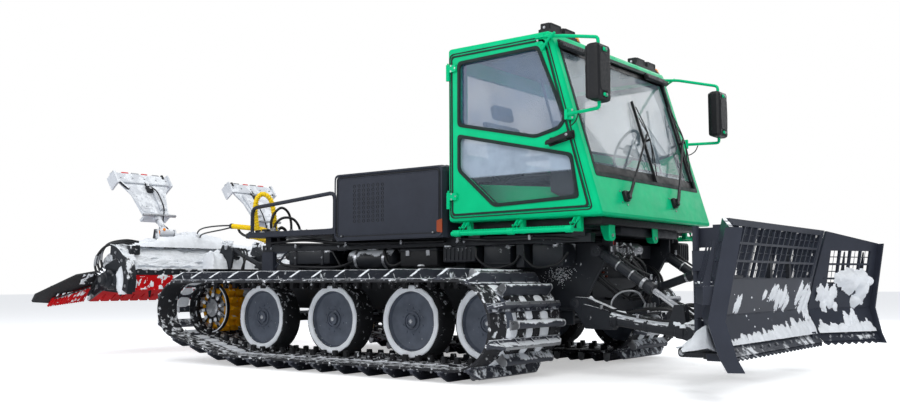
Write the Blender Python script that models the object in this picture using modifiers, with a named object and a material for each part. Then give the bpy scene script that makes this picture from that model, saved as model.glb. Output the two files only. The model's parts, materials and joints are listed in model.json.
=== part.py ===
"""Tracked snow groomer: chassis and cab on two tracks, front blade with wings, rear tiller.

Metres, +X forward, +Y to the machine's left, +Z up. The origin is on the ground, midway
between the blade's foremost point and the tiller's hindmost one.
"""

from math import acos, atan2, ceil, cos, floor, hypot, pi, radians, sin

import bmesh
import bpy
from mathutils import Matrix, Vector

# Clearances
SEAT = 0.0003            # between pieces that rest on each other
RUN = 0.006              # between a moving piece and what it passes
PIN_PLAY = 0.0005        # between a pin's corners and the flats of its eye
ROD_PLAY = 0.0006        # between a cylinder's rod and its barrel
PIN_SIDES = 12           # of pins, their eyes and cylinder bores
WELD = 1e-5              # joins a curve's caps to its sides

# Road wheels, from the sprocket forward
TYRE_R = 0.335
TYRE_W = 0.23
WHEEL_Y = 1.14
WHEEL_X = (-1.136, -0.173, 0.765, 1.569)
HUB_R = 0.075
RIM_R = 0.225

# Tracks
BELT_T = 0.02
BELT_W = 1.02
BELT_Y = 1.20
GROUSER_H = 0.09
GROUSER_BASE = 0.075
GROUSER_TIP = 0.03
GROUSER_PITCH = 0.257
HUB_Z = TYRE_R + SEAT + BELT_T + GROUSER_H

# Sprockets and their drives
SPROCKET_X = -1.903
SPROCKET_R = 0.256
SPROCKET_Z = HUB_Z + TYRE_R - SPROCKET_R
SPROCKET_TEETH = 11
TOOTH_H = 0.045
DRIVE_R = 0.15
SPOKE_W = 0.06

# Main frame between the tracks
RAIL_Y = 0.41
RAIL_T = 0.10
RAIL_LOW = HUB_Z + 0.0747
RAIL_HIGH = RAIL_LOW + 0.34
RAIL_REAR = -2.06
RAIL_FRONT = 2.10
CROSS_X = (-2.00, -0.95, 0.20, 1.15, 2.04)
CROSS_T = 0.12
AXLE_R = 0.05
HANGER_T = 0.14

# Upper frame, which carries the deck, the engine cover and the cab
BEAM_Y = 0.80
BEAM_T = 0.07
BEAM_LOW = 1.10
BEAM_HIGH = 1.17
BEAM_REAR = -1.60
BEAM_FRONT = 2.30
POST_X = (-1.50, -0.45, 1.00, 1.90)
POST_T = 0.10

# Engine and its cover
ENGINE = (-0.25, 0.72, 0.40, 1.60)      # rear x, front x, half width, top z
COVER_REAR = -0.363
COVER_FRONT = 0.963
COVER_Y = 1.04
COVER_HIGH = 1.815
COVER_WALL = 0.02
COVER_ROUND = 0.06

# Load deck and its rail
DECK_REAR = -1.657
DECK_FRONT = COVER_REAR - 0.03
DECK_Y = 0.99
DECK_LOW = 1.246
DECK_HIGH = 1.300
RAIL_TUBE_R = 0.02
RAIL_TOP_REAR = 1.556
RAIL_TOP_FRONT = 1.650
RAIL_BEND = 0.07

# Cab shell, as a side outline with a raked front
CAB_Y = 1.074
CAB_REAR = 1.043
CAB_LOW = 1.292
CAB_HIGH = 2.812
CAB_TOP_FRONT = 2.080
CAB_LOW_FRONT = 2.534
CAB_WALL = 0.05
CAB_ROUND = 0.03

# Doors, with their windows, as (x, share of the cab's height) corners
CAB_H = CAB_HIGH - CAB_LOW
DOOR_CORNERS = ((1.090, 0.0349), (2.432, 0.0428), (2.044, 0.9559), (1.086, 0.9507))
DOOR_T = 0.045
DOOR_PROUD = 0.008
UPPER_CORNERS = ((1.179, 0.9007), (1.176, 0.5507), (1.946, 0.4382), (2.171, 0.4717), (2.219, 0.5158),
                 (1.975, 0.9125))
LOWER_CORNERS = ((1.176, 0.4822), (1.174, 0.2941), (1.536, 0.0836), (2.322, 0.1033), (2.269, 0.3184))
DOOR, UPPER_WINDOW, LOWER_WINDOW = (tuple((x, CAB_LOW + share * CAB_H) for x, share in corners)
                                    for corners in (DOOR_CORNERS, UPPER_CORNERS, LOWER_CORNERS))
DOOR_HINGE_Z = (CAB_LOW + 0.121 * CAB_H, CAB_LOW + 0.855 * CAB_H)
HANDLE = (2.10, 2.26, 0.3954, 0.4164)    # rear x, front x, low and high share of the cab's height
DOOR_HINGE_X = 1.062
DOOR_HINGE_R = 0.016
GLASS_T = 0.008

# Windshield, along the raked front from its lower edge, and the rear window
SHIELD_SPAN = hypot(CAB_LOW_FRONT - CAB_TOP_FRONT, CAB_H)
SHIELD_LOW = 0.2175 * SHIELD_SPAN
SHIELD_HIGH = 0.9550 * SHIELD_SPAN
SHIELD_Y = 0.975
REAR_WINDOW_LOW = CAB_LOW + 0.40 * CAB_H
REAR_WINDOW_HIGH = CAB_LOW + 0.874 * CAB_H
REAR_WINDOW_Y = 0.85

# Seats and dashboard
SEAT_Y = 0.52
SEAT_W = 0.50
SEAT_X = 1.30
SEAT_BACK_H = 0.69 * CAB_H
DASH_DEPTH = 0.34
DASH_HIGH = CAB_LOW + 0.222 * CAB_H      # front edge of its top
DASH_SLOPE = 0.05
DASH_T = 0.17

# Push frame: arm pivot, lift cylinder and cross tube
ARM_PIVOT = (2.037, 0.598)
ARM_Y = 0.62
ARM_T = 0.07
ARM_JOINT = (2.39, 0.475)      # where the box part of the arm takes its tube
ARM_DEPTH = 0.17
ARM_TUBE_R = 0.046
ARM_FRONT = (3.02, 0.38)
CROSS_TUBE_R = 0.055
LIFT_PIN = (2.251, 1.030)
LIFT_EYE = (2.960, 0.560)
LIFT_BARREL_R = 0.042
LIFT_BARREL_L = 0.565
LIFT_ROD_R = 0.024
LIFT_ROD_INSIDE = 0.26
COLLAR = 0.008
PIN_R = 0.025
NOSE_T = 0.03
NOSE_Y = ARM_Y - LIFT_BARREL_R - COLLAR - RUN      # outer face of the plate that carries the pins

# Blade carrier, pitching on the cross tube, with its cylinder
CARRIER_X = 3.13
CARRIER_T = 0.06
CARRIER_Y = 0.16
CARRIER_LOW = 0.32
CARRIER_HIGH = 0.80
PITCH_PIN = (2.46, 0.715)
PITCH_EYE = (2.975, 0.890)
PITCH_BARREL_R = 0.036
PITCH_BARREL_L = 0.36
PITCH_ROD_R = 0.020
PITCH_ROD_INSIDE = 0.17
KING_X = 3.235
KING_R = 0.035
LUG_Y = 0.05
LUG_T = 0.05

# Blade and wings
BLADE_Y = 1.115
BLADE_X = 3.555                          # foremost point of the centre section, at its top
BLADE_T = 0.025
BLADE_PROFILE = ((0.0, 1.22), (-0.113, 0.80), (-0.178, 0.53), (-0.10, 0.30), (-0.04, 0.21))
TOP_BAR = (0.06, 0.04)                   # depth and height
BLADE_BOX = (3.32, 0.60, 0.80)           # rear x, low z, high z
LOWER_BOX = (3.36, 0.34, 0.46)
SCREEN_LOW = 0.805
SCREEN_HIGH = 1.178
SCREEN_RIM = 0.08
MESH_PITCH = 0.129
MESH_BAR = 0.018
TOOTH_PITCH = 0.09
TOOTH_DEPTH = 0.025
EDGE_H = 0.12
EDGE_T = 0.016
RIB_Y = (-0.90, -0.45, 0.0, 0.45, 0.90)
RIB_T = 0.03
WING_AXIS_X = 3.317
WING_HINGE_Y = 1.147
WING_HINGE_R = 0.024
WING_RINGS = (0.35, 1.17)                # foot and head of the row of hinge rings
WING_L = 0.66
WING_REST = radians(27.0)
WING_FORWARD = radians(15.0)             # how much further it swings forward
WING_DROP = 0.10
WING_END_PROUD = 0.057

# Rear lift and its cylinder
REAR_PIVOT = (-2.14, 0.62)
REAR_ARM_Y = 0.30
REAR_ARM_T = 0.07
REAR_LIFT_PIN = (-1.60, 1.16)
REAR_LIFT_EYE = (-2.46, 1.03)
REAR_BARREL_R = 0.042
REAR_BARREL_L = 0.50
REAR_ROD_R = 0.024
REAR_ROD_INSIDE = 0.20

# Tiller
TILLER_X = -3.33
TILLER_Z = 0.82
TILLER_Y = 1.45
HOOD_R = 0.28
HOOD_T = 0.03
END_T = 0.03
ROTOR_R = 0.10
SHAFT_R = 0.05
ROTOR_TOOTH = 0.20
ROTOR_RINGS = 9
ROTOR_PLAY = 0.02
BEAM_BOX = (0.12, 0.10)                  # half length in x, height
COMB_TOP = (-3.61, 0.86)
COMB_LOW = (-3.86, 0.575)
COMB_PITCH = 0.13
COMB_NOTCH = 0.04
COMB_CUT = 0.08
TILLER_WING_L = 0.70
TILLER_WING_REST = radians(9.0)
FLAP_HINGE_R = 0.018

# Track setters
SETTER_PIVOT = (-3.275, 1.36)
SETTER_Y = 0.84
SETTER_W = 0.78
SETTER_LOW = (-3.45, 1.56)
SETTER_HIGH = (-3.812, 2.06)
SETTER_T = 0.03
SETTER_PIN_R = 0.02

# Mirrors, lamps and steps
MIRROR = (2.585, 1.185, CAB_LOW + 0.7092 * CAB_H)
MIRROR_SIZE = (0.11, 0.22, 0.44)
MIRROR_TUBE_R = 0.014
LAMP_X = 2.07
LAMP_Y = 0.78
LAMP_SIZE = (0.10, 0.46, 0.09)
STEP_REAR = 1.18
STEP_FRONT = 2.335
STEP_Y = 1.20
STEP_Z = 1.185
STEP_R = 0.02

SIDES = ((-1, "right"), (1, "left"))
COLOURS = {
    "green": (0.0, 0.55, 0.24, 0.35, 0.0),
    "dark_steel": (0.03, 0.035, 0.042, 0.45, 0.5),
    "slate": (0.05, 0.058, 0.075, 0.4, 0.3),
    "rubber": (0.02, 0.02, 0.022, 0.8, 0.0),
    "tyre": (0.03, 0.03, 0.032, 0.8, 0.0),
    "yellow": (0.75, 0.32, 0.0, 0.5, 0.0),
    "red": (0.5, 0.01, 0.01, 0.5, 0.0),
    "white": (0.8, 0.8, 0.8, 0.5, 0.0),
    "glass": (0.2, 0.28, 0.3, 0.05, 0.0),
    "grey_cloth": (0.15, 0.15, 0.16, 0.9, 0.0),
    "black_plastic": (0.015, 0.015, 0.017, 0.5, 0.0),
    "chrome": (0.7, 0.7, 0.72, 0.15, 1.0),
    "engine": (0.2, 0.2, 0.21, 0.5, 0.8),
}

for old in list(bpy.data.objects):
    bpy.data.objects.remove(old)
MODEL = bpy.data.collections.new("snow_groomer")
bpy.context.scene.collection.children.link(MODEL)


# Shape helpers. Each returns an object whose mesh is in world coordinates.

def keep(bm, name="piece"):
    mesh = bpy.data.meshes.new(name)
    bm.normal_update()
    bm.to_mesh(mesh)
    bm.free()
    piece = bpy.data.objects.new(name, mesh)
    MODEL.objects.link(piece)
    return piece


def baked(piece, weld):
    """The evaluated object as plain mesh, in world coordinates, with points closer than weld made one."""
    bpy.context.view_layer.update()
    graph = bpy.context.evaluated_depsgraph_get()
    mesh = bpy.data.meshes.new_from_object(piece.evaluated_get(graph))
    bm = bmesh.new()
    bm.from_mesh(mesh)
    bm.transform(piece.matrix_world)
    if weld:
        bmesh.ops.remove_doubles(bm, verts=bm.verts, dist=weld)
        bmesh.ops.recalc_face_normals(bm, faces=bm.faces)
    bpy.data.objects.remove(piece)
    bpy.data.meshes.remove(mesh)
    return keep(bm)


def block(low, high, bevel=0.0):
    bm = bmesh.new()
    bmesh.ops.create_cube(bm, size=1.0)
    size = [b - a for a, b in zip(low, high)]
    middle = [(a + b) / 2 for a, b in zip(low, high)]
    bmesh.ops.scale(bm, vec=size, verts=bm.verts)
    bmesh.ops.translate(bm, vec=middle, verts=bm.verts)
    if bevel:
        bmesh.ops.bevel(bm, geom=list(bm.edges), offset=bevel, segments=2, profile=0.5, affect="EDGES")
    return keep(bm)


def rod(start, end, radius, sides=16, phase=0.0):
    start = Vector(start)
    way = Vector(end) - start
    aim = Vector((0, 0, 1)).rotation_difference(way).to_matrix().to_4x4() @ Matrix.Rotation(phase, 4, "Z")
    bm = bmesh.new()
    bmesh.ops.create_cone(bm, cap_ends=True, segments=sides, radius1=radius, radius2=radius,
                          depth=way.length,
                          matrix=Matrix.Translation(start + way / 2) @ aim)
    return keep(bm)


def pin(centre, y0, y1, radius):
    """A pin across the machine, its centre given as (x, z)."""
    return rod((centre[0], y0, centre[1]), (centre[0], y1, centre[1]), radius, PIN_SIDES)


def eye(centre, y0, y1, radius):
    """The cutter of a pin's eye, turned so that its flats face the pin's corners."""
    return rod((centre[0], y0, centre[1]), (centre[0], y1, centre[1]),
               (radius + PIN_PLAY) / cos(pi / PIN_SIDES),
               PIN_SIDES, pi / PIN_SIDES)


AXIS_TURN = {
    "x": Matrix(((0, 0, 1, 0), (1, 0, 0, 0), (0, 1, 0, 0), (0, 0, 0, 1))),
    "y": Matrix(((1, 0, 0, 0), (0, 0, -1, 0), (0, 1, 0, 0), (0, 0, 0, 1))),
    "z": Matrix.Identity(4),
}


def plate(outlines, axis, low, high):
    """Flat outlines, the first the rim and the others holes, given thickness from low to high along axis."""
    curve = bpy.data.curves.new("plate", "CURVE")
    curve.dimensions = "2D"
    curve.fill_mode = "BOTH"
    curve.extrude = (high - low) / 2
    for outline in outlines:
        spline = curve.splines.new("POLY")
        spline.points.add(len(outline) - 1)
        for point, (a, b) in zip(spline.points, outline):
            point.co = (a, b, 0, 1)
        spline.use_cyclic_u = True
    piece = bpy.data.objects.new("plate", curve)
    MODEL.objects.link(piece)
    place = {"x": ((low + high) / 2, 0, 0), "y": (0, (low + high) / 2, 0), "z": (0, 0, (low + high) / 2)}
    piece.matrix_world = Matrix.Translation(place[axis]) @ AXIS_TURN[axis]
    return baked(piece, WELD)


def tube(points, radius, bend=0.0, sides=2):
    """A bent tube or bar: a curve with a bevel and filled caps, its corners rounded over the length bend."""
    if bend:
        rounded = [Vector(points[0])]
        for before, corner, after in zip(points, points[1:], points[2:]):
            corner = Vector(corner)
            start = corner + (Vector(before) - corner).normalized() * bend
            end = corner + (Vector(after) - corner).normalized() * bend
            for t in (0.0, 0.33, 0.67, 1.0):
                rounded.append(start * (1 - t) ** 2 + corner * (2 * t * (1 - t)) + end * t * t)
        points = rounded + [Vector(points[-1])]
    curve = bpy.data.curves.new("tube", "CURVE")
    curve.dimensions = "3D"
    curve.bevel_depth = radius
    curve.bevel_resolution = sides
    curve.use_fill_caps = True
    spline = curve.splines.new("POLY")
    spline.points.add(len(points) - 1)
    for point, place in zip(spline.points, points):
        point.co = (*place, 1)
    piece = bpy.data.objects.new("tube", curve)
    MODEL.objects.link(piece)
    return baked(piece, WELD)


def turned(profile, centre, axis, sides=16):
    """A profile of (radius, height), from the axis on top to the axis below, turned about axis."""
    bm = bmesh.new()
    points = [bm.verts.new((radius, 0, height)) for radius, height in profile]
    for a, b in zip(points, points[1:]):
        bm.edges.new((a, b))
    piece = keep(bm)
    screw = piece.modifiers.new("turn", "SCREW")
    screw.steps = sides
    screw.render_steps = sides
    screw.use_merge_vertices = True
    screw.merge_threshold = WELD
    piece.matrix_world = Matrix.Translation(centre) @ AXIS_TURN[axis]
    return baked(piece, WELD)


def turn(piece, angle, axis, pivot):
    """The piece turned about a line through pivot."""
    move = Matrix.Translation(pivot) @ Matrix.Rotation(angle, 4,
                                                       axis) @ Matrix.Translation([-c for c in pivot])
    piece.data.transform(move)
    return piece


def combine(first, others, operation):
    for other in others:
        step = first.modifiers.new("step", "BOOLEAN")
        step.operation = operation
        step.object = other
    result = baked(first, 0)
    for other in others:
        bpy.data.objects.remove(other)
    return result


def joined(*pieces):
    return combine(pieces[0], pieces[1:], "UNION")


def cut(piece, *cutters):
    return combine(piece, cutters, "DIFFERENCE")


def mirrored(piece):
    """A second piece, the first seen in the machine's middle plane."""
    bm = bmesh.new()
    bm.from_mesh(piece.data)
    bmesh.ops.scale(bm, vec=(1, -1, 1), verts=bm.verts)
    bmesh.ops.reverse_faces(bm, faces=bm.faces)
    return keep(bm)


def circle(centre, radius, sides, start=0.0, end=2 * pi):
    """Points round a centre; a full circle doesn't repeat its first one."""
    steps = sides if end - start > 2 * pi - 1e-6 else sides + 1
    return [(centre[0] + radius * cos(start + (end - start) * i / sides),
             centre[1] + radius * sin(start + (end - start) * i / sides)) for i in range(steps)]


def inset(outline, distance):
    """A counter-clockwise outline moved inwards by a distance."""
    moved = []
    count = len(outline)
    for i, (x, z) in enumerate(outline):
        before = outline[i - 1]
        after = outline[(i + 1) % count]
        first = Vector((x - before[0], z - before[1])).normalized()
        second = Vector((after[0] - x, after[1] - z)).normalized()
        inward = Vector((-first.y - second.y, first.x + second.x)).normalized()
        reach = distance / max(0.2, inward.dot(Vector((-first.y, first.x))))
        moved.append((x + inward.x * reach, z + inward.y * reach))
    return moved


def counter_clockwise(outline):
    area = sum(a[0] * b[1] - b[0] * a[1] for a, b in zip(outline, outline[1:] + outline[:1]))
    return list(outline) if area > 0 else list(reversed(outline))


MATERIALS = {}
for slot, (red, green, blue, rough, metal) in COLOURS.items():
    material = bpy.data.materials.new(slot)
    material.use_nodes = True
    shader = material.node_tree.nodes["Principled BSDF"]
    shader.inputs["Base Color"].default_value = (red, green, blue, 1)
    shader.inputs["Roughness"].default_value = rough
    shader.inputs["Metallic"].default_value = metal
    material.diffuse_color = (red, green, blue, 1)
    MATERIALS[slot] = material

BODIES = {}


def body(name, pivot):
    """An empty on the joint's axis, which carries a moving body's pieces."""
    empty = bpy.data.objects.new("at_" + name, None)
    empty.location = pivot
    MODEL.objects.link(empty)
    BODIES[name] = empty


def part(name, piece, colour, carrier=None):
    """Names a finished piece, gives it its material and parents it to its body's empty."""
    piece.name = name
    piece.data.name = name
    piece.data.materials.clear()
    piece.data.materials.append(MATERIALS[colour])
    piece.data.shade_smooth()
    piece.data.set_sharp_from_angle(angle=radians(30))
    if carrier:
        piece.parent = BODIES[carrier]
        piece.location = -BODIES[carrier].location


# Tracks and wheels

def track_path():
    """The belt's inner line as (centre x, centre z, radius, first angle, last angle) arcs."""
    wheels = [(WHEEL_X[-1], HUB_Z, TYRE_R + SEAT),
              (SPROCKET_X, SPROCKET_Z, SPROCKET_R + SEAT),
              (WHEEL_X[0], HUB_Z, TYRE_R + SEAT)]
    normals = []
    for (x0, z0, r0), (x1, z1, r1) in zip(wheels, wheels[1:] + wheels[:1]):
        lean = (r0 - r1) / hypot(x1 - x0, z1 - z0)
        normals.append(atan2(z1 - z0, x1 - x0) - acos(lean))
    arcs = []
    for i, (x, z, r) in enumerate(wheels):
        first = normals[i - 1]
        last = normals[i]
        while last < first:
            last += 2 * pi
        arcs.append((x, z, r, first, last))
    return arcs


def track_stations(arcs, offset):
    """Arc lengths and a function from arc length and height to a point, along the loop at an offset."""
    pieces = []
    total = 0.0
    for i, (x, z, r, first, last) in enumerate(arcs):
        turn_length = (r + offset) * (last - first)
        pieces.append((total, turn_length, "arc", (x, z, r, first)))
        total += turn_length
        x1, z1, r1, first1, _ = arcs[(i + 1) % len(arcs)]
        start = (x + r * cos(last), z + r * sin(last))
        end = (x1 + r1 * cos(first1), z1 + r1 * sin(first1))
        run_length = hypot(end[0] - start[0], end[1] - start[1])
        pieces.append((total, run_length, "run", (start, end, last)))
        total += run_length

    def at(s, height):
        s %= total
        for start_s, length, kind, data in pieces:
            if s <= start_s + length:
                break
        share = s - start_s
        if kind == "arc":
            x, z, r, first = data
            angle = first + share / (r + offset)
            return (x + (r + height) * cos(angle), z + (r + height) * sin(angle))
        start, end, angle = data
        t = share / length
        return (start[0] + (end[0] - start[0]) * t + height * cos(angle),
                start[1] + (end[1] - start[1]) * t + height * sin(angle))

    return total, at


def track():
    arcs = track_path()
    total, at = track_stations(arcs, BELT_T)
    shoes = round(total / GROUSER_PITCH)
    outer = []
    for i in range(shoes):
        middle = total * (i + 0.5) / shoes
        outer.append(at(middle - GROUSER_BASE / 2, BELT_T))
        outer.append(at(middle - GROUSER_TIP / 2, BELT_T + GROUSER_H))
        outer.append(at(middle + GROUSER_TIP / 2, BELT_T + GROUSER_H))
        outer.append(at(middle + GROUSER_BASE / 2, BELT_T))
        outer.append(at(total * (i + 1) / shoes, BELT_T))
    inner = []
    for x, z, r, first, last in arcs:
        steps = max(1, ceil((last - first) / radians(15)))
        half = (last - first) / steps / 2
        inner.append((x + r * cos(first), z + r * sin(first)))
        inner += circle((x, z), r / cos(half), steps - 1, first + half, last - half) if steps > 1 else []
        inner.append((x + r * cos(last), z + r * sin(last)))
    return plate([outer, inner], "y", -BELT_Y - BELT_W / 2, -BELT_Y + BELT_W / 2)


def wheel(x):
    half = TYRE_W / 2
    profile = [(0, half - 0.025), (HUB_R - 0.015, half - 0.025), (HUB_R, half - 0.065),
               (RIM_R - 0.025, half - 0.065),
               (RIM_R, half), (TYRE_R - 0.035, half), (TYRE_R, half - 0.045),
               (TYRE_R, -half + 0.045), (TYRE_R - 0.035, -half), (RIM_R, -half),
               (RIM_R - 0.025, -half + 0.06),
               (0, -half + 0.06)]
    return turned(profile, (x, -WHEEL_Y, HUB_Z), "y")


def sprocket():
    """A toothed ring inboard and a plain rim outboard, on one hub."""
    teeth = []
    root = SPROCKET_R - TOOTH_H
    tip = SPROCKET_R - 0.008
    step = 2 * pi / SPROCKET_TEETH
    for i in range(SPROCKET_TEETH):
        for share, radius in ((-0.30, root), (-0.14, tip), (0.14, tip), (0.30, root)):
            angle = (i + share) * step
            teeth.append((SPROCKET_X + radius * cos(angle), SPROCKET_Z + radius * sin(angle)))
    inner = -WHEEL_Y + TYRE_W / 2
    ring = plate([teeth], "y", inner - 0.02, inner + 0.06)
    rim = plate([circle((SPROCKET_X, SPROCKET_Z), SPROCKET_R - 0.012, 24),
                 circle((SPROCKET_X, SPROCKET_Z), SPROCKET_R - 0.06, 24)], "y", -WHEEL_Y - TYRE_W / 2,
                 -WHEEL_Y - 0.02)
    outside = -WHEEL_Y - TYRE_W / 2
    reach = SPROCKET_R - 0.03
    spokes = []
    for angle in (0, 60, 120):
        spoke = block((SPROCKET_X - SPOKE_W / 2, outside + 0.03, SPROCKET_Z - reach),
                      (SPROCKET_X + SPOKE_W / 2, outside + 0.06, SPROCKET_Z + reach))
        spokes.append(turn(spoke, radians(angle), "Y", (SPROCKET_X, 0, SPROCKET_Z)))
    hub = rod((SPROCKET_X, -WHEEL_Y - TYRE_W / 2 + 0.01, SPROCKET_Z),
              (SPROCKET_X, inner + 0.04, SPROCKET_Z), 0.12, 20)
    return joined(hub, ring, rim, *spokes)


# Frames

def nose_plate():
    """The side plate that carries the push arm and the lift cylinder, right side."""
    pivot_x, pivot_z = ARM_PIVOT
    pin_x, pin_z = LIFT_PIN
    top = BEAM_LOW - SEAT
    outline = [(1.72, RAIL_LOW + 0.02), (pivot_x + 0.06, pivot_z - 0.07), (pivot_x + 0.06, pivot_z + 0.04),
               (pin_x + 0.055, pin_z - 0.04), (pin_x + 0.09, top), (1.72, top), (1.30, 0.83), (1.30, 0.60)]
    return plate([outline], "y", -NOSE_Y, -NOSE_Y + NOSE_T)


def main_frame():
    inner = RAIL_Y - RAIL_T / 2
    pieces = [block((RAIL_REAR, -RAIL_Y - RAIL_T / 2, RAIL_LOW), (RAIL_FRONT, -inner, RAIL_HIGH)),
              block((RAIL_REAR, inner, RAIL_LOW), (RAIL_FRONT, RAIL_Y + RAIL_T / 2, RAIL_HIGH)),
              block((RAIL_REAR + 0.05, -RAIL_Y, RAIL_LOW - 0.01),
                    (RAIL_FRONT - 0.05, RAIL_Y, RAIL_LOW + 0.02))]
    for x in CROSS_X:
        pieces.append(block((x - CROSS_T / 2, -RAIL_Y, RAIL_LOW + 0.01),
                            (x + CROSS_T / 2, RAIL_Y, RAIL_HIGH - 0.05)))
    axle_end = WHEEL_Y - TYRE_W / 2 + 0.06 - SEAT
    for x in WHEEL_X:
        pieces.append(rod((x, -axle_end, HUB_Z), (x, axle_end, HUB_Z), AXLE_R, 12))
    for side, _ in SIDES:
        for x in WHEEL_X:
            pieces.append(block((x - HANGER_T / 2, side * RAIL_Y - 0.04, HUB_Z - 0.07),
                                (x + HANGER_T / 2, side * RAIL_Y + 0.04, RAIL_LOW + 0.05)))
        pieces.append(rod((SPROCKET_X, side * RAIL_Y, SPROCKET_Z + 0.03),
                          (SPROCKET_X, side * (WHEEL_Y - TYRE_W / 2 - 0.06 - SEAT), SPROCKET_Z + 0.03),
                          DRIVE_R, 20))
        for centre in (ARM_PIVOT, LIFT_PIN):
            ends = sorted((side * (NOSE_Y - NOSE_T / 2), side * (ARM_Y + LIFT_BARREL_R + COLLAR)))
            pieces.append(pin(centre, *ends, PIN_R))
        low_y, high_y = sorted((side * (REAR_ARM_Y + REAR_ARM_T / 2 + RUN), side * (RAIL_Y + 0.03)))
        pieces.append(block((REAR_PIVOT[0] - 0.06, low_y, REAR_PIVOT[1] - 0.06),
                            (RAIL_REAR + 0.05, high_y, REAR_PIVOT[1] + 0.08)))
        pieces.append(pin(REAR_PIVOT, *sorted((side * (REAR_ARM_Y - REAR_ARM_T / 2 - 0.01), side * RAIL_Y)),
                          PIN_R))
    pieces.append(block((ARM_PIVOT[0] - 0.177, -NOSE_Y + 0.01, RAIL_LOW + 0.05),
                        (RAIL_FRONT - 0.02, NOSE_Y - 0.01, RAIL_HIGH - 0.07)))
    right_nose = nose_plate()
    left_nose = mirrored(right_nose)
    return joined(*pieces, right_nose, left_nose)


def upper_frame():
    pieces = []
    for side, _ in SIDES:
        pieces.append(block((BEAM_REAR, side * BEAM_Y - BEAM_T / 2, BEAM_LOW),
                            (BEAM_FRONT, side * BEAM_Y + BEAM_T / 2, BEAM_HIGH)))
        for x in POST_X:
            pieces.append(block((x - POST_T / 2, side * RAIL_Y - POST_T / 2, RAIL_HIGH + SEAT),
                                (x + POST_T / 2, side * RAIL_Y + POST_T / 2, BEAM_HIGH - 0.005)))
        for x in (CAB_REAR + 0.12, BEAM_FRONT - 0.1):
            pieces.append(block((x - 0.06, side * BEAM_Y - 0.06, BEAM_HIGH - 0.02),
                                (x + 0.06, side * BEAM_Y + 0.06, CAB_LOW - SEAT)))
        for x in (DECK_REAR + 0.15, DECK_FRONT - 0.15):
            pieces.append(block((x - 0.04, side * BEAM_Y - 0.04, BEAM_HIGH - 0.02),
                                (x + 0.04, side * BEAM_Y + 0.04, DECK_LOW - SEAT)))
    for x in POST_X:
        pieces.append(block((x - 0.035, -BEAM_Y, BEAM_LOW + 0.004), (x + 0.035, BEAM_Y, BEAM_HIGH - 0.004)))
    pieces.append(block((REAR_LIFT_PIN[0] - 0.03, -0.10, BEAM_LOW + 0.008),
                        (POST_X[0], -0.06, BEAM_HIGH + 0.04)))
    pieces.append(block((REAR_LIFT_PIN[0] - 0.03, 0.06, BEAM_LOW + 0.008),
                        (POST_X[0], 0.10, BEAM_HIGH + 0.04)))
    pieces.append(pin(REAR_LIFT_PIN, -0.09, 0.09, PIN_R))
    return joined(*pieces)


def engine_cover():
    low = BEAM_HIGH + SEAT
    outer = block((COVER_REAR, -COVER_Y, low), (COVER_FRONT, COVER_Y, COVER_HIGH + COVER_ROUND),
                  COVER_ROUND)
    trim = block((COVER_REAR - 1, -2, low - 1), (COVER_FRONT + 1, 2, low + COVER_ROUND))
    hollow = block((COVER_REAR + COVER_WALL, -COVER_Y + COVER_WALL, low - 0.5),
                   (COVER_FRONT - COVER_WALL, COVER_Y - COVER_WALL, COVER_HIGH + COVER_ROUND - COVER_WALL),
                   COVER_ROUND - COVER_WALL)
    cover = cut(outer, trim, hollow)
    cover.data.transform(Matrix.Translation((0, 0, -COVER_ROUND)))
    return cover


def deck():
    pieces = [block((DECK_REAR, -DECK_Y, DECK_LOW), (DECK_FRONT, DECK_Y, DECK_HIGH))]
    for side, _ in SIDES:
        y = side * (DECK_Y - 0.03)
        rear = DECK_REAR + 0.035
        front = DECK_FRONT - 0.035
        pieces.append(tube([(rear, y, DECK_HIGH - 0.02), (rear, y, RAIL_TOP_REAR),
                            (front, y, RAIL_TOP_FRONT),
                            (front, y, DECK_HIGH - 0.02)], RAIL_TUBE_R, RAIL_BEND))
    return joined(*pieces)


# Cab

CAB_SIDE = [(CAB_REAR, CAB_LOW), (CAB_LOW_FRONT, CAB_LOW), (CAB_TOP_FRONT, CAB_HIGH), (CAB_REAR, CAB_HIGH)]
RAKE = atan2(CAB_LOW_FRONT - CAB_TOP_FRONT, CAB_HIGH - CAB_LOW)


def raked_block(low, high):
    """A block in the windshield's own frame: out along the front's normal, across, and up the rake."""
    piece = block(low, high)
    piece.data.transform(Matrix.Translation((CAB_LOW_FRONT, 0, CAB_LOW)) @ Matrix.Rotation(-RAKE, 4, "Y"))
    return piece


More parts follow.
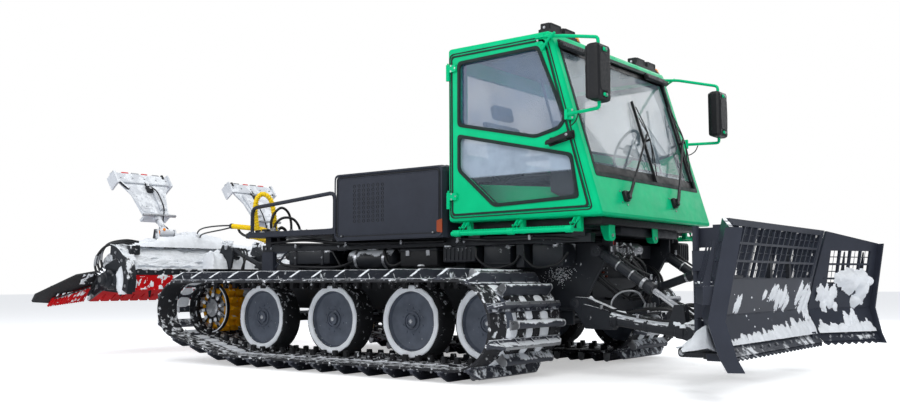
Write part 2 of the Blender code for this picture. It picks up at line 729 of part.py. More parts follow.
def cab_shell():
    outer = plate([CAB_SIDE], "y", -CAB_Y, CAB_Y)
    bm = bmesh.new()
    bm.from_mesh(outer.data)
    bmesh.ops.dissolve_limit(bm, angle_limit=radians(1), verts=bm.verts, edges=bm.edges)
    bmesh.ops.bevel(bm, geom=list(bm.edges), offset=CAB_ROUND, segments=2, profile=0.5, affect="EDGES")
    bpy.data.objects.remove(outer)
    outer = keep(bm)
    hollow = plate([inset(CAB_SIDE, CAB_WALL)], "y", -CAB_Y + CAB_WALL, CAB_Y - CAB_WALL)
    openings = [plate([DOOR], "y", -CAB_Y - 0.1, -CAB_Y + CAB_WALL + 0.02),
                plate([DOOR], "y", CAB_Y - CAB_WALL - 0.02, CAB_Y + 0.1),
                raked_block((-0.1, -SHIELD_Y, SHIELD_LOW), (0.1, SHIELD_Y, SHIELD_HIGH)),
                block((CAB_REAR - 0.1, -REAR_WINDOW_Y, REAR_WINDOW_LOW),
                      (CAB_REAR + CAB_WALL + 0.02, REAR_WINDOW_Y, REAR_WINDOW_HIGH))]
    shell = cut(outer, hollow, *openings)
    hinges = []
    for side, _ in SIDES:
        y = side * (CAB_Y + DOOR_HINGE_R + RUN)
        for z in DOOR_HINGE_Z:
            hinges.append(rod((DOOR_HINGE_X, y, z - 0.07), (DOOR_HINGE_X, y, z - SEAT), DOOR_HINGE_R, 12))
            hinges.append(block((DOOR_HINGE_X - 0.01, min(y, side * (CAB_Y - 0.01)), z - 0.065),
                                (DOOR_HINGE_X + 0.01, max(y, side * (CAB_Y - 0.01)), z - 0.005)))
    return joined(shell, *hinges)


def door():
    frame = inset(DOOR, RUN)
    outside = CAB_Y + DOOR_PROUD
    panel = plate([frame, UPPER_WINDOW, LOWER_WINDOW], "y", -outside, -outside + DOOR_T)
    pieces = []
    y = -CAB_Y - DOOR_HINGE_R - RUN
    for z in DOOR_HINGE_Z:
        pieces.append(rod((DOOR_HINGE_X, y, z), (DOOR_HINGE_X, y, z + 0.07), DOOR_HINGE_R, 12))
        pieces.append(block((DOOR_HINGE_X + 0.004, y - 0.006, z + 0.005),
                            (DOOR[0][0] + 0.06, -outside + 0.005, z + 0.065)))
    rear, front, low, high = HANDLE
    pieces.append(block((rear, -outside - 0.045, CAB_LOW + low * CAB_H),
                        (front, -outside + 0.005, CAB_LOW + high * CAB_H), 0.008))
    return joined(panel, *pieces)


def windshield():
    return raked_block((-0.030, -SHIELD_Y + SEAT, SHIELD_LOW + SEAT),
                       (-0.030 + GLASS_T, SHIELD_Y - SEAT, SHIELD_HIGH - SEAT))


def rear_window():
    return block((CAB_REAR + 0.02, -REAR_WINDOW_Y + SEAT, REAR_WINDOW_LOW + SEAT),
                 (CAB_REAR + 0.02 + GLASS_T, REAR_WINDOW_Y - SEAT, REAR_WINDOW_HIGH - SEAT))


def seat(y):
    floor = CAB_LOW + CAB_WALL + SEAT
    outline = [(SEAT_X, floor), (SEAT_X + 0.42, floor), (SEAT_X + 0.44, floor + 0.22),
               (SEAT_X + 0.56, floor + 0.25),
               (SEAT_X + 0.56, floor + 0.38), (SEAT_X + 0.12, floor + 0.36),
               (SEAT_X - 0.04, floor + SEAT_BACK_H),
               (SEAT_X - 0.15, floor + SEAT_BACK_H - 0.02), (SEAT_X - 0.02, floor + 0.24)]
    return plate([outline], "y", y - SEAT_W / 2, y + SEAT_W / 2)


def dashboard():
    """A console across the cab under the windshield."""
    floor = CAB_LOW + CAB_WALL + SEAT
    front = inset(CAB_SIDE, CAB_WALL + 0.012)
    rake = (CAB_LOW_FRONT - CAB_TOP_FRONT) / CAB_H
    foot = front[1][0] - (floor - CAB_LOW) * rake
    top_front = foot - (DASH_HIGH - floor) * rake
    outline = [(foot - 0.10, floor), (foot - 0.02, floor), (top_front - 0.02, DASH_HIGH),
               (top_front - DASH_DEPTH, DASH_HIGH + DASH_SLOPE),
               (top_front - DASH_DEPTH, DASH_HIGH + DASH_SLOPE - DASH_T)]
    return plate([outline], "y", -CAB_Y + CAB_WALL + 0.06, CAB_Y - CAB_WALL - 0.06)


# Mirrors, lamps and steps

def pillar_x(z):
    """The middle of the strip between the door and the raked front, at a height."""
    share = (z - CAB_LOW) / CAB_H
    front = CAB_LOW_FRONT + (CAB_TOP_FRONT - CAB_LOW_FRONT) * share - CAB_ROUND
    edge = DOOR[1][0] + (DOOR[2][0] - DOOR[1][0]) * (z - DOOR[1][1]) / (DOOR[2][1] - DOOR[1][1])
    return (front + edge) / 2


def mirror():
    """The right mirror: its housing ahead of the pillar, on an upper and a lower arm."""
    x, y, z = MIRROR
    dx, dy, dz = (size / 2 for size in MIRROR_SIZE)
    housing = block((x - dx, -y - dy, z - dz), (x + dx, -y + dy, z + dz), 0.03)
    outside = -CAB_Y - SEAT
    foot = 0.03
    high_z = CAB_HIGH - 0.045
    high_x = CAB_TOP_FRONT - 0.075
    low_z = z - dz - 0.05
    low_x = pillar_x(low_z)
    feet = [block((high_x - 0.04, outside - foot, high_z - 0.014),
                  (high_x + 0.04, outside, high_z + 0.014)),
            block((low_x - 0.014, outside - foot, low_z - 0.04), (low_x + 0.014, outside, low_z + 0.04))]
    upper = tube([(high_x, outside - foot / 2, high_z), (high_x + 0.22, outside - foot / 2, high_z - 0.03),
                  (x, -y, z + dz + 0.06),
                  (x, -y, z + dz - 0.03)], MIRROR_TUBE_R, 0.03)
    lower = tube([(low_x, outside - foot / 2, low_z), (x, -y, low_z), (x, -y, z - dz + 0.03)],
                 MIRROR_TUBE_R, 0.025)
    return joined(housing, upper, lower, *feet)


def lamp_bar(side):
    dx, dy, dz = (size / 2 for size in LAMP_SIZE)
    x = CAB_TOP_FRONT - CAB_ROUND - dx - 0.01
    z = CAB_HIGH + SEAT
    base = block((x - dx, side * LAMP_Y - dy, z), (x + dx, side * LAMP_Y + dy, z + 0.035))
    pieces = []
    for shift in (-0.12, 0.12):
        pieces.append(block((x - dx + 0.01, side * LAMP_Y + shift - 0.09, z + 0.02),
                            (x + dx - 0.005, side * LAMP_Y + shift + 0.09, z + LAMP_SIZE[2]), 0.01))
    return joined(base, *pieces)


def step():
    """A step bar under the right door, on three hangers from the cab's floor."""
    bar = tube([(STEP_REAR, -STEP_Y, STEP_Z), (STEP_FRONT, -STEP_Y, STEP_Z)], STEP_R)
    pieces = []
    for x in (STEP_REAR + 0.04, (STEP_REAR + STEP_FRONT) / 2, STEP_FRONT - 0.04):
        pieces.append(block((x - 0.02, -STEP_Y - 0.01, STEP_Z - 0.01),
                            (x + 0.02, -CAB_Y + 0.09, STEP_Z + 0.012)))
        pieces.append(block((x - 0.02, -CAB_Y + 0.06, STEP_Z), (x + 0.02, -CAB_Y + 0.10, CAB_LOW - SEAT)))
    return joined(bar, *pieces)


# Hydraulic cylinders, in the plane of their two pins

def cylinder(base, end, y, barrel_r, barrel_l, rod_r, rod_inside, width):
    """(barrel, rod): the barrel turns on its base pin, and the rod's eye ends between its ears, no pin."""
    way = Vector((end[0] - base[0], 0, end[1] - base[1]))
    length = way.length
    way.normalize()
    start = Vector((base[0], y, base[1]))

    def along(distance):
        return start + way * distance

    def bore_bar(a, b, radius, sides):
        """A round bar along the cylinder, with its facets always turned the same way."""
        angle = atan2(way.x, way.z)
        bm = bmesh.new()
        bmesh.ops.create_cone(bm, cap_ends=True, segments=sides, radius1=radius, radius2=radius,
                              depth=b - a,
                              matrix=Matrix.Translation(along((a + b) / 2)) @ Matrix.Rotation(angle, 4,
                                                                                              "Y"))
        return keep(bm)

    knuckle = 1.9 * PIN_R
    barrel = joined(bore_bar(0.02, barrel_l, barrel_r, 14),
                    bore_bar(barrel_l - 0.05, barrel_l + 0.01, barrel_r + COLLAR, 14),
                    rod((base[0], y - barrel_r - COLLAR, base[1]),
                        (base[0], y + barrel_r + COLLAR, base[1]), knuckle, 14))
    barrel = cut(barrel, bore_bar(0.075, barrel_l + 0.1, rod_r + ROD_PLAY, PIN_SIDES),
                 eye(base, y - 0.2, y + 0.2, PIN_R))
    piston = joined(bore_bar(barrel_l - rod_inside, length, rod_r, PIN_SIDES),
                    rod((end[0], y - width / 2, end[1]), (end[0], y + width / 2, end[1]), rod_r + 0.016,
                        14))
    return barrel, piston


# Push frame and blade carrier

def push_frame():
    pieces = [pin(ARM_FRONT, -ARM_Y - ARM_T / 2 - 0.005, ARM_Y + ARM_T / 2 + 0.005, CROSS_TUBE_R)]
    cutters = []
    (x0, z0), (x1, z1) = ARM_PIVOT, ARM_FRONT
    nose = 0.055
    joint_x, joint_z = ARM_JOINT
    outline = [(x0, z0 - nose), (x0 + 0.10, joint_z - 0.08), (joint_x, joint_z - ARM_DEPTH / 2),
               (joint_x, joint_z + ARM_DEPTH / 2), (x0 + 0.12, z0 + nose * 0.9), (x0, z0 + nose),
               (x0 - nose * 0.7, z0 + nose * 0.7), (x0 - nose, z0), (x0 - nose * 0.7, z0 - nose * 0.7)]
    ear_x, ear_z = LIFT_EYE
    ear = [(ear_x - 0.10, z1 + 0.03), (ear_x + 0.06, z1 + 0.02), (ear_x + 0.04, ear_z + 0.04),
           (ear_x - 0.04, ear_z + 0.04)]
    for side, _ in SIDES:
        pieces.append(plate([outline], "y", side * ARM_Y - ARM_T / 2, side * ARM_Y + ARM_T / 2))
        pieces.append(rod((joint_x - 0.03, side * ARM_Y, joint_z), (x1, side * ARM_Y, z1), ARM_TUBE_R, 14))
        cutters.append(eye(ARM_PIVOT, side * ARM_Y - ARM_T, side * ARM_Y + ARM_T, PIN_R))
        for shift in (-1, 1):
            middle = side * ARM_Y + shift * (0.025 + RUN + 0.006)
            pieces.append(plate([ear], "y", middle - 0.006, middle + 0.006))
    mid_x = PITCH_PIN[0] + 0.03
    mid_z = joint_z + (z1 - joint_z) * (mid_x - joint_x) / (x1 - joint_x)
    pieces.append(rod((mid_x, -ARM_Y, mid_z), (mid_x, ARM_Y, mid_z), 0.04, 14))
    for shift in (-1, 1):
        middle = shift * (PITCH_BARREL_R + COLLAR + RUN + 0.008)
        tower = [(mid_x - 0.05, mid_z - 0.01), (mid_x + 0.05, mid_z - 0.01),
                 (PITCH_PIN[0] + 0.035, PITCH_PIN[1] + 0.03),
                 (PITCH_PIN[0] - 0.035, PITCH_PIN[1] + 0.03)]
        pieces.append(plate([tower], "y", middle - 0.008, middle + 0.008))
    pieces.append(pin(PITCH_PIN, -0.06, 0.06, PIN_R))
    return cut(joined(*pieces), *cutters)


def blade_carrier():
    """Rides on the cross tube by two split ears, and holds the king pin that the blade turns on."""
    pieces = [block((CARRIER_X - CARRIER_T / 2, -CARRIER_Y, CARRIER_LOW),
                    (CARRIER_X + CARRIER_T / 2, CARRIER_Y, CARRIER_HIGH))]
    for side, _ in SIDES:
        ear = [(ARM_FRONT[0] - 0.09, ARM_FRONT[1] - 0.05), (ARM_FRONT[0] - 0.03, ARM_FRONT[1] - 0.09),
               (CARRIER_X, ARM_FRONT[1] - 0.05), (CARRIER_X, ARM_FRONT[1] + 0.25),
               (ARM_FRONT[0] - 0.03, ARM_FRONT[1] + 0.09),
               (ARM_FRONT[0] - 0.09, ARM_FRONT[1] + 0.05)]
        pieces.append(plate([ear], "y", side * 0.13 - 0.02, side * 0.13 + 0.02))
        horn = [(CARRIER_X, CARRIER_HIGH - 0.18), (CARRIER_X, CARRIER_HIGH - 0.002),
                (PITCH_EYE[0] + 0.03, PITCH_EYE[1] + 0.04),
                (PITCH_EYE[0] - 0.03, PITCH_EYE[1] + 0.04), (PITCH_EYE[0] - 0.04, PITCH_EYE[1] - 0.02)]
        middle = side * (0.025 + RUN + 0.008)
        pieces.append(plate([horn], "y", middle - 0.008, middle + 0.008))
    for z in (CARRIER_LOW + 0.04, CARRIER_HIGH - 0.07):
        pieces.append(block((CARRIER_X, -0.06, z), (KING_X + 0.04, 0.06, z + 0.04)))
    pieces.append(rod((KING_X, 0, CARRIER_LOW + 0.045), (KING_X, 0, CARRIER_HIGH - 0.035), KING_R,
                      PIN_SIDES))
    return cut(joined(*pieces), eye(ARM_FRONT, -0.3, 0.3, CROSS_TUBE_R))


# Blade and wings

def profile_strip(profile, thickness):
    """The closed section of a bent plate whose front follows a profile of (x, z) corners."""
    return list(profile) + [(x - thickness, z) for x, z in reversed(profile)]


BLADE_FRONT = [(BLADE_X + dx, z) for dx, z in BLADE_PROFILE]


def front_x(profile, height):
    """Where a plate's front is at a height."""
    for (x1, z1), (x0, z0) in zip(profile, profile[1:]):
        if height >= z0:
            return x0 + (x1 - x0) * (height - z0) / (z1 - z0)
    return profile[-1][0]


def lifted(profile):
    """The profile with its foot ending behind the toothed strip."""
    foot_x, foot_z = profile[-1]
    return list(profile[:-1]) + [(foot_x - 0.002, foot_z + TOOTH_DEPTH + 0.01)]


def beam_section(profile, rear, low, high, sink):
    """A box beam's section: upright behind, and sunk into the bent plate in front."""
    return [(rear, low), (front_x(profile, low) - sink, low), (front_x(profile, high) - sink, high),
            (rear, high)]


def hinge_spans(on_wing):
    """Heights of the hinge rings: three on the blade and two on the wing, in turn up the axis."""
    low, high = WING_RINGS
    step = (high - low) / 5
    return [(low + i * step, low + (i + 1) * step) for i in range(5) if (i % 2 == 1) == on_wing]


def hinge_leaf(side, span, gap):
    """A ring on the wing's axis with a web and a gusset to the plate's end, which is gap beyond the axis."""
    low, high = span[0] + 0.01, span[1] - 0.01
    axis_y = side * WING_HINGE_Y
    ring = rod((WING_AXIS_X, axis_y, span[0] + SEAT), (WING_AXIS_X, axis_y, span[1] - SEAT), WING_HINGE_R,
               12)
    beyond = sorted((axis_y + side * gap, axis_y + side * (gap + (0.02 if gap > 0 else -0.02))))
    web = block((WING_AXIS_X - 0.012, min(axis_y, beyond[0]), low),
                (WING_AXIS_X + 0.012, max(axis_y, beyond[1]), high))
    outline = beam_section(BLADE_FRONT, WING_AXIS_X - 0.010, low + 0.002, high - 0.002, 0.007)
    return [ring, web, plate([outline], "y", beyond[0] + 0.001, beyond[1] - 0.001)]


def screen(outline, x, low, high):
    """The cutters of a mesh screen: square holes in rows that keep inside an outline of (y, z) corners."""
    cutters = []
    rows = floor((high - low + MESH_BAR) / MESH_PITCH)
    y_low = min(y for y, _ in outline)
    y_high = max(y for y, _ in outline)
    columns = floor((y_high - y_low + MESH_BAR) / MESH_PITCH)
    spare = (y_high - y_low - columns * MESH_PITCH + MESH_BAR) / 2
    for row in range(rows):
        z0 = low + (high - low - rows * MESH_PITCH + MESH_BAR) / 2 + row * MESH_PITCH
        z1 = z0 + MESH_PITCH - MESH_BAR
        for column in range(columns):
            y0 = y_low + spare + column * MESH_PITCH
            y1 = y0 + MESH_PITCH - MESH_BAR
            if all(inside((y, z), outline) for y in (y0, y1) for z in (z0, z1)):
                cutters.append(block((x - 0.3, y0, z0), (x + 0.3, y1, z1)))
    return cutters


def inside(point, outline):
    """Whether a point is in a convex outline, or within a millimetre of it."""
    signs = [(b[0] - a[0]) * (point[1] - a[1]) - (b[1] - a[1]) * (point[0] - a[0])
             for a, b in zip(outline, outline[1:] + outline[:1])]
    return all(sign > -0.001 for sign in signs) or all(sign < 0.001 for sign in signs)


def cutting_edge(profile, low_y, high_y):
    """The toothed strip along a plate's foot, in front of it, leaning as the foot does."""
    (x0, z0), (foot_x, foot_z) = profile[-2:]
    count = round((high_y - low_y) / TOOTH_PITCH)
    step = (high_y - low_y) / count
    bm = bmesh.new()
    faces = []
    for x in (-EDGE_T / 2, EDGE_T / 2):
        tops = [bm.verts.new((x, low_y + i * step, foot_z + EDGE_H)) for i in range(count + 1)]
        valleys = [bm.verts.new((x, low_y + i * step, foot_z + TOOTH_DEPTH)) for i in range(count + 1)]
        tips = [bm.verts.new((x, low_y + (i + 0.5) * step, foot_z)) for i in range(count)]
        for i in range(count):
            bm.faces.new((tops[i], valleys[i], tips[i], valleys[i + 1], tops[i + 1]))
        rim = [tops[0]]
        for i in range(count):
            rim += [valleys[i], tips[i]]
        rim += [valleys[-1]] + list(reversed(tops[1:]))
        faces.append(rim)
    back, front = faces
    for i in range(len(back)):
        bm.faces.new((back[i - 1], back[i], front[i], front[i - 1]))
    bmesh.ops.recalc_face_normals(bm, faces=bm.faces)
    strip = keep(bm)
    turn(strip, -atan2(foot_x - x0, z0 - foot_z), "Y", (0, 0, foot_z))
    strip.data.transform(Matrix.Translation((foot_x - EDGE_T / 2 + 0.003, 0, 0)))
    return strip


def blade():
    """The centre section: bent moldboard with a mesh screen, beams, ribs, and lugs for the king pin."""
    moldboard = plate([profile_strip(lifted(BLADE_FRONT), BLADE_T)], "y", -BLADE_Y, BLADE_Y)
    half = BLADE_Y - SCREEN_RIM
    window = [(-half, SCREEN_LOW), (half, SCREEN_LOW), (half, SCREEN_HIGH), (-half, SCREEN_HIGH)]
    moldboard = cut(moldboard, *screen(window, BLADE_X, SCREEN_LOW, SCREEN_HIGH))
    top = BLADE_FRONT[0][1]
    depth, height = TOP_BAR
    beam_y = BLADE_Y - 0.02
    pieces = [plate([beam_section(BLADE_FRONT, *BLADE_BOX, BLADE_T / 2)], "y", -beam_y, beam_y),
              plate([beam_section(BLADE_FRONT, *LOWER_BOX, BLADE_T / 2)], "y", -beam_y, beam_y),
              plate([beam_section(BLADE_FRONT, BLADE_X - depth, top - height, top - 0.002, 0.004)], "y",
                    -beam_y, beam_y),
              cutting_edge(BLADE_FRONT, -BLADE_Y + 0.003, BLADE_Y - 0.003)]
    for y in RIB_Y:
        pieces.append(plate([beam_section(BLADE_FRONT, BLADE_BOX[0] + 0.03, BLADE_BOX[2] - 0.05, top - 0.03,
                                          BLADE_T - 0.002)],
                            "y", y - RIB_T / 2, y + RIB_T / 2))
    for side, _ in SIDES:
        for span in hinge_spans(False):
            pieces += hinge_leaf(side, span, BLADE_Y - WING_HINGE_Y - 0.003)
    for z in (CARRIER_LOW + 0.08 + RUN, CARRIER_HIGH - 0.07 - RUN - LUG_T):
        pieces.append(block((KING_X - 0.055, -LUG_Y, z), (BLADE_BOX[0] + 0.06, LUG_Y, z + LUG_T)))
    hole = rod((KING_X, 0, CARRIER_LOW), (KING_X, 0, CARRIER_HIGH + 0.1),
               (KING_R + PIN_PLAY) / cos(pi / PIN_SIDES),
               PIN_SIDES, pi / PIN_SIDES)
    return cut(joined(moldboard, *pieces), hole)


def wing_edge(height):
    """(x, y) of the wing's inner edge at a height, from its hinge axis, with the wing laid straight."""
    ahead = front_x(BLADE_FRONT, height) - WING_AXIS_X
    beyond = ahead * sin(WING_FORWARD) - (WING_HINGE_Y - BLADE_Y - RUN)
    gap = max(0.0, beyond) / cos(WING_FORWARD)
    return (ahead * cos(WING_REST) - gap * sin(WING_REST), -ahead * sin(WING_REST) - gap * cos(WING_REST),
            gap)


def slanted_panel(profile, inner, outer):
    """A bent plate that follows a profile of (x, z), each height from its own inner y to one outer y."""
    bm = bmesh.new()
    rings = []
    for y_of in (lambda i: inner[i], lambda i: outer):
        front = [bm.verts.new((x, y_of(i), z)) for i, (x, z) in enumerate(profile)]
        rear = [bm.verts.new((x - BLADE_T, y_of(i), z)) for i, (x, z) in enumerate(profile)]
        rings.append(front + rear[::-1])
    count = len(profile)
    for ring in rings:
        for i in range(count - 1):
            bm.faces.new((ring[i], ring[i + 1], ring[-2 - i], ring[-1 - i]))
    near, far = rings
    for i in range(2 * count):
        bm.faces.new((near[i - 1], near[i], far[i], far[i - 1]))
    bmesh.ops.recalc_face_normals(bm, faces=bm.faces)
    return keep(bm)


def wing():
    """The right wing: it meets the blade's end at every height, swung forward about its upright hinge."""
    edges = [(z, *wing_edge(z)) for _, z in BLADE_PROFILE]
    profile = [(WING_AXIS_X + x, z) for z, x, _, _ in edges]
    inner = [-WING_HINGE_Y + y for _, _, y, _ in edges]
    top_z, foot_z = profile[0][1], profile[-1][1]
    outer = inner[0] - WING_L
    panel = slanted_panel(lifted(profile), inner, outer)
    slope = WING_DROP / WING_L
    far = 0.3
    roof = [(inner[0] + far, top_z + slope * far - 0.002),
            (outer - far, top_z - slope * (WING_L + far) - 0.002),
            (outer - far, top_z + far), (inner[0] + far, top_z + far)]
    top_trim = plate([roof], "x", BLADE_X - 2 * far, BLADE_X + far)
    far_top = SCREEN_HIGH - slope * WING_L
    window = [(inner[0] - 0.05, SCREEN_LOW - MESH_PITCH), (inner[0] - 0.05, SCREEN_HIGH),
              (outer + 0.05, far_top),
              (outer + 0.05, SCREEN_LOW), (outer + 0.25, SCREEN_LOW - MESH_PITCH)]
    panel = cut(panel, top_trim, *screen(window, BLADE_X, SCREEN_LOW - MESH_PITCH, SCREEN_HIGH))
    rear = WING_AXIS_X - 0.02
    back = plate([beam_section(profile, rear, BLADE_BOX[1] + 0.03, BLADE_BOX[2] - 0.05, BLADE_T / 2)],
                 "y", outer + 0.02, inner[1] - 0.06)
    shown = [(x + WING_END_PROUD, z) for x, z in profile]
    shown[-1] = (shown[-1][0], foot_z + 0.003)
    end = plate([profile_strip(shown, WING_END_PROUD + 2 * BLADE_T)], "y", outer - 0.012, outer + 0.003)
    end = cut(end,
              block((BLADE_X - 2 * far, outer - 0.1, top_z - WING_DROP - 0.005),
                    (BLADE_X + far, outer + 0.1, top_z + far)))
    edge = cutting_edge(profile, outer + 0.006, inner[-1] - 0.004)
    piece = turn(joined(panel, back, end, edge), WING_REST, "Z", (WING_AXIS_X, -WING_HINGE_Y, 0))
    leaves = []
    for span in hinge_spans(True):
        gap = max(wing_edge(span[0])[2], wing_edge(span[1])[2])
        leaves += hinge_leaf(-1, span, gap + 0.004)
    return joined(piece, *leaves)


# Rear lift and tiller

def rear_frame():
    """Two arms from the chassis, a cross tube, a mast for the lift cylinder and the tiller's hitch plate."""
    (x0, z0) = REAR_PIVOT
    hitch = TILLER_X + HOOD_R + 0.06
    pieces = []
    for side, _ in SIDES:
        outline = [(x0 + 0.05, z0 - 0.03), (x0 + 0.05, z0 + 0.03), (x0, z0 + 0.06),
                   (hitch, TILLER_Z + 0.10), (hitch, TILLER_Z - 0.04),
                   (x0, z0 - 0.06)]
        arm = plate([outline], "y", side * REAR_ARM_Y - REAR_ARM_T / 2, side * REAR_ARM_Y + REAR_ARM_T / 2)
        pieces.append(cut(arm,
                          eye(REAR_PIVOT, side * REAR_ARM_Y - REAR_ARM_T, side * REAR_ARM_Y + REAR_ARM_T,
                              PIN_R)))
        mast = [(REAR_LIFT_EYE[0] - 0.12, 0.70), (REAR_LIFT_EYE[0] + 0.08, 0.70),
                (REAR_LIFT_EYE[0] + 0.035, REAR_LIFT_EYE[1] + 0.04),
                (REAR_LIFT_EYE[0] - 0.035, REAR_LIFT_EYE[1] + 0.04)]
        middle = side * (0.025 + RUN + 0.01)
        pieces.append(plate([mast], "y", middle - 0.01, middle + 0.01))
    pieces.append(rod((REAR_LIFT_EYE[0] - 0.02, -REAR_ARM_Y, 0.745),
                      (REAR_LIFT_EYE[0] - 0.02, REAR_ARM_Y, 0.745), 0.045, 16))
    pieces.append(block((hitch - 0.03, -0.42, TILLER_Z - 0.07), (hitch + 0.02, 0.42, TILLER_Z + 0.14)))
    return joined(*pieces)


def hood_outline(radius, thickness):
    """A C open below: over the rotor from the front edge to the comb."""
    start, end = radians(-15), radians(195)
    outer = circle((TILLER_X, TILLER_Z), radius, 14, start, end)
    inner = circle((TILLER_X, TILLER_Z), radius - thickness, 14, start, end)
    return outer + inner[::-1]


FLAP_RAKE = atan2(COMB_TOP[1] - COMB_LOW[1], COMB_TOP[0] - COMB_LOW[0])
FLAP_WAY = Vector((cos(FLAP_RAKE), 0, sin(FLAP_RAKE)))
FLAP_FOOT = Vector((COMB_LOW[0] + 0.02, 0, COMB_LOW[1] + 0.045))


def flap_hinge(side, step, inside):
    """One ring of the side flap's hinge, up the slope of the comb, with its web from the y inside."""
    y = side * (TILLER_Y + FLAP_HINGE_R + 0.004)
    ring = 0.10
    centre = FLAP_FOOT + Vector((0, y, 0)) + FLAP_WAY * (0.04 + step * ring)
    web = block((0, min(inside, y), -0.008), (ring - 0.02, max(inside, y), 0.008))
    foot = FLAP_FOOT + FLAP_WAY * (0.05 + step * ring)
    web.data.transform(Matrix.Translation(foot) @ Matrix.Rotation(-FLAP_RAKE, 4, "Y"))
    return [rod(centre + FLAP_WAY * SEAT, centre + FLAP_WAY * (ring - SEAT), FLAP_HINGE_R, 12), web]


def tiller_housing():
    inside = TILLER_Y - END_T
    pieces = [plate([hood_outline(HOOD_R, HOOD_T)], "y", -inside - 0.005, inside + 0.005),
              block((TILLER_X - BEAM_BOX[0], -TILLER_Y + 0.1, TILLER_Z + HOOD_R - 0.02),
                    (TILLER_X + BEAM_BOX[0], TILLER_Y - 0.1, TILLER_Z + HOOD_R + BEAM_BOX[1])),
              block((TILLER_X + HOOD_R - 0.02, -0.42, TILLER_Z - 0.06),
                    (TILLER_X + HOOD_R + 0.03 - SEAT, 0.42, TILLER_Z + 0.13))]
    ends = []
    end_shape = circle((TILLER_X, TILLER_Z), HOOD_R + 0.035, 14, radians(-30), radians(157))
    end_shape += [(COMB_LOW[0] - 0.015, COMB_LOW[1] + 0.06), (COMB_LOW[0] + 0.01, COMB_LOW[1] + 0.01),
                  (COMB_TOP[0] + 0.02, COMB_TOP[1] - 0.16)]
    for side, _ in SIDES:
        ends.append(plate([end_shape], "y", *sorted((side * inside, side * TILLER_Y))))
        for i in (0, 2):
            ends += flap_hinge(side, i, side * (TILLER_Y - END_T / 2))
        pivot_x, pivot_z = SETTER_PIVOT
        for shift in (-0.12, 0.12):
            y = side * SETTER_Y + shift
            ear = [(pivot_x - 0.09, TILLER_Z + HOOD_R + 0.03), (pivot_x + 0.09, TILLER_Z + HOOD_R + 0.03),
                   (pivot_x + 0.03, pivot_z + 0.04), (pivot_x - 0.03, pivot_z + 0.04)]
            ends.append(plate([ear], "y", y - 0.01, y + 0.01))
        ends.append(pin(SETTER_PIVOT, side * SETTER_Y - 0.125, side * SETTER_Y + 0.125, SETTER_PIN_R))
    housing = joined(*pieces, *ends)
    return cut(housing, eye((TILLER_X, TILLER_Z), -TILLER_Y - 0.1, TILLER_Y + 0.1, SHAFT_R))


def tiller_rotor():
    inside = TILLER_Y - END_T - ROTOR_PLAY
    pieces = [rod((TILLER_X, -inside, TILLER_Z), (TILLER_X, inside, TILLER_Z), ROTOR_R, 12),
              pin((TILLER_X, TILLER_Z), -TILLER_Y - 0.02, TILLER_Y + 0.02, SHAFT_R)]
    for i in range(ROTOR_RINGS):
        y = -inside + 0.08 + i * (2 * inside - 0.16) / (ROTOR_RINGS - 1)
        star = []
        for k in range(6):
            for share, radius in ((-0.22, ROTOR_R - 0.01), (0.0, ROTOR_TOOTH), (0.22, ROTOR_R - 0.01)):
                angle = (k + share + 0.37 * i + 0.1) * pi / 3
                star.append((TILLER_X + radius * cos(angle), TILLER_Z + radius * sin(angle)))
        pieces.append(plate([star], "y", y - 0.012, y + 0.012))
    return joined(*pieces)


def tiller_comb():
    """The finishing flap that trails behind the rotor, with a row of fingers along its foot."""
    (x0, z0) = COMB_TOP
    (x1, z1) = COMB_LOW
    half = TILLER_Y - END_T - SEAT
    strip = [(x0 - SEAT, z0 + 0.02), (x0 - 0.03, z0 + 0.02), (x1 - 0.02, z1 + 0.02), (x1, z1),
             (x0 - SEAT, z0 - 0.10)]
    flap = plate([strip], "y", -half, half)
    fingers = round(2 * half / COMB_PITCH)
    step = 2 * half / fingers
    notches = [(-half - 0.1, z1 - 0.1), (half + 0.1, z1 - 0.1), (half + 0.1, z1 - 0.05)]
    for i in range(fingers - 1, 0, -1):
        y = -half + i * step
        notches += [(y + COMB_NOTCH / 2, z1 - 0.05), (y + COMB_NOTCH / 4, z1 + COMB_CUT),
                    (y - COMB_NOTCH / 4, z1 + COMB_CUT),
                    (y - COMB_NOTCH / 2, z1 - 0.05)]
    notches.append((-half - 0.1, z1 - 0.05))
    return cut(flap, plate([notches], "x", x1 - 0.3, x0 + 0.2))


def tiller_wing():
    """The right side flap, hinged up the slope of the tiller's end."""
    inner = TILLER_Y + 2 * FLAP_HINGE_R + 0.004 + RUN
    span = TILLER_WING_L
    plan = [(0.0, -inner), (0.0, -inner - span * 0.62), (0.06, -inner - span), (0.16, -inner - span),
            (0.38, -inner - span * 0.40),
            (0.40, -inner)]
    flap = plate([plan], "z", -0.012, 0.012)
    flap.data.transform(Matrix.Translation(FLAP_FOOT) @ Matrix.Rotation(-FLAP_RAKE, 4, "Y"))
    flap = joined(flap, *flap_hinge(-1, 1, -inner - 0.03))
    axis_point = FLAP_FOOT + Vector((0, -TILLER_Y - FLAP_HINGE_R - 0.004, 0))
    return turn(flap, TILLER_WING_REST, FLAP_WAY, axis_point)


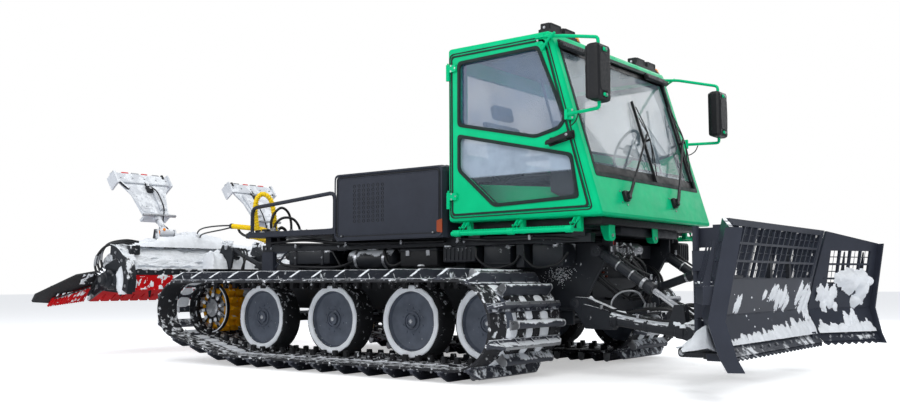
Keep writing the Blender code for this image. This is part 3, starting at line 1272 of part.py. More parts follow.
def track_setter():
    """The right track setter, folded up over the tiller: a moulding plate on one arm."""
    (x0, z0), (x1, z1) = SETTER_LOW, SETTER_HIGH
    lean = atan2(x1 - x0, z1 - z0)
    height = hypot(x1 - x0, z1 - z0)
    half = SETTER_W / 2
    face = plate([[(-half * 0.45, 0), (half * 0.45, 0), (half * 0.55, height * 0.5), (half, height),
                   (-half, height), (-half * 0.55, height * 0.5)]],
                 "x", -SETTER_T / 2, SETTER_T / 2)
    ends = [block((-0.10, side * half - 0.012, height * 0.72),
                  (0.06, side * half + 0.012, height * 0.995)) for side in (-0.94, 0.94)]
    foot = block((-0.09, -half * 0.44, -0.02), (0.05, half * 0.44, 0.008))
    head = joined(face, foot, *ends)
    head.data.transform(Matrix.Translation((x0, -SETTER_Y, z0)) @ Matrix.Rotation(lean, 4, "Y"))
    pivot = Vector((SETTER_PIVOT[0], -SETTER_Y, SETTER_PIVOT[1]))
    reach = Vector((x0 + 0.35 * (x1 - x0), -SETTER_Y, z0 + 0.35 * (z1 - z0)))
    arm = rod(pivot, reach, 0.035, 12)
    boss = rod(pivot - Vector((0, 0.09, 0)), pivot + Vector((0, 0.09, 0)), 0.045, 16)
    piece = joined(head, arm, boss)
    return cut(piece, eye(SETTER_PIVOT, -SETTER_Y - 0.3, -SETTER_Y + 0.3, SETTER_PIN_R))


# Bodies on their joints' axes

for side, word in SIDES:
    body("door_" + word, (DOOR_HINGE_X, side * (CAB_Y + DOOR_HINGE_R + RUN), 0))
    body("lift_barrel_" + word, (LIFT_PIN[0], side * ARM_Y, LIFT_PIN[1]))
    body("wing_" + word, (BLADE_X - BLADE_T / 2, side * WING_HINGE_Y, 0))
    body("tiller_wing_" + word, FLAP_FOOT + Vector((0, side * (TILLER_Y + FLAP_HINGE_R + 0.004), 0)))
    body("setter_" + word, (SETTER_PIVOT[0], side * SETTER_Y, SETTER_PIVOT[1]))
body("push_frame", (ARM_PIVOT[0], 0, ARM_PIVOT[1]))
body("carrier", (ARM_FRONT[0], 0, ARM_FRONT[1]))
body("pitch_barrel", (PITCH_PIN[0], 0, PITCH_PIN[1]))
body("blade", (KING_X, 0, 0))
body("rear_lift", (REAR_PIVOT[0], 0, REAR_PIVOT[1]))
body("rear_barrel", (REAR_LIFT_PIN[0], 0, REAR_LIFT_PIN[1]))
body("rotor", (TILLER_X, 0, TILLER_Z))

# Chassis
part("main_frame", main_frame(), "dark_steel")
part("upper_frame", upper_frame(), "dark_steel")
part("engine_block", block((ENGINE[0], -ENGINE[2], RAIL_HIGH + SEAT), (ENGINE[1], ENGINE[2], ENGINE[3])),
     "engine")
part("engine_cover", engine_cover(), "slate")
part("deck", deck(), "dark_steel")
part("cab_shell", cab_shell(), "green")
part("windshield", windshield(), "glass")
part("rear_window", rear_window(), "glass")
part("dashboard", dashboard(), "black_plastic")


def pair(name, piece, colour, carrier=None):
    """The right piece and its mirror image on the left."""
    left = mirrored(piece)
    part(name + "_right", piece, colour, carrier and carrier + "_right")
    part(name + "_left", left, colour, carrier and carrier + "_left")


pair("seat", seat(-SEAT_Y), "grey_cloth")
pair("mirror", mirror(), "black_plastic")
pair("lamp_bar", lamp_bar(-1), "black_plastic")
pair("step", step(), "green")
for number, x in enumerate(WHEEL_X, 1):
    pair("wheel_%d" % number, wheel(x), "tyre")
pair("sprocket", sprocket(), "yellow")
pair("track", track(), "rubber")

# Doors
pair("door", door(), "green", "door")
for name, outline in (("upper_glass", UPPER_WINDOW), ("lower_glass", LOWER_WINDOW)):
    pane = inset(counter_clockwise(outline), SEAT)
    pair(name, plate([pane], "y", -CAB_Y + 0.01, -CAB_Y + 0.01 + GLASS_T), "glass", "door")

# Push frame, carrier, blade and their cylinders
part("push_frame", push_frame(), "dark_steel", "push_frame")
barrel, piston = cylinder(LIFT_PIN, LIFT_EYE, -ARM_Y, LIFT_BARREL_R, LIFT_BARREL_L, LIFT_ROD_R,
                          LIFT_ROD_INSIDE, 0.05)
pair("lift_barrel", barrel, "dark_steel", "lift_barrel")
pair("lift_rod", piston, "chrome", "lift_barrel")
part("blade_carrier", blade_carrier(), "dark_steel", "carrier")
barrel, piston = cylinder(PITCH_PIN, PITCH_EYE, 0, PITCH_BARREL_R, PITCH_BARREL_L, PITCH_ROD_R,
                          PITCH_ROD_INSIDE, 0.05)
part("pitch_barrel", barrel, "dark_steel", "pitch_barrel")
part("pitch_rod", piston, "chrome", "pitch_barrel")
part("blade", blade(), "slate", "blade")
pair("blade_wing", wing(), "slate", "wing")

# Rear lift and tiller
part("rear_frame", rear_frame(), "dark_steel", "rear_lift")
barrel, piston = cylinder(REAR_LIFT_PIN, REAR_LIFT_EYE, 0, REAR_BARREL_R, REAR_BARREL_L,
                          REAR_ROD_R, REAR_ROD_INSIDE, 0.05)
part("rear_barrel", barrel, "dark_steel", "rear_barrel")
part("rear_rod", piston, "chrome", "rear_barrel")
part("tiller_housing", tiller_housing(), "dark_steel", "rear_lift")
part("tiller_rotor", tiller_rotor(), "dark_steel", "rotor")
part("tiller_comb", tiller_comb(), "red", "rear_lift")
pair("tiller_wing", tiller_wing(), "dark_steel", "tiller_wing")
pair("track_setter", track_setter(), "white", "setter")
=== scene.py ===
"""Looks for a tracked snow groomer: camera, studio, materials and the pieces that dress the fixed frame."""

import json
from math import atan2, cos, hypot, pi, radians, sin, sqrt
import random

import bmesh
import bpy
import mathutils.noise
from mathutils import Matrix, Vector
from mathutils.bvhtree import BVHTree
from mathutils.geometry import tessellate_polygon

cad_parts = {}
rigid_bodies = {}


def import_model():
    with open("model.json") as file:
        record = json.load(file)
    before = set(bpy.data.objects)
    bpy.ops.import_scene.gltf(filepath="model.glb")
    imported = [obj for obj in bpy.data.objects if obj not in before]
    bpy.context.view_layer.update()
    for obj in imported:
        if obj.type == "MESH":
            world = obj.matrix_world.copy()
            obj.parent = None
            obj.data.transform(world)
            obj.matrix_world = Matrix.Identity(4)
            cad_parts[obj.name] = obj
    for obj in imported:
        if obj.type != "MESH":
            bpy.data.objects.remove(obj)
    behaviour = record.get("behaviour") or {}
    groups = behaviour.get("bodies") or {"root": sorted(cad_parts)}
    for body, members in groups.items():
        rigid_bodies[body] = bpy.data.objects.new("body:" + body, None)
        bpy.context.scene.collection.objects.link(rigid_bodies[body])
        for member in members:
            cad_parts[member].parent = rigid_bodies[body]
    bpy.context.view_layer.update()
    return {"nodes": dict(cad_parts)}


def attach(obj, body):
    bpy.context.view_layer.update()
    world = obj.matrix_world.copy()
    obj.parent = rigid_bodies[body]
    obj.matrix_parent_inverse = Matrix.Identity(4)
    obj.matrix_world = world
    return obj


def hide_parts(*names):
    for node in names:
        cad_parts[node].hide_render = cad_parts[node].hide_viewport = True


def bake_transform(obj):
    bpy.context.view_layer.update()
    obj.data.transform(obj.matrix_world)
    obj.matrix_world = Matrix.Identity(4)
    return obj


bpy.ops.object.select_all(action="SELECT")
bpy.ops.object.delete()
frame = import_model()
NODES = frame["nodes"]
SIDES = ("right", "left")

# ---------------------------------------------------------------- camera and studio

CAMERA_AT = (6.045, -7.567, 0.785)
CAMERA_RIGHT = Vector((0.79319, 0.60896, -0.00419))
CAMERA_UP = Vector((0.05087, -0.05940, 0.99694))
CAMERA_FORWARD = Vector((-0.60685, 0.79097, 0.07809))

FOCAL_PIXELS = 951.83
PHOTO_WIDTH = 900
SENSOR = 36.0
FLOOR_HALF = 60.0
FLOOR_Z = -0.002


def linked(name, data):
    """A new object in the scene."""
    made = bpy.data.objects.new(name, data)
    bpy.context.scene.collection.objects.link(made)
    return made


camera_data = bpy.data.cameras.new("camera")
camera_data.sensor_fit = "HORIZONTAL"
camera_data.sensor_width = SENSOR
camera_data.lens = FOCAL_PIXELS / PHOTO_WIDTH * SENSOR
camera_data.dof.use_dof = False
camera_data.clip_end = 200.0
camera = linked("camera", camera_data)
camera.matrix_world = Matrix((
    (CAMERA_RIGHT.x, CAMERA_UP.x, -CAMERA_FORWARD.x, CAMERA_AT[0]),
    (CAMERA_RIGHT.y, CAMERA_UP.y, -CAMERA_FORWARD.y, CAMERA_AT[1]),
    (CAMERA_RIGHT.z, CAMERA_UP.z, -CAMERA_FORWARD.z, CAMERA_AT[2]),
    (0, 0, 0, 1)))
bpy.context.scene.camera = camera
bpy.context.scene.view_settings.view_transform = "Standard"


def seen_directly(tree):
    """1 for camera and transmission rays, which see the backdrop itself."""
    path = tree.nodes.new("ShaderNodeLightPath")
    step = tree.nodes.new("ShaderNodeMath")
    step.operation = "MAXIMUM"
    tree.links.new(path.outputs["Is Camera Ray"], step.inputs[0])
    tree.links.new(path.outputs["Is Transmission Ray"], step.inputs[1])
    return step.outputs[0]


def make_floor():
    """A plain pale floor that keeps the object's shadow."""
    mesh = bpy.data.meshes.new("floor")
    corners = [(a * FLOOR_HALF, b * FLOOR_HALF, FLOOR_Z) for a, b in ((-1, -1), (1, -1), (1, 1), (-1, 1))]
    mesh.from_pydata(corners, [], [(0, 1, 2, 3)])
    floor_object = linked("floor", mesh)
    material = bpy.data.materials.new("floor_pale")
    material.use_nodes = True
    shader = material.node_tree.nodes["Principled BSDF"]
    shader.inputs["Base Color"].default_value = (0.93, 0.94, 0.96, 1)
    shader.inputs["Roughness"].default_value = 0.9
    shader.inputs["Emission Color"].default_value = (1, 1, 1, 1)
    emission = material.node_tree.nodes.new("ShaderNodeMath")
    emission.operation = "MULTIPLY"
    emission.inputs[1].default_value = 0.45
    material.node_tree.links.new(seen_directly(material.node_tree), emission.inputs[0])
    material.node_tree.links.new(emission.outputs[0], shader.inputs["Emission Strength"])
    mesh.materials.append(material)


def make_world():
    """Plain soft light from everywhere, seen as white."""
    world = bpy.data.worlds.new("studio")
    bpy.context.scene.world = world
    world.use_nodes = True
    tree = world.node_tree
    background = tree.nodes["Background"]
    background.inputs["Color"].default_value = (0.90, 0.94, 1.0, 1)
    background.inputs["Strength"].default_value = 0.42
    white = tree.nodes.new("ShaderNodeBackground")
    white.inputs["Color"].default_value = (1, 1, 1, 1)
    white.inputs["Strength"].default_value = 1.0
    mix = tree.nodes.new("ShaderNodeMixShader")
    tree.links.new(seen_directly(tree), mix.inputs[0])
    tree.links.new(background.outputs[0], mix.inputs[1])
    tree.links.new(white.outputs[0], mix.inputs[2])
    tree.links.new(mix.outputs[0], tree.nodes["World Output"].inputs["Surface"])


def area_light(name, at, towards, size, power, colour=(1, 1, 1)):
    """A soft rectangular studio lamp."""
    data = bpy.data.lights.new(name, "AREA")
    data.shape = "RECTANGLE"
    data.size, data.size_y = size
    data.energy = power
    data.color = colour
    lamp = linked(name, data)
    lamp.location = at
    lamp.rotation_euler = (Vector(towards) - Vector(at)).to_track_quat("-Z", "Y").to_euler()


make_floor()
make_world()
area_light("key", (8.0, -8.0, 9.0), (0.5, 0, 0.8), (8, 8), 860, (1.0, 0.99, 0.97))
area_light("side", (-7.0, -9.0, 6.0), (-0.5, 0, 0.8), (8, 5), 330, (0.97, 0.98, 1.0))
area_light("top", (0.0, 1.0, 11.0), (0, 0, 1), (10, 8), 440)
area_light("far", (2.0, 10.0, 6.0), (0, 0, 1), (8, 5), 280)

# ---------------------------------------------------------------- materials

SNOW_WHITE = (0.86, 0.89, 0.93, 1)


def srgb(red, green, blue):
    """A colour as a screen shows it, 0 to 255, in the shader's own scale."""
    return tuple((c / 255 / 12.92) if c / 255 <= 0.04045 else ((c / 255 + 0.055) / 1.055) ** 2.4
                 for c in (red, green, blue))


class Tree:
    """Short forms for the nodes of one material."""

    def __init__(self, name):
        self.material = bpy.data.materials.new(name)
        self.material.use_nodes = True
        self.tree = self.material.node_tree
        self.shader = self.tree.nodes["Principled BSDF"]
        self.place = self.tree.nodes.new("ShaderNodeTexCoord").outputs["Object"]

    def link(self, a, b):
        self.tree.links.new(a, b)

    def feed(self, value, socket):
        """Sets a socket to a number or a colour, or links another node's output to it."""
        if isinstance(value, (int, float)):
            socket.default_value = value
        elif isinstance(value, tuple):
            socket.default_value = value if len(value) == 4 else (*value, 1)
        else:
            self.link(value, socket)

    def node(self, kind, **inputs):
        """A new node with its inputs, named with _ for a space."""
        node = self.tree.nodes.new("ShaderNode" + kind)
        for name, value in inputs.items():
            self.feed(value, node.inputs[name.replace("_", " ")])
        return node

    def scaled(self, scale):
        """The object's own coordinates, stretched."""
        node = self.node("Mapping", Vector=self.place)
        node.inputs["Scale"].default_value = scale
        return node.outputs[0]

    def noise(self, scale, detail=4.0, vector=None, rough=0.55):
        return self.node("TexNoise", Scale=scale, Detail=detail, Roughness=rough,
                         Vector=vector or self.place).outputs["Fac"]

    def wave(self, scale, direction, distortion):
        node = self.node("TexWave", Scale=scale, Distortion=distortion, Vector=self.place)
        node.bands_direction = direction
        return node.outputs["Fac"]

    def math(self, operation, a, b, c=None):
        node = self.node("Math")
        node.operation = operation
        for socket, value in zip(node.inputs, (a, b, c)):
            if value is not None:
                self.feed(value, socket)
        return node.outputs[0]

    def ramp(self, value, low, high, first=0.0, last=1.0):
        node = self.node("MapRange")
        node.interpolation_type = "SMOOTHSTEP"
        for name, number in (("From Min", low), ("From Max", high), ("To Min", first), ("To Max", last)):
            node.inputs[name].default_value = number
        self.link(value, node.inputs["Value"])
        return node.outputs["Result"]

    def mix(self, factor, a, b, blend="MIX"):
        node = self.node("Mix")
        node.data_type = "RGBA"
        node.blend_type = blend
        for number, value in ((0, factor), (6, a), (7, b)):
            self.feed(value, node.inputs[number])
        return node.outputs[2]

    def upward(self):
        """How far the surface faces the sky: 1 level, 0 upright, less than 0 below."""
        return self.node("SeparateXYZ", Vector=self.node("NewGeometry").outputs["Normal"]).outputs["Z"]

    def height(self):
        return self.node("SeparateXYZ", Vector=self.place).outputs["Z"]

    def bump(self, value, strength, distance=0.002, before=None):
        node = self.node("Bump", Strength=strength, Distance=distance, Height=value)
        if before:
            self.link(before, node.inputs["Normal"])
        return node.outputs["Normal"]

    def set(self, **values):
        for name, value in values.items():
            self.feed(value, self.shader.inputs[name.replace("_", " ")])


def surface(name, colour, rough=0.5, metal=0.0, coat=0.0, vary=0.10, grain=5.0, bump=0.15, bump_grain=45.0,
            bump_depth=0.001, snow=None, scratch=0.0, shine=0.35):
    """A finish with uneven tone and fine relief; snow is (amount, pull to level faces, grain)."""
    t = Tree(name)
    tone = t.ramp(t.noise(grain), 0.3, 0.7, 1 - vary, 1 + vary)
    base = t.mix(1.0, tuple(colour), tone, "MULTIPLY")
    roughness = t.ramp(t.noise(grain * 3.1, 5.0), 0.3, 0.7, max(0.02, rough - 0.07), min(1.0, rough + 0.09))
    relief = t.noise(bump_grain, 6.0)
    normal = t.bump(relief, bump, bump_depth)
    if scratch:
        lines = t.noise(9.0, 6.0, t.scaled((0.6, 1.0, 14.0)))
        mark = t.ramp(lines, 0.60, 0.72, 0.0, scratch)
        base = t.mix(mark, base, (0.55, 0.56, 0.58))
    if snow:
        amount, pull, snow_grain = snow
        lies = t.math("MULTIPLY_ADD", t.upward(), pull, t.noise(snow_grain, 7.0, rough=0.62))
        lies = t.ramp(lies, 1 - amount, 1.10 - amount)
        base = t.mix(lies, base, SNOW_WHITE)
        roughness = t.ramp(lies, 0.0, 1.0, rough, 0.9) if metal < 0.5 else roughness
        normal = t.bump(lies, 0.6, 0.004, normal)
    t.set(Base_Color=base, Roughness=roughness, Metallic=metal, Normal=normal, Coat_Weight=coat)
    t.set(Coat_Roughness=0.12, Specular_IOR_Level=shine)
    return t.material


GREEN = surface("green_paint", srgb(0, 198, 134), 0.36, coat=0.02, shine=0.08, vary=0.05, bump=0.05,
                bump_grain=25)
SLATE = surface("slate_paint", srgb(44, 48, 59), 0.44, coat=0.04, shine=0.25, vary=0.07, bump=0.12,
                bump_grain=90)
SLATE_SNOW = surface("slate_paint_snow", srgb(48, 52, 63), 0.44, coat=0.03, shine=0.25, vary=0.08,
                     bump=0.12, bump_grain=90,
                     snow=(0.27, 0.30, 5.0))
BLACK_STEEL = surface("black_steel", srgb(30, 33, 39), 0.45, vary=0.12, bump=0.15, bump_grain=60)
BLACK_STEEL_SNOW = surface("black_steel_snow", srgb(30, 33, 39), 0.45, vary=0.12, bump=0.15, bump_grain=60,
                           snow=(0.37, 0.34, 9.0))
WHITE_SNOWY = surface("tiller_snow", srgb(40, 42, 48), 0.45, vary=0.1, bump=0.2, snow=(0.52, 0.35, 4.0))
RUBBER = surface("rubber", srgb(26, 27, 30), 0.72, vary=0.15, grain=12, bump=0.35, bump_grain=70,
                 snow=(0.40, 0.10, 22.0))
BELT = surface("belt_rubber", srgb(34, 35, 39), 0.75, vary=0.18, grain=14, bump=0.35, bump_grain=80,
               snow=(0.44, 0.08, 18.0))
HOSE = surface("hose_rubber", srgb(22, 23, 26), 0.42, vary=0.10, grain=20, bump=0.25, bump_grain=140)
GROUSER = surface("grouser_metal", srgb(66, 69, 78), 0.45, metal=0.35, vary=0.15, bump=0.3, bump_grain=60,
                  snow=(0.40, 0.30, 12.0), scratch=0.3)
PACKED_SNOW = surface("packed_snow", (0.86, 0.89, 0.93), 0.85, vary=0.05, grain=9, bump=0.9, bump_grain=28,
                      bump_depth=0.01)
DISC = surface("wheel_disc", srgb(84, 91, 104), 0.5, vary=0.16, grain=9, bump=0.25, bump_grain=70,
               snow=(0.33, 0.05, 40.0))
YELLOW = surface("yellow_paint", srgb(240, 168, 10), 0.42, coat=0.1, vary=0.12, grain=9, bump=0.2,
                 snow=(0.33, 0.2, 14.0))
HOSE_YELLOW = surface("hose_guard_yellow", srgb(250, 212, 10), 0.4, vary=0.06, grain=20, bump=0.1)
RED = surface("red_rubber", srgb(196, 12, 20), 0.5, shine=0.15, vary=0.14, grain=9, bump=0.3, bump_grain=60,
              snow=(0.36, 0.15, 9.0))
WHITE_PLASTIC = surface("white_moulding", srgb(212, 216, 222), 0.5, vary=0.05, grain=7, bump=0.25,
                        snow=(0.42, 0.2, 8.0))
BLACK_PLASTIC = surface("black_plastic", srgb(24, 25, 28), 0.48, vary=0.08, grain=14, bump=0.3,
                        bump_grain=220, bump_depth=0.0006)
GREY_LINING = surface("cab_lining", srgb(150, 155, 160), 0.8, vary=0.05, grain=14, bump=0.3, bump_grain=260,
                      bump_depth=0.0006)
CHROME = surface("chromed_rod", (0.72, 0.73, 0.75), 0.14, metal=1.0, vary=0.04, bump=0.03, bump_grain=200)
STEEL = surface("bare_steel", (0.42, 0.43, 0.45), 0.32, metal=0.9, vary=0.10, bump=0.15, bump_grain=80)
ENGINE = surface("engine_casting", (0.16, 0.165, 0.17), 0.5, metal=0.5, vary=0.14, bump=0.35, bump_grain=40)
ORANGE = surface("orange_primer", srgb(150, 62, 24), 0.5, vary=0.12, bump=0.15)
RED_CAP = surface("red_cap", srgb(214, 30, 26), 0.4, vary=0.04)
AMBER = surface("amber_lens", srgb(255, 150, 20), 0.2, coat=0.6, vary=0.03)
LENS = surface("lamp_lens", (0.78, 0.82, 0.85), 0.08, metal=0.3, coat=0.8, vary=0.03, bump=0.4,
               bump_grain=60)
MIRROR_FACE = surface("mirror_face", (0.75, 0.78, 0.80), 0.03, metal=1.0, vary=0.02, bump=0.0)
# Near-black finish: the windshield's printed border and the screen's face, and also painted shade in the
# engine cover's crease, vent holes, slots and louvres.
DARK_PRINT_AND_SHADE = surface("print_and_painted_shade", srgb(14, 16, 18), 0.45, coat=0.0, vary=0.05, bump=0.02)
SEAL = surface("rubber_seal", srgb(22, 40, 38), 0.6, vary=0.08, bump=0.15, bump_grain=120)


def window_glass(name, tint, alpha, fade=None):
    """Tinted glass that lets the backdrop through and catches some sheen."""
    t = Tree(name)
    cloud = t.ramp(t.noise(1.6, 3.0), 0.35, 0.7, max(0.05, alpha - 0.10), alpha + 0.10)
    if fade:
        cloud = t.math("MULTIPLY", cloud, t.ramp(t.height(), fade[0], fade[1], 0.10, 1.0))
    t.set(Base_Color=t.mix(t.ramp(t.noise(5.0, 5.0), 0.35, 0.65), tint, tuple(c * 1.25 for c in tint)))
    t.set(Roughness=t.ramp(t.noise(7.0), 0.3, 0.7, 0.02, 0.06), Alpha=cloud, Coat_Weight=0.6)
    t.set(Coat_Roughness=0.02)
    return t.material


GLASS = window_glass("window_glass", srgb(78, 106, 138), 0.40)
SHIELD_GLASS = window_glass("windshield_glass", srgb(150, 170, 180), 0.24)
LOW_GLASS = window_glass("lower_window_glass", srgb(176, 192, 210), 0.55, (1.655, 1.675))


def woven(name, colour, scale=420.0):
    """Seat cloth: two crossed thread waves over an uneven tone."""
    t = Tree(name)
    across = t.wave(scale, "X", 0.6)
    along = t.wave(scale, "Z", 0.6)
    weave = t.math("MULTIPLY", across, along)
    tone = t.mix(t.ramp(weave, 0.1, 0.7), tuple(c * 0.75 for c in colour),
                 tuple(min(1, c * 1.25) for c in colour))
    t.set(Base_Color=t.mix(t.ramp(t.noise(9.0), 0.35, 0.7, 0.0, 0.35), tone,
                           tuple(c * 0.6 for c in colour)))
    t.set(Roughness=t.ramp(t.noise(14.0), 0.3, 0.7, 0.82, 0.9), Normal=t.bump(weave, 0.4, 0.0006))
    t.set(Sheen_Weight=0.25)
    return t.material


SEAT_CLOTH = woven("seat_cloth", srgb(78, 82, 90))
SEAT_SIDE = woven("seat_side_cloth", srgb(44, 46, 51), 300.0)

# ---------------------------------------------------------------- shape helpers

SHARP = radians(38)
SOFT_ANGLE = radians(35)


def bridge(bm, rings):
    """Faces between neighbouring closed rings of equally many points."""
    for a, b in zip(rings, rings[1:]):
        for k in range(len(a)):
            after = (k + 1) % len(a)
            bm.faces.new((a[k], a[after], b[after], b[k]))


def turned(at, angle, axis="Y"):
    """A frame at a point, turned about one of its axes."""
    return Matrix.Translation(at) @ Matrix.Rotation(angle, 4, axis)


class Maker:
    """Collects shapes, each with its material, into one piece."""

    def __init__(self):
        self.bm = bmesh.new()
        self.materials = []

    def take(self, bm, material, matrix=None):
        """Adds a finished little mesh and frees it."""
        if material not in self.materials:
            self.materials.append(material)
        slot = self.materials.index(material)
        for face in bm.faces:
            face.material_index = slot
            face.smooth = True
        if matrix is not None:
            bmesh.ops.transform(bm, matrix=matrix, verts=bm.verts)
        mesh = bpy.data.meshes.new("part")
        bm.to_mesh(mesh)
        bm.free()
        self.bm.from_mesh(mesh)
        bpy.data.meshes.remove(mesh)

    def box(self, low, high, material, bevel=0.004, segments=1, matrix=None):
        bm = bmesh.new()
        bmesh.ops.create_cube(bm, size=1.0)
        bmesh.ops.scale(bm, vec=[b - a for a, b in zip(low, high)], verts=bm.verts)
        bmesh.ops.translate(bm, vec=[(a + b) / 2 for a, b in zip(low, high)], verts=bm.verts)
        if bevel:
            bmesh.ops.bevel(bm, geom=list(bm.edges), offset=bevel, segments=segments, profile=0.5,
                            affect="EDGES",
                            clamp_overlap=True)
        self.take(bm, material, matrix)

    def rod(self, start, end, radius, material, sides=20, end_radius=None, bevel=0.0):
        start, end = Vector(start), Vector(end)
        way = end - start
        bm = bmesh.new()
        bmesh.ops.create_cone(bm, cap_ends=True, segments=sides, radius1=radius,
                              radius2=radius if end_radius is None else end_radius, depth=way.length)
        if bevel:
            rim = [e for e in bm.edges if abs(e.verts[0].co.z - e.verts[1].co.z) < 1e-6]
            bmesh.ops.bevel(bm, geom=rim, offset=bevel, segments=1, profile=0.5, affect="EDGES",
                            clamp_overlap=True)
        turn = Vector((0, 0, 1)).rotation_difference(way).to_matrix().to_4x4()
        self.take(bm, material, Matrix.Translation((start + end) / 2) @ turn)

    def bolt(self, at, way, size, material, head=0.6):
        """A hexagon head on its washer."""
        at, way = Vector(at), Vector(way).normalized()
        self.rod(at, at + way * size * 0.15, size * 1.25, material, 14)
        self.rod(at + way * size * 0.1, at + way * size * (0.15 + head), size, material, 6,
                 bevel=size * 0.12)

    def lathe(self, profile, centre, axis, material, sides=40):
        """(radius, distance along axis) points turned about the axis through centre."""
        axis = Vector(axis).normalized()
        turn = Vector((0, 0, 1)).rotation_difference(axis).to_matrix().to_4x4()
        bm = bmesh.new()
        rings = []
        for radius, along in profile:
            if radius < 1e-6:
                rings.append([bm.verts.new((0, 0, along))])
            else:
                rings.append([bm.verts.new((radius * cos(2 * pi * i / sides),
                                            radius * sin(2 * pi * i / sides), along))
                              for i in range(sides)])
        for a, b in zip(rings, rings[1:]):
            for i in range(sides):
                corners = [a[i % len(a)], a[(i + 1) % len(a)], b[(i + 1) % len(b)], b[i % len(b)]]
                corners = list(dict.fromkeys(corners))
                if len(corners) > 2:
                    bm.faces.new(corners)
        bmesh.ops.recalc_face_normals(bm, faces=bm.faces)
        self.take(bm, material, Matrix.Translation(centre) @ turn)

    def slab(self, outlines, axis, low, high, material, bevel=0.0, matrix=None):
        """Flat outlines, the first the rim and the others holes, given thickness along an axis."""
        place = {"x": lambda a, b, c: (c, a, b), "y": lambda a, b, c: (a, c, b),
                 "z": lambda a, b, c: (a, b, c)}[axis]
        bm = bmesh.new()
        if len(outlines) == 1:
            sheets = [[bm.verts.new(place(a, b, c)) for a, b in outlines[0]] for c in (low, high)]
            caps = [bm.faces.new(sheets[0]), bm.faces.new(list(reversed(sheets[1])))]
            count = len(outlines[0])
            for i in range(count):
                bm.faces.new((sheets[0][i - 1], sheets[0][i], sheets[1][i], sheets[1][i - 1]))
            bmesh.ops.recalc_face_normals(bm, faces=bm.faces)
            if bevel:
                rim = list({e for cap in caps for e in cap.edges})
                bmesh.ops.bevel(bm, geom=rim, offset=bevel, segments=1, profile=0.5, affect="EDGES",
                                clamp_overlap=True)
        else:
            flat = [[Vector((a, b, 0)) for a, b in outline] for outline in outlines]
            triangles = tessellate_polygon(flat)
            points = [p for outline in outlines for p in outline]
            sheets = [[bm.verts.new(place(a, b, c)) for a, b in points] for c in (low, high)]
            for a, b, c in triangles:
                bm.faces.new((sheets[0][a], sheets[0][b], sheets[0][c]))
                bm.faces.new((sheets[1][a], sheets[1][c], sheets[1][b]))
            start = 0
            for outline in outlines:
                for i in range(len(outline)):
                    a = start + (i - 1) % len(outline)
                    b = start + i
                    bm.faces.new((sheets[0][a], sheets[0][b], sheets[1][b], sheets[1][a]))
                start += len(outline)
            bmesh.ops.recalc_face_normals(bm, faces=bm.faces)
        self.take(bm, material, matrix)

    def pipe(self, points, radius, material, sides=10, smooth=0, caps=True, radii=None):
        """A round tube along points, which may first be smoothed into a curve of that many steps a span."""
        line = curve_through(points, smooth) if smooth else [Vector(p) for p in points]
        bm = bmesh.new()
        rings = []
        angles = [2 * pi * k / sides for k in range(sides)]
        tangent = (line[1] - line[0]).normalized()
        normal = tangent.orthogonal().normalized()
        for i, point in enumerate(line):
            ahead = line[min(i + 1, len(line) - 1)] - line[max(i - 1, 0)]
            ahead.normalize()
            normal = (normal - ahead * normal.dot(ahead)).normalized()
            side = ahead.cross(normal)
            size = radii[i] if radii else radius
            rings.append([bm.verts.new(point + (normal * cos(a) + side * sin(a)) * size) for a in angles])
        bridge(bm, rings)
        if caps:
            bm.faces.new(rings[0])
            bm.faces.new(list(reversed(rings[-1])))
        bmesh.ops.recalc_face_normals(bm, faces=bm.faces)
        self.take(bm, material)

    def done(self, name, body, flip=False):
        """Makes the piece, or its mirror image, and lets it ride on a body."""
        if flip:
            bmesh.ops.scale(self.bm, vec=(1, -1, 1), verts=self.bm.verts)
            bmesh.ops.reverse_faces(self.bm, faces=self.bm.faces)
        mesh = bpy.data.meshes.new(name)
        self.bm.to_mesh(mesh)
        self.bm.free()
        for material in self.materials:
            mesh.materials.append(material)
        mesh.set_sharp_from_angle(angle=SHARP)
        piece = linked(name, mesh)
        if body:
            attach(piece, body)
        return piece


def curve_through(points, steps):
    """A smooth line through the points, with steps points to a span."""
    points = [Vector(p) for p in points]
    ends = [points[0] * 2 - points[1]] + points + [points[-1] * 2 - points[-2]]
    line = []
    for a, b, c, d in zip(ends, ends[1:], ends[2:], ends[3:]):
        for i in range(steps):
            t = i / steps
            line.append(0.5 * (2 * b + (c - a) * t + (2 * a - 5 * b + 4 * c - d) * t * t
                               + (3 * b - a - 3 * c + d) * t ** 3))
    line.append(points[-1])
    return line


def ring(centre, radius, sides, start=0.0, end=2 * pi):
    """Points round a centre; a full circle doesn't repeat its first one."""
    steps = sides if end - start > 2 * pi - 1e-6 else sides + 1
    return [(centre[0] + radius * cos(start + (end - start) * i / sides),
             centre[1] + radius * sin(start + (end - start) * i / sides)) for i in range(steps)]


def rounded(outline, radius, steps=4):
    """An outline with its corners rounded over."""
    result = []
    count = len(outline)
    for i, corner in enumerate(outline):
        corner = Vector(corner)
        before = Vector(outline[i - 1]) - corner
        after = Vector(outline[(i + 1) % count]) - corner
        reach = min(radius, before.length * 0.45, after.length * 0.45)
        start = corner + before.normalized() * reach
        end = corner + after.normalized() * reach
        for k in range(steps + 1):
            t = k / steps
            p = start * (1 - t) ** 2 + corner * (2 * t * (1 - t)) + end * t * t
            result.append((p.x, p.y))
    return result


def hole(outline):
    """An outline run the other way, as a hole in a slab."""
    return list(reversed(outline))


def rounded_box(half_a, half_b, radius, steps=4):
    """A rectangle about 0 with its corners rounded over."""
    return rounded([(-half_a, -half_b), (half_a, -half_b), (half_a, half_b), (-half_a, half_b)], radius,
                   steps)


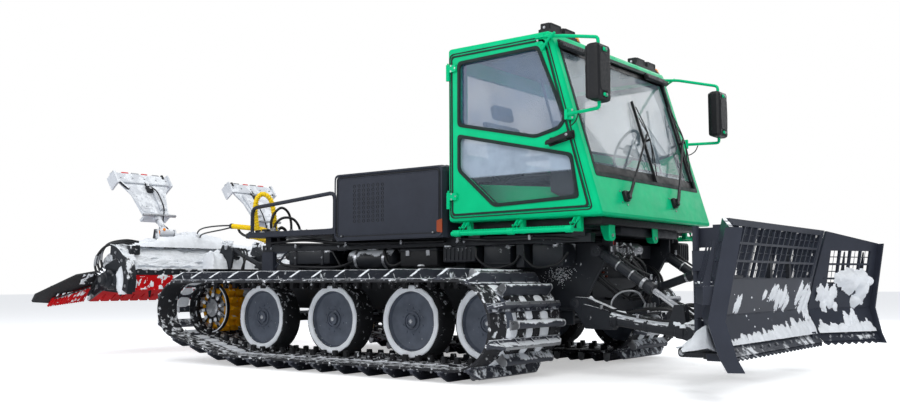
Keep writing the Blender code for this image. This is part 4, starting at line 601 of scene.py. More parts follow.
def grown(outline, distance):
    """An outline moved outwards by a distance, or inwards where it is negative."""
    area = sum(a[0] * b[1] - b[0] * a[1] for a, b in zip(outline, outline[1:] + outline[:1]))
    sign = -1 if area > 0 else 1
    moved = []
    for i, (x, z) in enumerate(outline):
        before, after = outline[i - 1], outline[(i + 1) % len(outline)]
        first = Vector((x - before[0], z - before[1])).normalized()
        second = Vector((after[0] - x, after[1] - z)).normalized()
        out = Vector((-first.y - second.y, first.x + second.x)).normalized() * sign
        reach = distance / max(0.3, out.dot(Vector((-first.y, first.x)) * sign))
        moved.append((x + out.x * reach, z + out.y * reach))
    return moved


def snow_field(maker, place, a_range, b_range, step, height):
    """Snow on a surface.

    place(a, b, out) is a point over it; height(a, b) is how thick it lies, none where 0 or less.
    """
    (a0, a1), (b0, b1) = a_range, b_range
    across, along = max(2, round(abs(a1 - a0) / step)), max(2, round(abs(b1 - b0) / step))
    lies = {(i, j): height(a0 + (a1 - a0) * i / across, b0 + (b1 - b0) * j / along)
            for i in range(across + 1) for j in range(along + 1)}
    bm = bmesh.new()
    made = {}

    def corner(i, j):
        if (i, j) not in made:
            out = lies[i, j] if lies[i, j] > 0 else -0.003
            made[i, j] = bm.verts.new(place(a0 + (a1 - a0) * i / across, b0 + (b1 - b0) * j / along, out))
        return made[i, j]

    for i in range(across):
        for j in range(along):
            square = ((i, j), (i + 1, j), (i + 1, j + 1), (i, j + 1))
            if any(lies[s] > 0 for s in square):
                bm.faces.new([corner(*s) for s in square])
    if bm.faces:
        maker.take(bm, PACKED_SNOW)
    else:
        bm.free()


def flat_at(z):
    """Places snow on a level face at a height."""
    return lambda a, b, out: Vector((a, b, z + out))


def rough_noise(a, b, seed, scale=14.0):
    """Uneven field about 0, within about 1."""
    return mathutils.noise.fractal(Vector((a * scale, b * scale, seed)), 0.9, 2.1, 4)


def streaks(spots, seed, lean=0.0, scale=14.0, ragged=0.55, thick=0.02):
    """Height of snow for spots given as (a, b, half a, half b): ragged ellipses, stretched along a lean."""
    def height(a, b):
        best = -1.0
        for a0, b0, half_a, half_b in spots:
            da = (a - a0 - lean * (b - b0)) / half_a
            db = (b - b0) / half_b
            best = max(best, 1.0 - sqrt(da * da + db * db))
        best += ragged * rough_noise(a - lean * b, b * 0.6, seed, scale)
        return thick * min(1.0, best * 1.6) if best > 0 and best < 9 else 0.0
    return height


def alone(build, name, body, flip=False):
    """A piece as build makes it, or its mirror image."""
    maker = Maker()
    build(maker)
    return maker.done(name, body, flip)


def both(build, name, body):
    """The right piece and its mirror image on the left."""
    pieces = []
    for side in SIDES:
        where = body if body in ("chassis", "push_frame", "rear_lift") else body + "_" + side
        pieces.append(alone(build, name + "_" + side, where, side == "left"))
    return pieces


def dress(node, *materials):
    """Gives a CAD node its material."""
    mesh = NODES[node].data
    mesh.materials.clear()
    for material in materials:
        mesh.materials.append(material)


def soften(node, width):
    """Rounds the edges of a CAD node for the eye only."""
    step = NODES[node].modifiers.new("soft_edges", "BEVEL")
    step.width = width
    step.segments = 2
    step.limit_method = "ANGLE"
    step.angle_limit = SOFT_ANGLE
    step.harden_normals = False

# ---------------------------------------------------------------- finishes of the plain solids

FINISHES = (
    (SLATE, 0.006, ("engine_cover", "deck")),
    (BLACK_STEEL, 0.004, ("upper_frame", "rear_frame")),
    (BLACK_STEEL, 0.004, ("pitch_barrel", "rear_barrel", "lift_barrel_right", "lift_barrel_left")),
    (BLACK_STEEL_SNOW, 0.004, ("main_frame", "push_frame", "blade_carrier")),
    (SLATE_SNOW, 0.004, ("blade", "blade_wing_right", "blade_wing_left")),
    (GREEN, 0.012, ("cab_shell",)),
    (GREEN, 0.004, ("door_right", "door_left")),
    (SHIELD_GLASS, 0.0, ("windshield",)),
    (GLASS, 0.0, ("rear_window", "upper_glass_right", "upper_glass_left")),
    (LOW_GLASS, 0.0, ("lower_glass_right", "lower_glass_left")),
    (WHITE_SNOWY, 0.006, ("tiller_housing",)),
    (BLACK_STEEL_SNOW, 0.003, ("tiller_rotor",)),
    (RED, 0.003, ("tiller_comb",)),
    (BLACK_PLASTIC, 0.005, ("tiller_wing_right", "tiller_wing_left", "dashboard",
                            "lamp_bar_right", "lamp_bar_left")),
    (WHITE_PLASTIC, 0.006, ("track_setter_right", "track_setter_left")),
    (ENGINE, 0.01, ("engine_block",)),
    (CHROME, 0.002, ("pitch_rod", "rear_rod", "lift_rod_right", "lift_rod_left")),
    (SEAT_CLOTH, 0.02, ("seat_right", "seat_left")),
    (RUBBER, 0.0, ("track_right", "track_left")),
    (RUBBER, 0.0, tuple("wheel_%d_%s" % (n, side) for n in (1, 2, 3, 4) for side in SIDES)),
    (YELLOW, 0.0, ("sprocket_right", "sprocket_left")),
)
for material, width, nodes in FINISHES:
    for node in nodes:
        dress(node, material)
        if width:
            soften(node, width)

# ---------------------------------------------------------------- running gear

TYRE_R = 0.335
WHEEL_Y = 1.14
TYRE_W = 0.23
WHEEL_X = (-1.136, -0.173, 0.765, 1.569)
HUB_Z = 0.4453
SPROCKET = (-1.903, 0.5243)
SPROCKET_R = 0.256
BELT_Y = 1.20
BELT_W = 1.02
BELT_T = 0.02
GROUSER_H = 0.09
GROUSERS = 32


def loop_arcs():
    """The belt's inner line as arcs (centre x, centre z, radius, first angle, last angle)."""
    wheels = [(WHEEL_X[-1], HUB_Z, TYRE_R), (*SPROCKET, SPROCKET_R), (WHEEL_X[0], HUB_Z, TYRE_R)]
    normals = []
    for (x0, z0, r0), (x1, z1, r1) in zip(wheels, wheels[1:] + wheels[:1]):
        lean = (r0 - r1) / hypot(x1 - x0, z1 - z0)
        normals.append(atan2(z1 - z0, x1 - x0) - atan2(sqrt(1 - lean * lean), lean))
    arcs = []
    for i, (x, z, r) in enumerate(wheels):
        first, last = normals[i - 1], normals[i]
        while last < first:
            last += 2 * pi
        arcs.append((x, z, r, first, last))
    return arcs


def loop_line():
    """Total length, and a function from a length along the belt to its point and outward direction."""
    arcs = loop_arcs()
    spans = []
    total = 0.0
    for i, (x, z, r, first, last) in enumerate(arcs):
        spans.append((total, (r + BELT_T) * (last - first), (x, z, r, first), None))
        total += spans[-1][1]
        x1, z1, r1, first1, _ = arcs[(i + 1) % len(arcs)]
        start = (x + r * cos(last), z + r * sin(last))
        end = (x1 + r1 * cos(first1), z1 + r1 * sin(first1))
        spans.append((total, hypot(end[0] - start[0], end[1] - start[1]), (start, end), last))
        total += spans[-1][1]

    def at(s):
        s %= total
        for begin, length, data, angle in spans:
            if s <= begin + length:
                break
        if angle is None:
            x, z, r, first = data
            angle = first + (s - begin) / (r + BELT_T)
            return x + r * cos(angle), z + r * sin(angle), angle
        t = (s - begin) / length
        (x0, z0), (x1, z1) = data
        return x0 + (x1 - x0) * t, z0 + (z1 - z0) * t, angle

    return total, at


LOOP, LOOP_AT = loop_line()


def local_frame(s, y):
    """A frame on the belt: x along it, y across the machine, z outwards."""
    x, z, angle = LOOP_AT(s)
    out = Vector((cos(angle), 0, sin(angle)))
    along = Vector((-sin(angle), 0, cos(angle)))
    return Matrix((
        (along.x, 0, out.x, x),
        (0, 1, 0, y),
        (along.z, 0, out.z, z),
        (0, 0, 0, 1)))


BELTS = ((0.0, 0.22), (0.385, 0.485), (0.60, 0.69),
         (0.84, 1.0))      # across, as shares of the track's width


def track(maker):
    """Rubber belts with edge beads and guide lugs, and two kinds of grouser in turn."""
    steps = 150
    edge = -BELT_Y - BELT_W / 2
    for a, b in BELTS:
        bm = bmesh.new()
        y0, y1 = edge + a * BELT_W, edge + b * BELT_W
        section = ((y0, 0.001), (y0, BELT_T - 0.002), (y0 + 0.006, BELT_T + 0.003),
                   (y0 + 0.014, BELT_T - 0.002),
                   (y1 - 0.014, BELT_T - 0.002), (y1 - 0.006, BELT_T + 0.003), (y1, BELT_T - 0.002),
                   (y1, 0.001))
        rings = []
        for i in range(steps):
            x, z, angle = LOOP_AT(LOOP * i / steps)
            rings.append([bm.verts.new((x + cos(angle) * h, y, z + sin(angle) * h)) for y, h in section])
        for i in range(steps):
            one, two = rings[i - 1], rings[i]
            for k in range(len(section)):
                bm.faces.new((one[k - 1], one[k], two[k], two[k - 1]))
        bmesh.ops.recalc_face_normals(bm, faces=bm.faces)
        maker.take(bm, BELT)
    for i in range(GROUSERS * 2):
        s = LOOP * (i / 2 + 0.5) / GROUSERS
        middle = local_frame(s, edge)
        tall = GROUSER_H + BELT_T
        if i % 2 == 0:
            maker.slab([[(0.0, BELT_T - 0.004), (0.004, BELT_T + 0.030), (0.12, tall),
                         (BELT_W - 0.10, tall),
                         (BELT_W - 0.004, BELT_T + 0.030), (BELT_W, BELT_T - 0.004)]], "x", -0.014, 0.014,
                         GROUSER,
                       0.003, middle)
            maker.box((-0.038, 0.0, BELT_T - 0.002), (0.038, BELT_W, BELT_T + 0.012), GROUSER, 0.003, 1,
                      middle)
            for y in (0.10, 0.34, 0.56, 0.78, 0.95):
                maker.slab([[(-0.034, BELT_T + 0.01), (0.034, BELT_T + 0.01), (0.012, tall - 0.03),
                             (-0.012, tall - 0.03)]],
                           "y", y * BELT_W - 0.004, y * BELT_W + 0.004, GROUSER, 0, middle)
            maker.box((-0.012, 0.124, tall - 0.004), (0.012, BELT_W - 0.104, tall + 0.002), STEEL, 0.001, 1,
                      middle)
        else:
            low, high = 0.265 * BELT_W, 0.93 * BELT_W
            crown = [pi - pi * k / 8 for k in range(9)]
            profile = [(0.027 * cos(a), tall - 0.034 + 0.027 * sin(a)) for a in crown]
            profile = [(-0.034, BELT_T)] + profile + [(0.034, BELT_T)]
            maker.slab([profile], "y", low, high, GROUSER, 0, middle)
            for y in (low - 0.006, high + 0.002):
                maker.slab([grown(profile, 0.005)], "y", y, y + 0.010, STEEL, 0.002, middle)
        for a, b in BELTS:
            for share in (0.25, 0.75):
                y = (a + (b - a) * share) * BELT_W
                maker.rod(middle @ Vector((0.026, y, BELT_T + 0.008)),
                          middle @ Vector((0.026, y, BELT_T + 0.022)), 0.010,
                          STEEL, 6)
        for y in (-BELT_Y + 0.235, -BELT_Y - 0.075):
            lug = local_frame(s, y)
            maker.slab([[(-0.028, 0.004), (0.028, 0.004), (0.018, -0.055), (-0.018, -0.055)]], "y", -0.022,
                       0.022, RUBBER,
                       0.004, lug)


def snow_pads(maker):
    """Ice left between the belts, one lump to each space between two grousers."""
    dice = random.Random(7)
    edge = -BELT_Y - BELT_W / 2
    for i in range(GROUSERS * 2):
        s = LOOP * (i / 2 + 0.75) / GROUSERS
        for (_, a1), (b0, _) in zip(BELTS, BELTS[1:]):
            if dice.random() < 0.18:
                continue
            length = LOOP / GROUSERS / 2 * dice.uniform(0.55, 0.80)
            wide = (b0 - a1) * BELT_W * dice.uniform(0.72, 0.96)
            lump(maker, local_frame(s + dice.uniform(-0.008, 0.008), edge + (a1 + b0) / 2 * BELT_W),
                 (length / 2, wide / 2), 0.006, BELT_T + dice.uniform(-0.006, 0.004), dice)


def lump(maker, matrix, half, low, high, dice, rough=0.004, sides=14):
    """A rounded, uneven pad of snow on a local frame."""
    bm = bmesh.new()
    rings = []
    for level, share in ((low, 0.96), ((low + high) / 2, 1.0), (high - (high - low) * 0.2, 0.93),
                         (high, 0.74)):
        circle = []
        for k in range(sides):
            angle = 2 * pi * k / sides
            c, s = cos(angle), sin(angle)
            power = (abs(c) ** 4 + abs(s) ** 4) ** -0.25
            wobble = 1 + dice.uniform(-0.05, 0.05)
            circle.append(bm.verts.new((half[0] * c * power * share * wobble,
                                        half[1] * s * power * share * wobble,
                                        level + dice.uniform(-rough, rough) * 0.5)))
        rings.append(circle)
    bridge(bm, rings)
    top = bm.verts.new((0, 0, high + dice.uniform(0, rough)))
    bottom = bm.verts.new((0, 0, low))
    for k in range(sides):
        bm.faces.new((rings[-1][k], rings[-1][(k + 1) % sides], top))
        bm.faces.new((rings[0][(k + 1) % sides], rings[0][k], bottom))
    bmesh.ops.recalc_face_normals(bm, faces=bm.faces)
    maker.take(bm, PACKED_SNOW, matrix)


for pieces in (both(track, "track_detail", "chassis"),
               both(snow_pads, "track_snow", "chassis")):
    for piece, word in zip(pieces, SIDES):
        if piece.name.startswith("track_detail"):
            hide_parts("track_" + word)


def wheel(maker, x):
    """A pressed steel disc in a broad tyre, snow packed on its sidewall, and a ringed hub."""
    centre = (x, -WHEEL_Y, HUB_Z)
    half = TYRE_W / 2
    tread = [(0.262, -half + 0.012), (0.290, -half + 0.001), (0.318, -half + 0.006), (0.330, -half + 0.022),
             (0.3348, -half + 0.045), (0.3348, half - 0.045), (0.330, half - 0.022), (0.318, half - 0.006),
             (0.290, half - 0.001), (0.262, half - 0.012), (0.250, half - 0.05), (0.250, -half + 0.05),
             (0.262, -half + 0.012)]
    maker.lathe(tread, centre, (0, 1, 0), RUBBER, 64)
    for k in range(36):
        angle = 2 * pi * k / 36
        spot = turned(centre, angle)
        for a, b in ((-half + 0.03, -0.012), (0.012, half - 0.03)):
            maker.box((-0.012, a, 0.3290), (0.012, b, 0.3347), RUBBER, 0.001, 1, spot)
    disc = [(0.2555, -half + 0.020), (0.2500, -half + 0.016), (0.2460, -half + 0.022),
            (0.2380, -half + 0.040),
            (0.2100, -half + 0.046), (0.1500, -half + 0.044), (0.1000, -half + 0.036),
            (0.0860, -half + 0.030),
            (0.0860, -half + 0.020), (0.0740, -half + 0.016), (0.0700, -half + 0.026),
            (0.0560, -half + 0.026),
            (0.0540, -half + 0.006), (0.0400, -half + 0.002), (0.0380, -half + 0.010), (0.0, -half + 0.010)]
    maker.lathe(disc, centre, (0, 1, 0), DISC, 64)
    back = [(0.0, half - 0.07), (0.16, half - 0.07), (0.20, half - 0.05), (0.252, half - 0.03)]
    maker.lathe(back, centre, (0, 1, 0), DISC, 48)
    maker.lathe([(0.0, -half + 0.004), (0.016, -half + 0.006), (0.020, -half + 0.012)], centre, (0, 1, 0),
                STEEL, 24)
    for k in range(10):
        angle = 2 * pi * (k + 0.5) / 10
        at = Vector(centre) + Vector((0.113 * cos(angle), -half + 0.037, 0.113 * sin(angle)))
        maker.bolt(at + Vector((0, 0.002, 0)), (0, -1, 0), 0.0085, DISC)
    snow_ring(maker, centre, half)


def snow_ring(maker, centre, half):
    """Snow pressed onto the tyre's sidewall."""
    dice = random.Random(int(centre[0] * 1000))
    sides = 72
    bm = bmesh.new()
    wave = [dice.uniform(-1, 1) for _ in range(sides)]
    wave = [(wave[i - 1] + 2 * wave[i] + wave[(i + 1) % sides]) / 4 for i in range(sides)]
    rings = []
    for radius, out, part in ((0.256, 0.012, 0.3), (0.262, 0.0015, 0.6), (0.284, -0.0045, 0.1),
                              (0.304, -0.002, 0.6), (0.313, 0.010, 1.0)):
        circle = []
        for k in range(sides):
            angle = 2 * pi * k / sides
            r = radius + wave[k] * 0.007 * part
            circle.append(bm.verts.new((centre[0] + r * cos(angle), centre[1] - half + out,
                                        centre[2] + r * sin(angle))))
        rings.append(circle)
    bridge(bm, rings + rings[:1])
    bmesh.ops.recalc_face_normals(bm, faces=bm.faces)
    maker.take(bm, PACKED_SNOW)


for number, wheel_x in enumerate(WHEEL_X, 1):
    for piece, word in zip(both(lambda m: wheel(m, wheel_x), "wheel_detail_%d" % number, "chassis"),
                           SIDES):
        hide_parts("wheel_%d_%s" % (number, word))


def sprocket(maker):
    """Yellow toothed drum inboard, black rim with spokes outboard, and the hub between."""
    x, z = SPROCKET
    outside = -WHEEL_Y - TYRE_W / 2
    inner = -WHEEL_Y + TYRE_W / 2
    teeth = 15
    outline = []
    for i in range(teeth):
        for share, radius in ((-0.40, 0.196), (-0.26, 0.206), (-0.10, 0.246), (0.10, 0.246), (0.26, 0.206),
                              (0.40, 0.196)):
            angle = (i + share) * 2 * pi / teeth
            outline.append((x + radius * cos(angle), z + radius * sin(angle)))
    for a, b in ((inner - 0.02, inner + 0.058), (inner - 0.135, inner - 0.06)):
        maker.slab([outline, hole(ring((x, z), 0.150, 36))], "y", a, b, YELLOW)
    maker.lathe([(0.150, -0.03), (0.192, -0.03), (0.192, 0.21), (0.150, 0.21)], (x, inner - 0.15, z),
                (0, 1, 0), YELLOW, 48)
    rim = [(0.226, 0.0), (0.232, -0.006), (0.248, -0.006), (0.2545, 0.0), (0.2545, 0.030), (0.248, 0.034),
           (0.226, 0.034), (0.226, 0.0)]
    maker.lathe(rim, (x, outside + 0.006, z), (0, 1, 0), BLACK_PLASTIC, 64)
    edge = [(0.238, -0.0075), (0.244, -0.0095), (0.250, -0.0075), (0.250, -0.0045), (0.238, -0.0045),
            (0.238, -0.0075)]
    maker.lathe(edge, (x, outside + 0.006, z), (0, 1, 0), PACKED_SNOW, 64)
    for k in range(10):
        angle = 2 * pi * (k + 0.3) / 10
        spoke = turned((x, 0, z), -angle)
        maker.slab([[(0.085, -0.020), (0.230, -0.013), (0.230, 0.013), (0.085, 0.020)]], "y",
                   outside + 0.012, outside + 0.030,
                   BLACK_STEEL_SNOW, 0.002, spoke)
        at = spoke @ Vector((0.175, outside + 0.011, 0))
        maker.bolt(at, (0, -1, 0), 0.015, STEEL, 0.9)
        foot = spoke @ Matrix.Translation((0.135, outside + 0.012, 0.0))
        upright = foot @ Matrix.Rotation(radians(90), 4, "X")
        lump(maker, upright, (0.022, 0.017), -0.004, 0.012, random.Random(k), sides=9)
    maker.lathe([(0.0, -0.002), (0.070, -0.002), (0.088, 0.004), (0.094, 0.014), (0.094, 0.045),
                 (0.15, 0.055), (0.15, 0.20)],
                (x, outside + 0.004, z), (0, 1, 0), STEEL, 48)
    for k in range(8):
        angle = 2 * pi * k / 8
        maker.bolt((x + 0.055 * cos(angle), outside + 0.003, z + 0.055 * sin(angle)), (0, -1, 0), 0.008,
                   STEEL)


for piece, word in zip(both(sprocket, "sprocket_detail", "chassis"), SIDES):
    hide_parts("sprocket_" + word)
# ---------------------------------------------------------------- cab

CAB_Y = 1.074
HINGE_Z = (1.476, 2.592)
MIRROR_AT = (2.585, -1.185, 2.37)
SKIN = -CAB_Y - 0.008
DOOR = [(1.090, 1.345), (2.432, 1.357), (2.044, 2.745), (1.086, 2.737)]
UPPER_WINDOW = [(1.179, 2.661), (1.176, 2.129), (1.946, 1.958), (2.171, 2.009), (2.219, 2.076),
                (1.975, 2.679)]
LOWER_WINDOW = [(1.176, 2.025), (1.174, 1.739), (1.536, 1.419), (2.322, 1.449), (2.269, 1.776)]
CAB_FOOT = 2.534
CAB_LOW = 1.292
RAKE = atan2(0.454, 1.52)
RAKED = turned((CAB_FOOT, 0, CAB_LOW), -RAKE)


def band(maker, outline, outwards, inwards, low, high, material, radius=0.04, axis="y", matrix=None):
    """A flat strip that follows an outline."""
    outer = rounded(grown(outline, outwards), radius, 5)
    inner = rounded(grown(outline, -inwards), radius, 5)
    maker.slab([outer, hole(inner)], axis, low, high, material, matrix=matrix)


def spot_bolt(maker, x, z, y, size):
    maker.bolt((x, y, z), (0, -1, 0), size, STEEL)


def door_trim(maker):
    """Rubber round the windows and the door's edge, the handle with its lock, and hinge leaves."""
    for outline in (UPPER_WINDOW, LOWER_WINDOW):
        band(maker, outline, 0.019, 0.010, SKIN - 0.007, SKIN + 0.004, SEAL)
        band(maker, outline, 0.010, 0.004, SKIN - 0.010, SKIN - 0.006, SEAL, 0.035)
        band(maker, outline, 0.014, 0.012, SKIN + 0.043, SKIN + 0.052, SEAL)
    band(maker, DOOR, -0.002, 0.017, SKIN - 0.004, SKIN + 0.002, SEAL, 0.03)
    band(maker, DOOR, -0.030, 0.070, SKIN + 0.0452, SKIN + 0.052, BLACK_PLASTIC, 0.03)
    tilt = turned((2.19, SKIN, 1.912), -radians(13))
    maker.slab([rounded([(-0.125, -0.030), (0.120, -0.034), (0.128, 0.036), (-0.125, 0.026)], 0.02)], "y",
               -0.008, 0.001,
               BLACK_PLASTIC, 0.003, tilt)
    maker.slab([rounded([(-0.132, -0.018), (0.098, -0.024), (0.118, 0.026), (-0.120, 0.015)], 0.014)], "y",
               -0.062, -0.040,
               BLACK_PLASTIC, 0.005, tilt)
    maker.box((-0.118, -0.042, -0.014), (-0.088, -0.006, 0.012), BLACK_PLASTIC, 0.004, 1, tilt)
    maker.box((0.060, -0.042, -0.022), (0.112, -0.006, 0.024), BLACK_PLASTIC, 0.005, 1, tilt)
    maker.rod(tilt @ Vector((0.080, -0.060, 0.002)), tilt @ Vector((0.080, -0.066, 0.002)), 0.011, STEEL,
              20, bevel=0.001)
    maker.box((0.0785, -0.0668, -0.006), (0.0815, -0.0655, 0.010), BLACK_PLASTIC, 0, 1, tilt)
    for z in HINGE_Z:
        maker.slab([rounded([(1.075, z - 0.004), (1.158, z + 0.020), (1.158, z + 0.050),
                             (1.075, z + 0.074)], 0.012)], "y",
                   SKIN - 0.016, SKIN - 0.006, GREEN, 0.003)
        for x, dz in ((1.098, 0.012), (1.098, 0.058), (1.140, 0.035)):
            spot_bolt(maker, x, z + dz, SKIN - 0.015, 0.008)
        for dz in (0.001, 0.024, 0.047):
            maker.rod((1.062, SKIN - 0.0093, z + dz), (1.062, SKIN - 0.0093, z + dz + 0.021), 0.0172, GREEN,
                      20, bevel=0.002)


both(door_trim, "door_trim", "door")


def door_gasket(maker):
    """The second rubber line, on the frame round the door."""
    band(maker, DOOR, 0.022, -0.013, -CAB_Y - 0.0035, -CAB_Y + 0.004, SEAL, 0.05)
    for z in HINGE_Z:
        maker.slab([rounded([(1.0445, z - 0.020), (1.058, z - 0.020), (1.058, z + 0.090),
                             (1.0445, z + 0.090)], 0.01)], "y",
                   -CAB_Y - 0.012, -CAB_Y - 0.0005, GREEN, 0.002)


both(door_gasket, "door_gasket", "chassis")


def paint_by_place(node, material, other, inside):
    """Two finishes on one CAD node, chosen by where each face lies."""
    mesh = NODES[node].data
    mesh.materials.clear()
    mesh.materials.append(material)
    mesh.materials.append(other)
    world = NODES[node].matrix_world
    for polygon in mesh.polygons:
        polygon.material_index = 1 if inside(world @ polygon.center) else 0


def is_housing(p):
    x, y, z = MIRROR_AT
    return abs(p.x - x) < 0.056 and abs(abs(p.y) + y) < 0.111 and abs(p.z - z) < 0.221


def is_handle(p):
    return 2.099 < p.x < 2.261 and 1.892 < p.z < 1.926 and abs(p.y) > CAB_Y + 0.009


for side in SIDES:
    paint_by_place("mirror_" + side, GREEN, BLACK_PLASTIC, is_housing)
    paint_by_place("door_" + side, GREEN, BLACK_PLASTIC, is_handle)


def mirror_trim(maker):
    """The glass in a shallow rim facing back, ribs on the back of the housing, and bolted arm brackets."""
    x, y, z = MIRROR_AT
    rear = Matrix.Translation((x - 0.055, y, z))
    maker.slab([rounded_box(0.102, 0.205, 0.03, 5), hole(rounded_box(0.088, 0.190, 0.026, 5))], "x", -0.004,
               0.006,
               BLACK_PLASTIC, matrix=rear)
    for low, high in ((-0.191, 0.060), (0.066, 0.191)):
        maker.slab([rounded([(-0.089, low), (0.089, low), (0.089, high), (-0.089, high)], 0.02, 5)], "x",
                   -0.001, 0.003,
                   MIRROR_FACE, matrix=rear)
    maker.slab([rounded([(-0.075, -0.15), (0.075, -0.15), (0.082, 0), (0.075, 0.15), (-0.075, 0.15),
                         (-0.082, 0)], 0.03, 5)],
               "x", 0.050, 0.060, BLACK_PLASTIC, 0.006, Matrix.Translation((x, y, z)))
    for dz in (-0.175, 0.175):
        maker.box((x - 0.006, y - 0.030, z + dz - 0.014), (x + 0.066, y + 0.030, z + dz + 0.014), GREEN,
                  0.006)
        maker.rod((x + 0.056, y, z + dz), (x + 0.072, y, z + dz), 0.011, STEEL, 8)
    for share in (0.30, 0.70):
        maker.rod((x + 0.058, y - 0.055 + share * 0.11, z - 0.20),
                  (x + 0.058, y - 0.055 + share * 0.11, z - 0.15), 0.005,
                  BLACK_PLASTIC, 8)


both(mirror_trim, "mirror_trim", "chassis")


def arm_brackets(maker):
    """Pierced gusset at the foot of the upper mirror arm and a hinge block at the lower."""
    high = (2.005, -CAB_Y, 2.767)
    maker.slab([rounded([(high[0] - 0.050, high[2] - 0.100), (high[0] + 0.055, high[2] - 0.145),
                         (high[0] + 0.075, high[2] + 0.012),
                         (high[0] - 0.045, high[2] + 0.022)], 0.012, 4),
                         hole(ring((high[0] + 0.015, high[2] - 0.085), 0.016, 16)),
                hole(ring((high[0] - 0.020, high[2] - 0.060), 0.011, 14))], "y", -CAB_Y - 0.012,
                -CAB_Y - 0.002, GREEN)
    maker.pipe([(high[0] + 0.02, -CAB_Y - 0.022, high[2] - 0.115),
                (high[0] + 0.09, -CAB_Y - 0.045, high[2] - 0.050),
                (high[0] + 0.165, -CAB_Y - 0.062, high[2] - 0.002)], 0.011, GREEN, 8, 4)
    for dz in (-0.03, 0.004):
        spot_bolt(maker, high[0] - 0.028, high[2] + dz, -CAB_Y - 0.012, 0.008)
    low_z = 2.10
    low_x = 2.285
    maker.box((low_x - 0.030, -CAB_Y - 0.020, low_z - 0.045),
              (low_x + 0.030, -CAB_Y - 0.001, low_z + 0.045), GREEN, 0.005)
    for dz in (-0.03, 0.03):
        spot_bolt(maker, low_x + 0.012, low_z + dz, -CAB_Y - 0.019, 0.007)
    maker.pipe([(low_x - 0.01, -CAB_Y - 0.010, low_z - 0.05), (low_x + 0.01, -CAB_Y - 0.05, low_z - 0.10),
                (low_x + 0.07, -CAB_Y - 0.07, low_z - 0.07), (low_x + 0.10, -CAB_Y - 0.08, low_z - 0.012)],
                0.005, HOSE, 7, 6)


both(arm_brackets, "mirror_brackets", "chassis")


def shield_band(maker):
    """The dark printed border, seal and lower trim of the windshield, in the raked frame."""
    wide, low, high = 0.975, 0.345, 1.515
    outline = [(-wide, low), (wide, low), (wide, high), (-wide, high)]
    band(maker, outline, 0.012, 0.022, -0.012, 0.004, SEAL, 0.03, "x", RAKED)
    band(maker, outline, 0.0, 0.040, -0.0215, -0.0185, DARK_PRINT_AND_SHADE, 0.03, "x", RAKED)
    maker.box((-0.0216, -wide + 0.01, low + 0.02), (-0.0185, wide - 0.01, low + 0.105), DARK_PRINT_AND_SHADE, 0, 1,
              RAKED)
    maker.box((-0.0216, -wide + 0.01, high - 0.075), (-0.0185, wide - 0.01, high - 0.02), DARK_PRINT_AND_SHADE, 0, 1,
              RAKED)


def wiper(maker, y, side_reach, span, lean):
    """A motor shaft cover, two parallel arms and a long blade in a hinged frame."""
    def at(across, height, out):
        return RAKED @ Vector((out, across, height))

    maker.box((-0.002, y - 0.030, 0.135), (0.036, y + 0.035, 0.225), BLACK_PLASTIC, 0.008, 1, RAKED)
    maker.rod(at(y, 0.165, 0.0), at(y, 0.165, 0.060), 0.021, BLACK_PLASTIC, 16, bevel=0.004)
    maker.rod(at(y + 0.045, 0.205, 0.0), at(y + 0.045, 0.205, 0.048), 0.016, BLACK_PLASTIC, 16, bevel=0.004)
    for dy, dh in ((-0.06, 0.13), (0.02, 0.11), (0.08, 0.155), (0.09, 0.235), (-0.055, 0.225)):
        maker.rod(at(y + dy, dh, -0.001), at(y + dy, dh, 0.006), 0.007, STEEL, 6)
    tip = (y + side_reach, lean)
    for dy, dh, thick in ((0.0, 0.165, 0.009), (0.045, 0.205, 0.007)):
        start = Vector((0.048, y + dy, dh))
        end = Vector((0.050, tip[0] + dy * 0.6, tip[1] + (0.02 if dy else 0.0)))
        first = start.lerp(end, 0.22)
        for one, two, wide in ((start, first, 0.015), (first, end, thick)):
            way = two - one
            turn = turned(one, -atan2(way.y, way.z), "X")
            maker.box((-0.006, -wide, -0.01), (0.007, wide, way.length + 0.01), BLACK_PLASTIC, 0.003, 1,
                      RAKED @ turn)
    low, high = span
    across = tip[0] + 0.025
    for reach in (0.30, 0.16):
        for sign in (-1, 1):
            middle = (low + high) / 2
            maker.pipe([at(across, middle + sign * 0.01, 0.052),
                        at(across, middle + sign * (high - low) * reach * 0.55, 0.046),
                        at(across, middle + sign * (high - low) * (reach + 0.12), 0.014)], 0.0055,
                        BLACK_PLASTIC, 6, 4)
    maker.box((-0.020, across - 0.008, low), (0.004, across + 0.008, high), BLACK_PLASTIC, 0.003, 1, RAKED)
    maker.box((-0.0215, across - 0.0025, low + 0.004), (-0.018, across + 0.0025, high - 0.004), RUBBER, 0,
              1, RAKED)
    maker.rod(at(across, (low + high) / 2, 0.0), at(across, (low + high) / 2, 0.058), 0.011, BLACK_PLASTIC,
              12)


alone(shield_band, "windshield_border", "chassis")
for word, sizes in (("right", (-0.60, 0.71, (0.36, 1.15), 0.80)),
                    ("left", (0.33, 0.57, (0.44, 1.21), 0.84))):
    alone(lambda maker: wiper(maker, *sizes), "wiper_" + word, "chassis")


